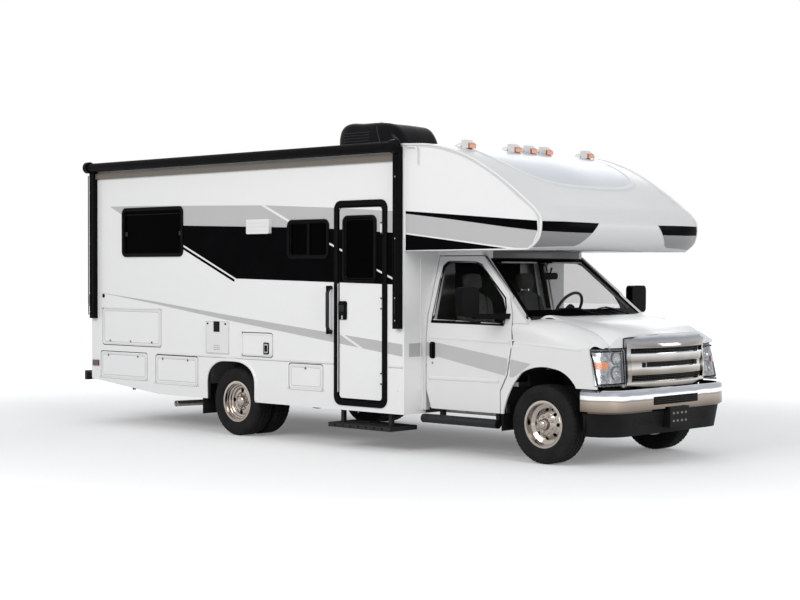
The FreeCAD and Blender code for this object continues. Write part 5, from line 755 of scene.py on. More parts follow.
def wall_film(name, side):
    """Grey and black film on one side wall."""
    piece = Piece("wall_film_" + name, "vehicle", "white_body")
    holes = [inset(REAR_WINDOW, 0.021), inset(MID_WINDOW, 0.021)]
    if side < 0:
        holes += [inset(DOORWAY, 0.027), inset(RANGE_VENT, 0.01)]
    stripes = (HIGH_STRIPE, LONG_STRIPE, END_STRIPE, SLASH)
    for material, forms, lift in layers((BORDER,), stripes, (0.0012, 0.0013, 0.0022)):
        for form in forms:
            kept = [form]
            for hole in holes:
                kept = without(kept, hole)
            for outline in kept:
                film(piece, material, outline, side, lift)
    for material, form in ((BLACK, NOSE_BLACK), (GREY, NOSE_GREY), (BLACK, NOSE_TIP)):
        film(piece, material, shifted(form), side, 0.0012)
    piece.done()


def door_film():
    """The same film where it crosses the entry door."""
    piece = Piece("entry_film", "entry_door", "white_body")
    leaf = inset(DOORWAY, 0.069)
    for material, forms, lift in layers((), (LONG_STRIPE, SLASH), (0.0010, 0.0011, 0.0018)):
        for form in forms:
            for axis, limit, keep_low in zip((0, 0, 1, 1), leaf, (False, True, False, True)):
                form = clip(form, axis, limit, keep_low)
            if len(form) < 3:
                continue
            for outline in without([form], inset(DOOR_WINDOW, 0.0)):
                film(piece, material, outline, -1, lift)
    piece.done()


def nose_film():
    """Black and grey film on the nose over the cab."""
    piece = Piece("nose_film", "vehicle", "white_body")
    trees = trees_of("front_cap")
    black = [(1.262, 2.236), (1.0, 2.236), (0.486, 2.231), (0.580, 2.138), (1.0, 2.140), (1.262, 2.146)]
    grey = [(1.262, 2.144), (1.0, 2.138), (0.583, 2.136), (0.640, 2.085), (0.700, 2.035), (0.758, 2.016),
            (1.0, 2.010), (1.262, 2.000)]
    for _, side in SIDES:
        drape(piece, BLACK, mirrored(black, side), trees, BACK, 0.004, 0.02)
        drape(piece, DEEP_GREY, mirrored(grey, side), trees, BACK, 0.004, 0.02)
    piece.done()


def nose_panel():
    """The sculpted panel of the nose, whose bluish grey film is painted sky reflection and painted shade,
    with a rolled edge round its front.
    """
    piece = Piece("nose_panel", "vehicle", "white_body")
    trees = trees_of("front_cap")
    half = [(2.085, 0.955), (2.25, 0.968), (2.42, 0.955), (2.56, 0.912), (2.670, 0.835), (2.742, 0.715),
            (2.790, 0.540), (2.818, 0.300), (2.828, 0.0)]
    front = [(x, -y) for x, y in half] + [(x, y) for x, y in reversed(half[:-1])]
    drape(piece, PANEL_SKY_REFLECTION_AND_SHADE, front, trees, DOWN, 0.004, 0.03)
    ridge(piece, CAP, front, 0.060, 0.009, trees, DOWN, 0.04)
    piece.done()


CAB_STRIPE = [(-1.430, 1.086), (-1.273, 1.082), (-0.366, 0.957), (-0.130, 0.922), (-0.300, 0.808),
              (-0.345, 0.788), (-0.439, 0.801), (-1.272, 0.946), (-1.430, 0.950)]


def cab_film(name, side):
    """The low grey stripe across the front wall of the house, the cab door and the fender."""
    run = (0, -side, 0)
    low = shifted(CAB_STRIPE)
    door = Piece("door_film_" + name, "cab_door_" + name, "white_body")
    drape(door, GREY, low, trees_of("cab_door_" + name), run, 0.0012, 0.06)
    door.done()
    fixed = Piece("fender_film_" + name, "vehicle", "white_body")
    drape(fixed, GREY, low, trees_of("fenders"), run, 0.0012, 0.03)
    wall = [(1.262, 0.945), (1.262, 1.072), (1.012, 1.080), (1.012, 0.945)]
    drape(fixed, GREY, mirrored(wall, side), trees_of("cab_surround"), BACK, 0.0012, 0.06)
    fixed.done()


# Seams and mouldings

ARCH_LIP = [(-4.438, 0.47), (-4.438, 0.56), (-4.425, 0.64), (-4.39, 0.705), (-4.33, 0.755), (-4.25, 0.792),
            (-4.15, 0.806), (-3.95, 0.806), (-3.85, 0.792), (-3.76, 0.755), (-3.70, 0.705), (-3.665, 0.64),
            (-3.654, 0.56), (-3.654, 0.40)]
CAP_EDGE = [(-1.488, 3.012), (-1.083, 2.981), (-0.679, 2.864), (-0.289, 2.656), (0.037, 2.426),
            (0.169, 2.310), (0.201, 2.226), (0.171, 2.080), (0.052, 1.984)]
SPOUT = [(-1.45, 1.27, 2.982), (-1.40, 1.29, 2.985), (-1.31, 1.300, 2.972), (-1.297, 1.303, 2.930),
         (-1.297, 1.303, 2.815)]


def body_mouldings():
    """Belt seam, corner and roof mouldings, the lips of the arches and the drain spouts."""
    piece = Piece("body_mouldings", "vehicle", "white_plastic")
    for name, side in SIDES:
        trees = trees_of("wall_" + name)
        runs = ((WALL_REAR, -2.46), (-1.70, WALL_FRONT)) if side < 0 else ((WALL_REAR, WALL_FRONT),)
        lines = []
        for a, b in runs:
            lines.append((MOULD, [(a, BELT_Z), (b, BELT_Z)], 0.022, 0.0045))
            lines.append((SEAM, [(a, BELT_SEAM_Z), (b, BELT_SEAM_Z)], 0.0035, 0.0006))
        lines.append((MOULD, [(-1.487, 0.40), (-1.487, 2.95)], 0.024, 0.006))
        lines.append((MOULD, [(-6.530, 0.52), (-6.530, 2.93)], 0.034, 0.006))
        for material, line, width, height in lines:
            ridge(piece, material, shifted(line), width, height, trees, (0, -side, 0), 0.4)
        arch_lip(piece, ARCH_LIP, side)
        edge = smooth_line([(at(x), side * 1.2715, z) for x, z in CAP_EDGE], 6)
        piece.tube(MOULD, edge, 0.011, 10)
        gutter = [(at(WALL_REAR), side * WALL_EDGE_Y, 3.004), (at(-1.49), side * WALL_EDGE_Y, 3.010)]
        piece.tube(MOULD, gutter, 0.013, 10)
        piece.tube(MOULD, smooth_line([(at(x), side * y, z) for x, y, z in SPOUT], 5), 0.009, 10)
    for y in (-WALL_EDGE_Y, WALL_EDGE_Y):
        piece.tube(MOULD, [(at(-6.548), y, 0.52), (at(-6.548), y, 2.95)], 0.012, 10)
    piece.tube(MOULD, [(at(-6.545), -1.26, 2.985), (at(-6.545), 1.26, 2.985)], 0.014, 10)
    piece.done()


def arch_lip(piece, line, side):
    """A flat moulding with a rounded edge, standing out from the wall along an arch."""
    section = ((-0.004, -0.002), (-0.004, 0.008), (0.002, 0.012), (0.020, 0.012), (0.028, 0.006),
               (0.030, -0.002))
    middle = Vector((at(-4.046), 0.0, 0.40))
    rows = []
    for place in smooth_line([(at(x), 0.0, z) for x, z in line], 4):
        out = (place - middle).normalized()
        spots = [(place + out * away, proud) for away, proud in section]
        rows.append([(spot.x, side * (WALL_Y + proud), spot.z) for spot, proud in spots])
    _, fresh = piece.sheet(WALL, rows)
    bmesh.ops.recalc_face_normals(piece.bm, faces=fresh)
    if fresh[0].normal.y * side < 0:
        face_out(fresh, Vector((0, -side, 0)))


DOOR_BELT = [(-1.376, 1.30), (-1.372, 1.70), (-1.362, 1.835), (-1.33, 1.868), (-1.29, 1.877), (-0.95, 1.868),
             (-0.875, 1.845), (-0.82, 1.795), (-0.50, 1.53), (-0.468, 1.44), (-0.459, 1.33), (-0.468, 1.285)]


def cab_creases(name, side):
    """Creases, window belt, handle and lock of a cab door, and the crease of the fender."""
    run = (0, -side, 0)
    body = "cab_door_" + name
    trees = trees_of(body)
    window = trees_of(body, "door_glass_" + name)
    piece = Piece("cab_door_trim_" + name, body, "white_body")
    for material, line, width, height, below, step in (
        (CAB, [(-1.405, 1.138), (-0.9, 1.127), (-0.385, 1.113)], 0.030, 0.0035, trees, 0.06),
        (CAB, [(-1.405, 0.738), (-0.9, 0.741), (-0.455, 0.744)], 0.040, 0.0045, trees, 0.06),
        (TRIM, [(-1.385, 1.291), (-0.9, 1.287), (-0.462, 1.282)], 0.030, 0.009, window, 0.06),
        (TRIM, DOOR_BELT, 0.016, 0.006, window, 0.03),
    ):
        ridge(piece, material, shifted(line), width, height, below, run, step)
    y = from_side(trees, at(-1.352), 1.01, side).y
    cup = rounded(at(-1.386), at(-1.318), 0.928, 1.092, 0.02)
    piece.prism(TRIM, cup, "XZ", y - side * 0.001, y + side * 0.006, 0.002)
    handle = rounded(at(-1.375), at(-1.342), 0.940, 1.080, 0.012)
    piece.prism(GLOSSY, handle, "XZ", y + side * 0.005, y + side * 0.026, 0.004)
    lock = from_side(trees, at(-1.355), 0.885, side)
    piece.lathe(CHROME, [(0.0, 0.0135), (0.003, 0.0125), (0.0035, 0.009), (0.0025, 0.0)], lock, "Y", side, 24)
    piece.done()
    front = Piece("fender_crease_" + name, "vehicle", "white_body")
    crease = shifted([(-0.345, 1.112), (0.0, 1.098), (0.30, 1.080), (0.44, 1.070)])
    ridge(front, CAB, crease, 0.030, 0.003, trees_of("fenders"), run, 0.04)
    front.done()


# Wheels

# Sections of the tyre, as (along, radius)
TREAD = [(-0.080, 0.368), (-0.058, 0.368), (-0.056, 0.359), (-0.049, 0.359), (-0.047, 0.368), (-0.010, 0.368),
         (-0.008, 0.359), (0.0, 0.359), (0.002, 0.368), (0.040, 0.368), (0.042, 0.359), (0.049, 0.359),
         (0.051, 0.368), (0.080, 0.368)]
SIDEWALL = [(0.096, 0.3585), (0.1035, 0.346), (0.1085, 0.330), (0.1112, 0.310), (0.1118, 0.297),
            (0.1098, 0.294), (0.1094, 0.268), (0.1065, 0.250), (0.1075, 0.248), (0.1055, 0.244),
            (0.0985, 0.232), (0.0945, 0.224), (0.0895, 0.219), (0.085, 0.206)]
BARREL = [(0.085, 0.2045), (-0.085, 0.2045)]
LUG_DEPTH = 0.0065
TREAD_SKEW = 0.2
WHEEL_COVER = [(0.196, 0.195), (0.194, 0.190), (0.174, 0.186), (0.169, 0.178), (0.167, 0.172), (0.152, 0.168),
               (0.146, 0.160), (0.144, 0.150), (0.150, 0.140), (0.152, 0.120), (0.151, 0.100), (0.142, 0.092),
               (0.136, 0.088), (0.136, 0.068), (0.144, 0.062), (0.174, 0.056), (0.184, 0.048), (0.189, 0.034),
               (0.190, 0.0)]


def tyre(piece, centre, side, steps=216):
    """A road tyre with grooves, lugs along the shoulders, and ribbed side walls."""
    half = [(-a, r) for a, r in reversed(SIDEWALL)]
    profile = half + TREAD + SIDEWALL + BARREL
    count = len(profile)
    first, last = len(half), len(half) + len(TREAD) - 1
    verts = []
    for i in range(steps):
        turn = math.tau * i / steps
        notch = LUG_DEPTH if i % 4 == 0 else 0.0
        for k, (along, radius) in enumerate(profile):
            if k in (first, first + 1, last, last - 1):
                radius -= notch
            if k in (first - 1, last + 1):
                radius -= notch * 0.8
            rib = first + 4 < k < last - 4 and radius > 0.36
            angle = turn + TREAD_SKEW * math.tau / steps if rib else turn
            spot = Vector((radius * math.cos(angle), along * side, radius * math.sin(angle)))
            verts.append(Vector(centre) + spot)
    faces = []
    for i in range(steps):
        j = (i + 1) % steps
        for k in range(count):
            m = (k + 1) % count
            faces.append((i * count + k, i * count + m, j * count + m, j * count + k))
    _, fresh = piece.add(RUBBER, verts, faces)
    bmesh.ops.recalc_face_normals(piece.bm, faces=fresh)


def around(centre, radius, turn):
    """A place on an upright circle about the centre, as (x, z)."""
    return centre[0] + radius * math.cos(turn), centre[2] + radius * math.sin(turn)


def wheel_trim(piece, name, centre, side, nut_sides):
    """Nuts, centre cap, trim rings and the valve of one wheel."""
    tree = trees_of(name)
    nut = [(-0.002, 0.0165), (0.004, 0.0165), (0.006, 0.0135), (0.016, 0.0125), (0.020, 0.009), (0.021, 0.0)]
    for i in range(8):
        face = from_side(tree, *around(centre, 0.083, math.tau * (i + 0.5) / 8), side)
        piece.lathe(STEEL, nut, face, "Y", side, nut_sides)
    for radius, width, height in ((0.196, 0.012, 0.003), (0.115, 0.008, 0.002)):
        ring = [around(centre, radius, math.tau * i / 96) for i in range(97)]
        ridge(piece, STEEL, ring, width, height, tree, (0, -side, 0), 0.05)
    hub = from_side(tree, centre[0] + 0.001, centre[2], side)
    cap = [(-0.004, 0.036), (0.006, 0.034), (0.012, 0.026), (0.014, 0.012), (0.0142, 0.0)]
    piece.lathe(STEEL, cap, hub, "Y", side, 40)
    seat = from_side(tree, *around(centre, 0.150, 1.2), side)
    valve = [(-0.002, 0.006), (0.012, 0.005), (0.014, 0.0035), (0.024, 0.0035), (0.025, 0.0)]
    piece.lathe(TRIM, valve, seat, "Y", side, 12)


def wheel_cover(piece, centre, side):
    """Stepped bright cover in the dish of a rear wheel, with black discs painted as the shade in its four
    holes, and the nuts.
    """
    piece.lathe(STEEL, WHEEL_COVER, centre, "Y", side, 96)
    # The four hand holes are flat black discs on the cover: painted shade where the holes open into the dark
    # wheel
    holes = [math.radians(85 + 90 * i) for i in range(4)]
    nuts = [math.tau * (i + 0.5) / 8 for i in range(8)]
    for material, turns, radius, out, profile, steps in (
        (TRIM, holes, 0.120, 0.1515, [(0.0, 0.024), (0.0014, 0.023), (0.0014, 0.0)], 24),
        (STEEL, nuts, 0.078, 0.135, [(0.0, 0.010), (0.014, 0.0095), (0.018, 0.006), (0.019, 0.0)], 12),
    ):
        for turn in turns:
            x, z = around(centre, radius, turn)
            piece.lathe(material, profile, (x, centre[1] + side * out, z), "Y", side, steps)


def wheels():
    backing = [(-0.020, 0.060), (-0.020, 0.162), (0.000, 0.165), (0.004, 0.160), (0.004, 0.060)]
    for name, side in SIDES:
        front = (at(0.0), FRONT_TRACK * side, AXLE_Z)
        rear = (at(REAR_AXLE), REAR_TRACK * side, AXLE_Z)
        piece = Piece("tyre_tread_front_" + name, "wheel_front_" + name, "tyre")
        tyre(piece, front, side)
        piece.done(28.0, replaces=["tyre_front_" + name])
        piece = Piece("wheel_trim_front_" + name, "wheel_front_" + name, "chrome")
        wheel_trim(piece, "rim_front_" + name, front, side, 18)
        piece.done()
        piece = Piece("wheel_backing_front_" + name, "knuckle_" + name, "knuckle_iron")
        piece.lathe(IRON, backing, (at(0.0), side * 0.838, AXLE_Z), "Y", side, 72, True)
        piece.done()
        piece = Piece("tyre_tread_rear_" + name, "wheels_rear_" + name, "tyre")
        for shift in (-TWIN_SHIFT, TWIN_SHIFT):
            tyre(piece, (rear[0], (REAR_TRACK + shift) * side, rear[2]), side, 192)
        piece.done(28.0, replaces=["tyres_rear_" + name])
        piece = Piece("wheel_trim_rear_" + name, "wheels_rear_" + name, "chrome")
        wheel_trim(piece, "rims_rear_" + name, rear, side, 6)
        wheel_cover(piece, rear, side)
        piece.done()


# Grille, lamps and bumper

# Low and high ends and half width of each slot
SLOTS = ((1.025, 1.080, 0.582), (0.899, 0.953, 0.453), (0.772, 0.834, 0.581))


def grille_slots():
    """Black mesh in the slots of the grille."""
    piece = Piece("grille_mesh", "vehicle", "black_plastic")
    trees = trees_of("grille")
    for low, high, half in SLOTS:
        places = [-half + 0.006 + (half - 0.006) * 2 * i / 24 for i in range(25)]
        rows = [[from_front(trees, y, z, 0.004) for y in places] for z in (low + 0.004, high - 0.004)]
        face_out(piece.sheet(TRIM, rows)[1], Vector(BACK))
        for share in (0.22, 0.5, 0.78):
            line = [from_front(trees, y, low + (high - low) * share, 0.008) for y in places]
            piece.tube(PLASTIC, line, 0.0035, 6)
        for i in range(1, 30):
            y = -half + half * 2 * i / 30
            bar = [from_front(trees, y, z, 0.007) for z in (low + 0.006, high - 0.006)]
            piece.tube(PLASTIC, bar, 0.003, 6)
    piece.done()


def lamp_point(trees, side, y, z, depth):
    """A place behind the lens of a headlamp."""
    hit = from_front(trees, y * side, z)
    if hit is None:
        hit = Vector((at(0.56), y * side, z))
    return hit - Vector((depth, 0, 0))


def headlamp_parts(name, side):
    """Reflector shell, bowls, amber block and bulb shields behind one clear lens."""
    piece = Piece("headlamp_parts_" + name, "vehicle", "lamp_clear")
    trees = trees_of("headlamps")

    def shell(material, heights, low_y, width, count, depth, facet):
        rows = [[lamp_point(trees, side, low_y + width * k / count, z, depth + facet * (k % 2))
                 for k in range(count + 1)] for z in heights]
        face_out(piece.sheet(material, rows)[1], Vector(BACK))

    heights = [0.757 + (1.062 - 0.757) * i / 12 for i in range(13)]
    shell(REFLECTOR, heights, 0.645, 0.985 - 0.645, 18, 0.016, 0.003)
    bulb = [(-0.024, 0.012), (-0.004, 0.014), (0.000, 0.012), (0.001, 0.0)]
    for y, z, radius in ((0.735, 0.995, 0.058), (0.740, 0.860, 0.066)):
        spot = lamp_point(trees, side, y, z, 0.013)
        bowl = [(0.006, radius), (0.002, radius * 0.97), (-0.012, radius * 0.7), (-0.022, radius * 0.35),
                (-0.024, 0.012)]
        piece.lathe(REFLECTOR, bowl, spot, "X", 1, 40)
        piece.lathe(CHROME, bulb, spot, "X", 1, 24)
    shell(AMBER, (0.902, 0.917, 0.932, 0.947, 0.962), 0.855, 0.118, 12, 0.0055, 0.0015)
    edge = [(0.650, 0.764), (0.650, 1.058), (0.975, 1.058), (0.975, 0.764), (0.650, 0.764)]
    rim = []
    for (y0, z0), (y1, z1) in zip(edge, edge[1:]):
        for share in (i / 12 for i in range(12)):
            rim.append(lamp_point(trees, side, y0 + (y1 - y0) * share, z0 + (z1 - z0) * share, 0.003))
    piece.tube(TRIM, rim + rim[:1], 0.0065, 6)
    piece.done(24.0)


def bumper_details():
    """Black insert of the bumper, the bars in its slot, the lower panel's slots and the plate's bolts."""
    piece = Piece("bumper_inserts", "vehicle", "black_plastic")
    trees = trees_of("front_bumper")
    insert = [(-0.364, 0.557), (0.364, 0.557), (0.364, 0.633), (-0.364, 0.633)]
    drape(piece, TRIM, insert, trees, BACK, 0.002, 0.05)
    for z in (0.578, 0.595, 0.612):
        piece.tube(PLASTIC, [from_front(trees, -0.36 + 0.72 * i / 16, z, 0.006) for i in range(17)], 0.003, 6)
    valance = trees_of("front_valance")
    for y0, y1 in ((-0.62, -0.30), (0.30, 0.62)):
        for z in (0.385, 0.410, 0.435):
            drape(piece, GLOSSY, rounded(y0, y1, z - 0.008, z + 0.008, 0.006), valance, BACK, 0.0015, 0.05)
    for y in (-0.100, -0.035, 0.035, 0.100):
        for z in (0.398, 0.470):
            mark = rounded(y - 0.016, y + 0.016, z - 0.010, z + 0.010, 0.004)
            drape(piece, SEAM, mark, valance, BACK, 0.0008, 0.05)
    piece.done()


# Fittings on the house

# Node, side, box and the places of the locks of each lid
HATCH_LOOKS = (
    ("hatch_rear_upper", -1, (-6.339, -5.253, 0.920, 1.345),
     ((-6.194, 0.965), (-5.809, 0.965), (-5.414, 0.965))),
    ("hatch_rear_lower", -1, (-6.375, -5.506, 0.530, 0.835), ((-6.230, 0.795), (-5.673, 0.795))),
    ("hatch_mid_lower", -1, (-5.343, -4.605, 0.510, 0.825), ((-5.215, 0.787), (-4.772, 0.787))),
    ("hatch_side", -1, (-3.122, -2.620, 0.560, 0.820), ((-2.872, 0.780),)),
    ("hatch_left", 1, (-6.375, -5.506, 0.530, 0.835), ((-6.230, 0.795), (-5.673, 0.795))),
)


def latch(piece, x, z, side, radius=0.016):
    """A round cam lock with a key slot."""
    y = side * WALL_Y
    body = [(0.0, radius), (0.004, radius), (0.006, radius * 0.85), (0.0062, radius * 0.62)]
    core = [(0.0062, radius * 0.62), (0.0045, radius * 0.6), (0.0045, 0.0)]
    piece.lathe(ALLOY, body, (x, y, z), "Y", side, 28)
    piece.lathe(TRIM, core, (x, y, z), "Y", side, 28)
    slot = sorted((y + side * 0.0045, y + side * 0.0055))
    piece.box(SEAM, (x - 0.0015, x + 0.0015), slot, (z - radius * 0.4, z + radius * 0.4))


def rim_line(piece, material, box, radius, steps, width, height, trees, side):
    """A low moulding round a box with round corners."""
    outline = rounded(*box, radius, steps)
    ridge(piece, material, outline + outline[:1], width, height, trees, (0, -side, 0), 0.3)


def hatch_fittings():
    """A raised rim round each lid, and its locks."""
    for node, side, box, locks in HATCH_LOOKS:
        piece = Piece(node + "_trim", node, "white_plastic")
        trees = trees_of(node)
        rim_line(piece, MOULD, inset(box, 0.016), 0.030, 6, 0.015, 0.004, trees, side)
        rim_line(piece, LINER, inset(box, 0.034), 0.024, 6, 0.0035, 0.0006, trees, side)
        for x, z in locks:
            latch(piece, at(x), z, side)
        piece.done()
    piece = Piece("hatch_service_trim", "hatch_service", "white_plastic")
    rim_line(piece, MOULD, inset(SERVICE_HATCH, 0.016), 0.012, 4, 0.013, 0.004, trees_of("hatch_service"), -1)
    x, z = at(-3.475), 0.965
    for material, half, below, above, radius, out, back, bevel in (
        (TRIM, 0.042, 0.065, 0.060, 0.014, -1.277, -1.2695, 0.002),
        (ALLOY, 0.030, 0.052, 0.046, 0.010, -1.279, -1.2765, 0.001),
        (GLOSSY, 0.020, 0.036, 0.030, 0.008, -1.283, -1.2785, 0.0015),
    ):
        plate = rounded(x - half, x + half, z - below, z + above, radius)
        piece.prism(material, plate, "XZ", out, back, bevel)
    piece.done()


def wall_fittings():
    """Small vents, outlets, cover plates and marks on the right wall."""
    piece = Piece("wall_fittings", "vehicle", "white_plastic")
    run = (0, 1, 0)
    vents = trees_of("wall_right", "vent_covers")
    x0, x1, z0, z1 = inset(HEATER_COVER, 0.006)
    ridge(piece, LINER, [(x0, z0), (x1, z0), (x1, z1), (x0, z1), (x0, z0)], 0.004, 0.0007, vents, run, 0.3)
    x = at(-4.268)
    face = from_side(vents, x, 1.18, -1).y
    mouth = rounded(x - 0.048, x + 0.048, 1.118, 1.232, 0.008)
    piece.prism(TRIM, mouth, "XZ", face - 0.006, face + 0.001, 0.002)
    tilt = Matrix.Rotation(math.radians(28), 3, "X")
    for z in (1.135, 1.152, 1.169, 1.186, 1.203, 1.218):
        blade = ((x - 0.040, x + 0.040), (face - 0.010, face - 0.004), (z - 0.005, z + 0.003))
        piece.box(PLASTIC, *blade, 0.001, 1, tilt)
    for bolt in (-4.416, -4.122):
        head = [(0.0, 0.011), (0.005, 0.011), (0.007, 0.007), (0.0072, 0.0)]
        piece.lathe(TRIM, head, (at(bolt), face, 1.206), "Y", -1, 20)
    for i in range(4):
        for k in range(3):
            a, b = x - 0.040 + 0.027 * i, 0.925 + 0.022 * k
            mark = rounded(a - 0.010, a + 0.010, b - 0.004, b + 0.004, 0.003, 3)
            drape(piece, LINER, mark, vents, run, 0.0007)
    outlet = [(0.0, 0.024), (0.003, 0.024), (0.007, 0.019), (0.0075, 0.0)]
    piece.lathe(TRIM, outlet, (at(-6.325), -WALL_Y, 1.487), "Y", -1, 28)
    face = from_side(vents, at(-3.57), 2.25, -1).y
    x0, x1, z0, z1 = inset(RANGE_VENT, 0.012)
    for i in range(3):
        z = z0 + (z1 - z0) * (i + 0.8) / 3.4
        slat = ((x0 + 0.01, x1 - 0.01), (face - 0.006, face + 0.001), (z - 0.004, z + 0.004))
        piece.box(MOULD, *slat, 0.0018, 2)
    for x in (x0 + 0.004, x1 - 0.004):
        for z in (z0 + 0.004, z1 - 0.004):
            piece.lathe(MOULD, [(0.0, 0.006), (0.002, 0.005), (0.0024, 0.0)], (x, face, z), "Y", -1, 14)
    for x in (-1.560, -6.440):
        plug = [(0.0, 0.014), (0.002, 0.014), (0.004, 0.010), (0.0042, 0.0)]
        piece.lathe(MOULD, plug, (at(x), -WALL_Y, 0.62), "Y", -1, 20)
    pipe = ((-5.935, -1.16, 0.52), (-5.935, -1.17, 0.450), (-5.90, -1.18, 0.433), (-5.65, -1.185, 0.422),
            (-5.43, -1.185, 0.410))
    piece.tube(PIPE, smooth_line([(at(x), y, z) for x, y, z in pipe], 6), 0.014, 12)
    for x in (-5.86, -5.50):
        piece.box(FRAME_BLACK, (at(x) - 0.012, at(x) + 0.012), (-1.195, -1.165), (0.40, 0.56), 0.003)
    piece.done()


def window_details():
    """Sliders, catches and inner tracks of the house windows."""
    piece = Piece("window_details", "vehicle", "black_trim")
    for _, side in SIDES:
        for box, slider in ((REAR_WINDOW, False), (MID_WINDOW, True)):
            x0, x1, z0, z1 = inset(box, 0.036)
            piece.wire(TRIM, rounded(x0, x1, z0, z1, 0.040, 6), "XZ", side * 1.264, 0.006)
            if slider:
                x = (x0 + x1) / 2
                post = rounded(x - 0.020, x + 0.012, z0 - 0.006, z1 + 0.006, 0.003)
                piece.prism(TRIM, post, "XZ", *sorted((side * 1.253, side * 1.268)), 0.002)
                pane = rounded(x0 + 0.004, x + 0.004, z0 + 0.004, z1 - 0.004, 0.030, 5)
                piece.wire(TRIM, pane, "XZ", side * 1.262, 0.007)
            else:
                z = (z0 + z1) / 2 - 0.02
                for x in (x0 + 0.030, x1 - 0.030):
                    catch = rounded(x - 0.022, x + 0.022, z - 0.024, z + 0.024, 0.006)
                    piece.prism(PLASTIC, catch, "XZ", *sorted((side * 1.258, side * 1.264)), 0.002)
                piece.tube(TRIM, [(x0, side * 1.261, z1 - 0.045), (x1, side * 1.261, z1 - 0.045)], 0.007, 8)
            piece.wire(TRIM, rounded(*inset(box, 0.010), 0.062, 8), "XZ", side * 1.280, 0.006)
    piece.done()


def entry_fittings():
    """Window frame, latch box and weather strip of the entry door, and the edges of its frame."""
    piece = Piece("entry_door_trim", "entry_door", "black_trim")
    piece.wire(TRIM, rounded(*inset(DOOR_WINDOW, -0.014), 0.052, 8), "XZ", -1.273, 0.0165, 10)
    piece.wire(TRIM, rounded(*inset(DOOR_WINDOW, 0.012), 0.034, 6), "XZ", -1.266, 0.008)
    x, z = at(-2.330), 1.386
    for material, box, radius, out, back, bevel in (
        (TRIM, (x - 0.050, x + 0.062, z - 0.094, z + 0.094), 0.020, -1.285, -1.269, 0.004),
        (GLOSSY, (x - 0.034, x + 0.046, z - 0.040, z + 0.076), 0.014, -1.291, -1.284, 0.003),
        (PLASTIC, (x - 0.026, x + 0.038, z - 0.010, z + 0.052), 0.010, -1.296, -1.290, 0.002),
    ):
        piece.prism(material, rounded(*box, radius), "XZ", out, back, bevel)
    lock = [(0.0, 0.011), (0.003, 0.010), (0.0032, 0.0)]
    for z in (1.326, 1.306):
        piece.lathe(CHROME, lock, (x + 0.006, -1.285, z), "Y", -1, 20)
    piece.wire(TRIM, rounded(*inset(DOORWAY, 0.070), 0.040, 6), "XZ", -WALL_Y, 0.0045)
    piece.done()
    frame_edges = Piece("entry_frame_trim", "vehicle", "black_trim")
    for by, radius in ((0.010, 0.082), (0.050, 0.050)):
        frame_edges.wire(TRIM, rounded(*inset(DOORWAY, by), radius, 8), "XZ", -1.2795, 0.004)
    frame_edges.done()


# Glass, cowl and mirrors of the cab

# Foot and top of the glass at its middle: x, half width, z and bow
GLASS_BASE = (-0.240, 0.905, 1.352, 0.095)
GLASS_TOP = (-0.855, 0.715, 1.905, 0.060)
INTO_GLASS = Vector((-0.669, 0.0, -0.744))


def glass_point(across, up, proud=0.0):
    """A place on the windshield, from -1 to 1 across and 0 to 1 up."""
    bend = 1.0 - across * across * 0.94 - abs(across) ** 6 * 0.06
    foot, top = (Vector((at(x) + bow * bend, y * across, z)) for x, y, z, bow in (GLASS_BASE, GLASS_TOP))
    return foot.lerp(top, up) - INTO_GLASS * proud


def on_glass(trees, across, up, proud):
    """The same place, set on the real glass along its normal."""
    hit = cast(trees, glass_point(across, up, 0.3), INTO_GLASS)
    return (hit if hit is not None else glass_point(across, up)) - INTO_GLASS * proud


def glass_border(piece, trees):
    """Black bands along the foot, the top and both sides of the glass, and its rubber."""
    for low, high, steps, side in ((0.004, 0.115, 40, 0), (0.925, 0.996, 40, 0), (0.945, 0.995, 24, 1.0),
                                   (0.945, 0.995, 24, -1.0)):
        levels = [low + (high - low) * part for part in (0.0, 0.5, 1.0)]
        rows = []
        for i in range(steps + 1):
            if side:
                places = [(side * level, 0.004 + 0.992 * i / steps) for level in levels]
            else:
                places = [(-0.995 + 1.99 * i / steps, level) for level in levels]
            rows.append([on_glass(trees, *place, 0.0012) for place in places])
        face_out(piece.sheet(BLACK, rows)[1], Vector((-1, 0, -1)))
    places = [(-0.992 + 1.984 * i / 30, 0.004) for i in range(31)]
    places += [(0.992, 0.02 + 0.96 * i / 14) for i in range(15)]
    places += [(0.992 - 1.984 * i / 30, 0.994) for i in range(31)]
    places += [(-0.992, 0.98 - 0.96 * i / 14) for i in range(15)]
    edge = [on_glass(trees, *place, 0.001) for place in places]
    piece.tube(TRIM, edge + edge[:1], 0.009, 8, False)


def cowl(piece):
    """The cowl at the foot of the glass, with three groups of ribs."""
    steps = ((0.004, 0, 0.006), (0.030, 0, 0.001), (0.052, 0, -0.014), (0.060, 0, -0.032))
    feet = [glass_point(-0.97 + 1.94 * i / 32, 0.0) for i in range(33)]
    rows = [[foot + Vector(step) for step in steps] for foot in feet]
    face_out(piece.sheet(PLASTIC, rows)[1], Vector((-0.3, 0, -1)))
    for group in (0.62, 0.10, -0.42):
        for i in range(9):
            foot = glass_point(group + 0.03 * i - 0.10, 0.0) + Vector((0.030, 0.0, 0.003))
            x, y, z = foot
            piece.box(TRIM, (x - 0.013, x + 0.013), (y - 0.004, y + 0.004), (z - 0.001, z + 0.004), 0.0012, 1)


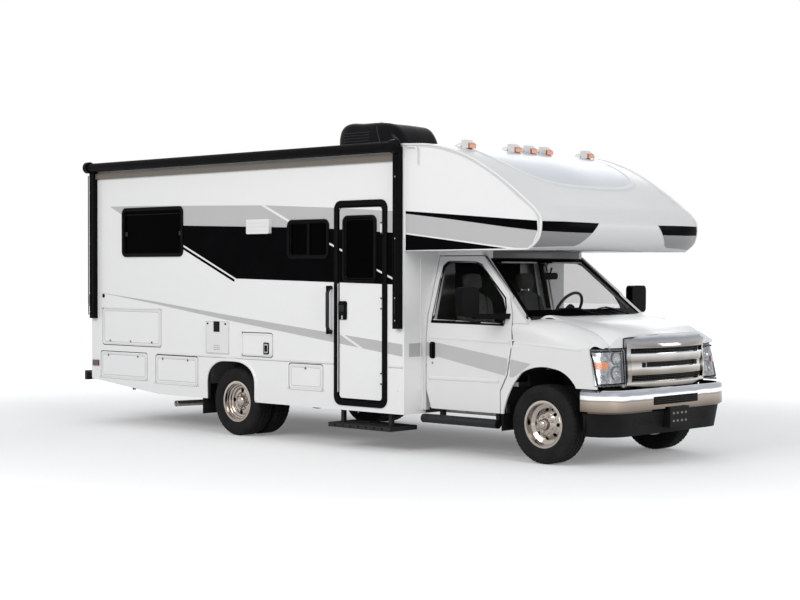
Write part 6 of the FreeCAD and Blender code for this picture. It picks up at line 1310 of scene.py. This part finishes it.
def wiper(piece, trees, pivot, tip, middle):
    """An arm from its pivot in the cowl, and the blade on the glass."""
    start = glass_point(pivot, 0.0) + Vector((0.036, 0.0, 0.012))
    joint = on_glass(trees, pivot + (middle - pivot) * 0.35, 0.045, 0.022)
    end = on_glass(trees, middle, 0.120, 0.020)
    piece.tube(TRIM, smooth_line([start, joint, end], 8), 0.0065, 8)
    piece.lathe(TRIM, [(-0.012, 0.015), (0.008, 0.015), (0.012, 0.011), (0.0125, 0.0)], start, "Z", 1, 20)
    blade = []
    for i in range(15):
        up = 0.075 + 0.075 * math.sin(math.pi * i / 14) * 0.6
        blade.append(on_glass(trees, tip + (pivot - tip) * 0.95 * i / 14, up, 0.011))
    piece.tube(TRIM, blade, 0.0055, 8)
    piece.tube(RUBBER, [p + INTO_GLASS * 0.006 for p in blade], 0.003, 6)


def windshield_trim():
    """Black border and rubber of the windshield, the cowl, two wipers and the mast beside it."""
    piece = Piece("windshield_border", "vehicle", "black_trim")
    trees = trees_of("windshield")
    glass_border(piece, trees)
    cowl(piece)
    wiper(piece, trees, 0.02, -0.62, -0.33)
    wiper(piece, trees, 0.62, 0.06, 0.33)
    mast = (at(-0.235), -0.925, 1.335)
    foot = [(-0.02, 0.017), (0.006, 0.017), (0.016, 0.010), (0.030, 0.006), (0.032, 0.0)]
    piece.lathe(TRIM, foot, mast, "Z", 1, 20)
    piece.tube(TRIM, [mast, (at(-0.262), -0.932, 1.48), (at(-0.295), -0.940, 1.66)], 0.0017, 6)
    piece.done()


def mirror_parts(name, side):
    """Glass, lower lens, edge and arm feet of one mirror."""
    piece = Piece("mirror_parts_" + name, "cab_door_" + name, "chrome")
    trees = trees_of("mirror_" + name)
    x = at(-0.640)
    for low, high, radius in ((1.452, 1.612, 0.024), (1.378, 1.440, 0.018)):
        glass = mirrored(rounded(1.262, 1.452, low, high, radius, 6), side)
        piece.prism(MIRROR, glass, "YZ", x - 0.0035, x + 0.001, 0.001)
    piece.wire(TRIM, mirrored(rounded(1.250, 1.464, 1.368, 1.622, 0.034, 6), side), "YZ", x + 0.001, 0.005)
    foot = [(-0.006, 0.016), (0.002, 0.016), (0.004, 0.010), (0.0042, 0.0)]
    for z in (1.396, 1.560):
        hit = cast(trees, Vector((x + 0.040, side * 1.2, z)), Vector((0, side, 0)))
        if hit is not None:
            piece.lathe(TRIM, foot, hit, "Y", -side, 18)
    piece.done()


def inside_mirror():
    """The mirror behind the windshield, and both sun visors."""
    piece = Piece("inside_mirror", "vehicle", "black_plastic")
    x, y, z = at(-0.705), 0.02, 1.735
    body = rounded(y - 0.120, y + 0.120, z - 0.034, z + 0.034, 0.026, 6)
    piece.prism(TRIM, body, "YZ", x - 0.018, x + 0.014, 0.006, 3)
    glass = rounded(y - 0.112, y + 0.112, z - 0.028, z + 0.028, 0.022, 6)
    piece.prism(MIRROR, glass, "YZ", x - 0.020, x - 0.017, 0.0005)
    stem = [(x + 0.006, y, z + 0.020), (x + 0.020, y, z + 0.060), (x + 0.030, y, z + 0.085)]
    piece.tube(TRIM, stem, 0.007, 10)
    visor = rounded(-0.62, -0.12, -0.895, -0.745, 0.02, 5)
    for side in (-1, 1):
        piece.prism(HEADLINER, [(at(b), a * side) for a, b in visor], "XY", 1.862, 1.876, 0.004)
    piece.done()


# Seats

RECLINE = math.radians(-8)

# x, places across, z, size, crown, material and tilt of the pads of one seat
SEAT_PADS = (
    (-1.045, (0.0,), 0.935, (0.50, 0.34, 0.135), 0.42, CLOTH, 0.0),
    (-1.045, (-0.195, 0.195), 0.940, (0.49, 0.085, 0.155), 0.55, DASH, 0.0),
    (-1.300, (0.0,), 1.285, (0.105, 0.33, 0.60), 0.40, CLOTH, RECLINE),
    (-1.290, (-0.190, 0.190), 1.260, (0.125, 0.085, 0.55), 0.55, DASH, RECLINE),
    (-1.345, (0.0,), 1.680, (0.095, 0.245, 0.165), 0.55, CLOTH, RECLINE),
)


def seat_pad(piece, centre, size, crown, material, tilt):
    """A padded block whose faces crown and whose sides pull in at the corners."""
    count = 14
    half = Vector(size) / 2
    turn = Matrix.Rotation(tilt, 3, "Y")
    grid = {}
    verts = []
    faces = []

    def spot(i, j, k):
        key = (i, j, k)
        if key not in grid:
            u, v, w = (2 * i / count - 1, 2 * j / count - 1, 2 * k / count - 1)
            smooth = Vector([c * math.sqrt(max(1 - (a * a + b * b) / 2 + a * a * b * b / 3, 0.0))
                             for c, a, b in ((u, v, w), (v, u, w), (w, u, v))])
            mixed = Vector((u, v, w)).lerp(smooth, crown)
            place = Vector((mixed.x * half.x, mixed.y * half.y, mixed.z * half.z))
            verts.append(Vector(centre) + turn @ place)
            grid[key] = len(verts) - 1
        return grid[key]

    for i in range(count):
        for j in range(count):
            corners = ((i, j), (i + 1, j), (i + 1, j + 1), (i, j + 1))
            for low in (0, count):
                faces.append([spot(a, b, low) for a, b in corners])
                faces.append([spot(a, low, b) for a, b in corners])
                faces.append([spot(low, a, b) for a, b in corners])
    _, fresh = piece.add(material, verts, faces)
    bmesh.ops.recalc_face_normals(piece.bm, faces=fresh)


def cab_seats():
    """Two bucket seats with padded bolsters, headrests on posts, and their boxes."""
    for name, side in SIDES:
        piece = Piece("seat_pads_" + name, "vehicle", "seat_grey")
        y = 0.42 * side
        for x, shifts, z, size, crown, material, tilt in SEAT_PADS:
            for shift in shifts:
                seat_pad(piece, (at(x), y + shift, z), size, crown, material, tilt)
        for shift in (-0.055, 0.055):
            piece.tube(CHROME, [(at(-1.335), y + shift, 1.56), (at(-1.342), y + shift, 1.64)], 0.006, 10)
        piece.box(PLASTIC, (at(-1.30), at(-0.83)), (y - 0.17, y + 0.17), (0.745, 0.870), 0.012)
        piece.done(40.0, replaces=["cab_seats"] if side < 0 else [])


# Awning, air conditioner and roof

def awning_details():
    """Channels and screws of both arms, the edges of the rolled cloth, and the rail on the wall."""
    piece = Piece("awning_details", "vehicle", "black_trim")
    face = -1.332
    screw = [(0.0, 0.008), (0.003, 0.007), (0.0035, 0.0)]
    for x0, x1 in ((-6.552, -6.474), (-1.590, -1.512)):
        middle = (x0 + x1) / 2
        for shift in (-0.022, 0.022):
            x = at(middle + shift)
            piece.box(TRIM, (x - 0.004, x + 0.004), (face - 0.006, face + 0.002), (1.26, 2.90), 0.0015, 1)
        x = at(middle)
        for z in (1.300, 1.520, 2.100, 2.700):
            piece.lathe(ALLOY, screw, (x, face + 0.001, z), "Y", -1, 16)
        piece.box(PLASTIC, (x - 0.006, x + 0.006), (face - 0.004, face + 0.002), (1.36, 1.50), 0.002, 1)
    for i in range(3):
        turn = math.radians(-60 + 60 * i)
        y, z = -1.362 - 0.048 * math.cos(turn), 2.992 + 0.048 * math.sin(turn)
        piece.tube(TRIM, [(at(-6.45), y, z), (at(-1.575), y, z)], 0.0022, 6)
    piece.box(TRIM, (at(-6.50), at(-1.53)), (-1.300, -1.270), (3.000, 3.018), 0.003)
    piece.tube(TRIM, [(at(-6.45), -1.350, 2.946), (at(-1.575), -1.350, 2.946)], 0.008, 8)
    piece.box(RAIL, (at(-6.474), at(-1.590)), (-1.300, -1.268), (2.857, 2.922), 0.004)
    piece.done()


def handle_sleeve():
    """The moulded grip round the bar of the handle beside the entry door."""
    piece = Piece("handle_sleeve", "vehicle", "black_trim")
    line = ((-1.272, 1.615), (-1.312, 1.600), (-1.330, 1.560), (-1.330, 1.220), (-1.312, 1.180),
            (-1.272, 1.165))
    piece.tube(PLASTIC, [(at(-2.492), y, z) for y, z in line], 0.019, 14)
    piece.done()


def louvre(piece, trees, starts, run):
    """A fine bar through the places where the rays from these starts meet the cover."""
    hits = [cast(trees, Vector(start), run) for start in starts]
    line = [hit - run * 0.002 for hit in hits if hit is not None]
    if len(line) > 2:
        piece.tube(PLASTIC, line, 0.005, 6)


def aircon_details():
    """The seam round the cover, and the louvres of its sides and rear."""
    piece = Piece("aircon_details", "vehicle", "black_plastic")
    trees = trees_of("roof_aircon")
    seam = []
    for i in range(41):
        turn = math.pi * i / 40
        y, z = -0.46 * math.cos(turn), 3.00 + 0.46 * math.sin(turn)
        start = Vector((at(-2.72 + 0.10 * math.cos(turn * 2) - 0.05), y, z))
        way = Vector((0, -y, 3.10 - z)).normalized()
        hit = cast(trees, start, way)
        if hit is not None:
            seam.append(hit - way * 0.001)
    piece.tube(PLASTIC, seam, 0.006, 8)
    for side in (-1, 1):
        for i in range(7):
            starts = [(at(-3.24 + 0.38 * k / 8), side * 2.0, 3.09 + 0.030 * i) for k in range(9)]
            louvre(piece, trees, starts, Vector((0, -side, 0)))
    for i in range(8):
        starts = [(at(-4.5), -0.24 + 0.48 * i / 7, 3.10 + 0.20 * k / 6) for k in range(7)]
        louvre(piece, trees, starts, Vector((1, 0, 0)))
    piece.done()


def roof_details():
    """Ribs and foot frames of the roof vents, the raised lid, the roof's edges and two pipe caps."""
    piece = Piece("roof_details", "vehicle", "white_plastic")
    for x in (-5.750, -4.450):
        for y in (-0.10 + 0.10 * i for i in range(3)):
            rib = (at(x - 0.205) + 0.02, at(x + 0.205) - 0.02)
            piece.box(MOULD, rib, (y - 0.006, y + 0.006), (3.092, 3.098), 0.002, 1)
        piece.box(MOULD, (at(x - 0.225), at(x + 0.225)), (-0.225, 0.225), (3.016, 3.032), 0.006)
    lid = [(-0.205, 3.098), (0.150, 3.196), (0.195, 3.205), (0.200, 3.196), (0.155, 3.184), (-0.200, 3.092)]
    piece.prism(MOULD, lid, "YZ", at(-5.955), at(-5.545), 0.003)
    roof = trees_of("house_roof", "front_cap")
    for y in (-1.235, 1.235):
        ridge(piece, MOULD, [(at(-6.53), y), (at(WALL_FRONT), y)], 0.030, 0.004, roof, DOWN, 0.4)
    ridge(piece, MOULD, [(at(-1.485), -1.24), (at(-1.485), 1.24)], 0.045, 0.004, roof, DOWN, 0.08)
    cap = [(0.0, 0.060), (0.010, 0.058), (0.012, 0.030), (0.060, 0.026), (0.064, 0.036), (0.080, 0.034),
           (0.084, 0.0)]
    for x, y in ((-5.10, 0.75), (-3.70, 0.80)):
        piece.lathe(MOULD, cap, (at(x), y, 3.019), "Z", 1, 32)
    piece.done()


def marker_housings():
    """White teardrop housings behind the amber lamps on the nose."""
    piece = Piece("marker_housings", "vehicle", "white_plastic")
    cap = trees_of("front_cap")
    for y in (-0.950, -0.250, 0.0, 0.250, 0.950):
        rows = []
        for i in range(13):
            share = i / 12
            x = at(-0.985) - 0.020 + 0.120 * share - 0.105
            wide = 0.055 * math.sqrt(max(1 - (1 - share) ** 2, 0.0)) + 0.003
            tall = 0.040 * math.sin(math.pi * min(share, 0.98) * 0.62)
            row = []
            for k in range(9):
                turn = math.pi * k / 8
                spot = Vector((x, y - wide * math.cos(turn), 5.0))
                base = cast(cap, spot, Vector(DOWN))
                row.append(Vector((x, spot.y, base.z - 0.001 + tall * math.sin(turn))))
            rows.append(row)
        face_out(piece.sheet(MOULD, rows)[1], Vector(DOWN))
    piece.done(50.0)


# Below and behind

def step_details():
    """Ribs and end caps of the running boards, and the entry step's grip strips and rivets."""
    piece = Piece("step_details", "vehicle", "chassis_black")
    cap = [(-0.004, 0.044), (0.006, 0.042), (0.010, 0.030), (0.011, 0.0)]
    for _, side in SIDES:
        for i in range(3):
            y = side * (1.042 + 0.018 * i)
            z = 0.345 + math.sqrt(max(0.042 ** 2 - (abs(y) - 1.060) ** 2, 0.0))
            piece.tube(PLASTIC, [(at(-1.405), y, z), (at(-0.475), y, z)], 0.0035, 8)
        for x, way in ((-1.412, -1), (-0.468, 1)):
            piece.lathe(TRIM, cap, (at(x), side * 1.060, 0.345), "X", way, 28)
    for y in (-1.255 + 0.034 * i for i in range(6)):
        piece.box(PLASTIC, (at(-2.46), at(-1.71)), (y - 0.006, y + 0.006), (0.2485, 0.2535), 0.0015, 1)
    for i in range(7):
        rivet = [(0.0, 0.011), (0.0015, 0.011), (0.0018, 0.0)]
        piece.lathe(TRIM, rivet, (at(-2.42 + 0.11 * i), -1.290, 0.2275), "Y", -1, 16)
    piece.done()


def wheel_house_liners():
    """Liners of the front wheel houses, and the flaps behind all wheels."""
    piece = Piece("wheel_house_liners", "vehicle", "tank_black")
    for _, side in SIDES:
        rows = []
        for i in range(25):
            turn = math.radians(198 - 216 * i / 24)
            x, z = at(0.0) + 0.475 * math.cos(turn), 0.46 + 0.475 * math.sin(turn)
            rows.append([(x, side * 0.60, z), (x, side * 0.80, z + 0.004), (x, side * 0.965, z)])
        _, fresh = piece.sheet(TANK, rows)
        for face in fresh:
            face.normal_update()
            middle = face.calc_center_median()
            if face.normal.dot(middle - Vector((at(0.0), middle.y, 0.46))) > 0:
                face.normal_flip()
        for x, flap in ((-0.492, ((0.76, 0.275), (0.985, 0.275), (0.985, 0.600), (0.76, 0.620))),
                        (-4.560, ((0.72, 0.205), (1.235, 0.205), (1.235, 0.530), (0.72, 0.530)))):
            piece.prism(RUBBER, mirrored(flap, side), "YZ", at(x), at(x + 0.008), 0.002)
    piece.done()


def exhaust_tip():
    """The bright end of the exhaust below the skirt."""
    piece = Piece("exhaust_tip", "vehicle", "exhaust_steel")
    profile = [(0.0, 0.0335), (0.012, 0.036), (0.016, 0.036), (0.016, 0.030), (-0.06, 0.030)]
    piece.lathe(CHROME, profile, (at(-5.060), -1.190, 0.285), "Y", -1, 32)
    piece.done()


def rear_details():
    """Lamp bezels and bars, reflectors, clearance lamps, plate bracket, belt and bumper stops at the back."""
    piece = Piece("rear_details", "vehicle", "black_trim")
    for _, side in SIDES:
        y = 1.060 * side
        piece.wire(TRIM, rounded(y - 0.101, y + 0.101, 0.854, 1.236, 0.012, 4), "YZ", at(-6.553), 0.008)
        for z in (0.985, 1.105):
            bar = ((at(-6.581), at(-6.576)), (y - 0.094, y + 0.094), (z - 0.003, z + 0.003))
            piece.box(TRIM, *bar, 0.001, 1)
        reflector = rounded(y - 0.045, y + 0.045, 0.720, 0.765, 0.008, 4)
        piece.prism(RED, reflector, "YZ", at(-6.556), at(-6.550), 0.001)
    for y in (-0.20, 0.0, 0.20, -1.05, 1.05):
        lamp = rounded(y - 0.045, y + 0.045, 2.860, 2.890, 0.010, 4)
        piece.prism(RED, lamp, "YZ", at(-6.561), at(-6.550), 0.002)
    piece.prism(TRIM, rounded(-0.160, 0.160, 0.660, 0.830, 0.010, 4), "YZ", at(-6.556), at(-6.550), 0.001)
    belt = [(-1.24, BELT_Z), (1.24, BELT_Z)]
    ridge(piece, MOULD, belt, 0.022, 0.0045, trees_of("wall_rear"), (1, 0, 0), 0.4)
    for y in (-0.66, 0.66):
        piece.lathe(RUBBER, [(0.0, 0.030), (0.010, 0.028), (0.012, 0.0)], (at(-6.751), y, 0.535), "X", -1, 24)
    piece.done()


def front_wall_trim():
    """Upright mouldings on the house's front wall, beside the cab."""
    piece = Piece("front_wall_trim", "vehicle", "white_plastic")
    trees = trees_of("cab_surround")
    for side in (-1, 1):
        for y, z0, z1 in ((1.235, 0.40, 1.96), (1.030, 0.46, 1.90)):
            ridge(piece, MOULD, [(y * side, z0), (y * side, z1)], 0.016, 0.004, trees, BACK, 0.4)
    piece.done()


# Floor and light

FLOOR_REACH = 60.0

# Name, place, target, size, energy and colour of each lamp
LAMPS = (
    ("key", (at(-1.8), -13.2, 7.4), (at(-3.0), 0.0, 1.4), (9.0, 4.5), 850.0, (1.0, 0.985, 0.96)),
    ("front", (at(11.5), -4.0, 5.0), (at(-1.0), 0.0, 1.4), (6.0, 5.0), 560.0, (1.0, 0.99, 0.975)),
    ("back", (at(-9.0), 11.0, 7.0), (at(-3.0), 0.0, 1.2), (8.0, 5.0), 330.0, (0.95, 0.98, 1.0)),
    ("far_side", (at(8.0), 10.0, 3.5), (at(-1.5), 1.1, 1.6), (4.0, 3.0), 130.0, (1.0, 1.0, 1.0)),
)


def looked_at(tree):
    """One where the ray comes from the camera, a mirror or through glass."""
    path = put(tree, "LightPath").outputs
    most = path["Is Camera Ray"]
    for kind in ("Is Glossy Ray", "Is Transmission Ray"):
        most = joined(tree, "MAXIMUM", most, path[kind])
    return most


def show(tree, output, lit, seen):
    """One shader for the light, and another for what the camera, mirrors and glass see."""
    mix = put(tree, "MixShader", {"Fac": looked_at(tree), 1: lit, 2: seen})
    put(tree, output, {"Surface": mix.outputs["Shader"]})


def make_floor():
    """A pale floor that keeps the object's shadow and turns white further out."""
    corners = ((-FLOOR_REACH, -FLOOR_REACH), (FLOOR_REACH, -FLOOR_REACH), (FLOOR_REACH, FLOOR_REACH),
               (-FLOOR_REACH, FLOOR_REACH))
    mesh = bpy.data.meshes.new("floor")
    mesh.from_pydata([(x, y, -0.001) for x, y in corners], [], [(0, 1, 2, 3)])
    floor = bpy.data.objects.new("floor", mesh)
    scene.collection.objects.link(floor)
    material, tree = new_material("pale_floor")
    tree.nodes.clear()
    diffuse = put(tree, "BsdfDiffuse", (), {"Color": (0.58, 0.58, 0.58, 1)}).outputs["BSDF"]
    near = put(tree, "BsdfDiffuse", (), {"Color": (0.80, 0.80, 0.80, 1)}).outputs["BSDF"]
    place = put(tree, "TexCoord").outputs["Object"]
    away = put(tree, "VectorMath", {0: place}, operation="LENGTH").outputs["Value"]
    reach = {"From Min": 4.0, "From Max": 13.0, "To Min": 0.16, "To Max": 0.80}
    fade = put(tree, "MapRange", {"Value": away}, reach, interpolation_type="SMOOTHSTEP").outputs["Result"]
    glow = put(tree, "Emission", {"Strength": fade}, {"Color": (1, 1, 1, 1)}).outputs["Emission"]
    both = put(tree, "AddShader", {0: near, 1: glow}).outputs["Shader"]
    show(tree, "OutputMaterial", diffuse, both)
    mesh.materials.append(material)


def make_light():
    """A pale sky that looks white, and four soft lamps."""
    world = bpy.data.worlds.new("studio")
    scene.world = world
    world.use_nodes = True
    tree = world.node_tree
    tree.nodes.clear()
    lit = put(tree, "Background", (), {"Color": (0.94, 0.97, 1.0, 1), "Strength": 0.60})
    white = put(tree, "Background", (), {"Color": (1, 1, 1, 1), "Strength": 1.0})
    show(tree, "OutputWorld", lit.outputs["Background"], white.outputs["Background"])
    for name, place, target, size, energy, colour in LAMPS:
        data = bpy.data.lights.new(name, "AREA")
        data.shape = "RECTANGLE"
        data.size, data.size_y = size
        data.energy = energy
        data.color = colour
        lamp = bpy.data.objects.new(name, data)
        scene.collection.objects.link(lamp)
        lamp.location = place
        lamp.rotation_euler = (Vector(target) - Vector(place)).to_track_quat("-Z", "Y").to_euler()


make_camera()
make_floor()
make_light()
dress_nodes()
for name, side in SIDES:
    wall_film(name, side)
    cab_film(name, side)
    cab_creases(name, side)
    headlamp_parts(name, side)
    mirror_parts(name, side)
for build in (door_film, nose_film, nose_panel, body_mouldings, wheels, grille_slots, bumper_details,
              hatch_fittings, wall_fittings, window_details, entry_fittings, windshield_trim, inside_mirror,
              cab_seats, awning_details, handle_sleeve, aircon_details, roof_details, marker_housings,
              step_details, wheel_house_liners, exhaust_tip, rear_details, front_wall_trim):
    build()

scene.view_settings.view_transform = "Standard"
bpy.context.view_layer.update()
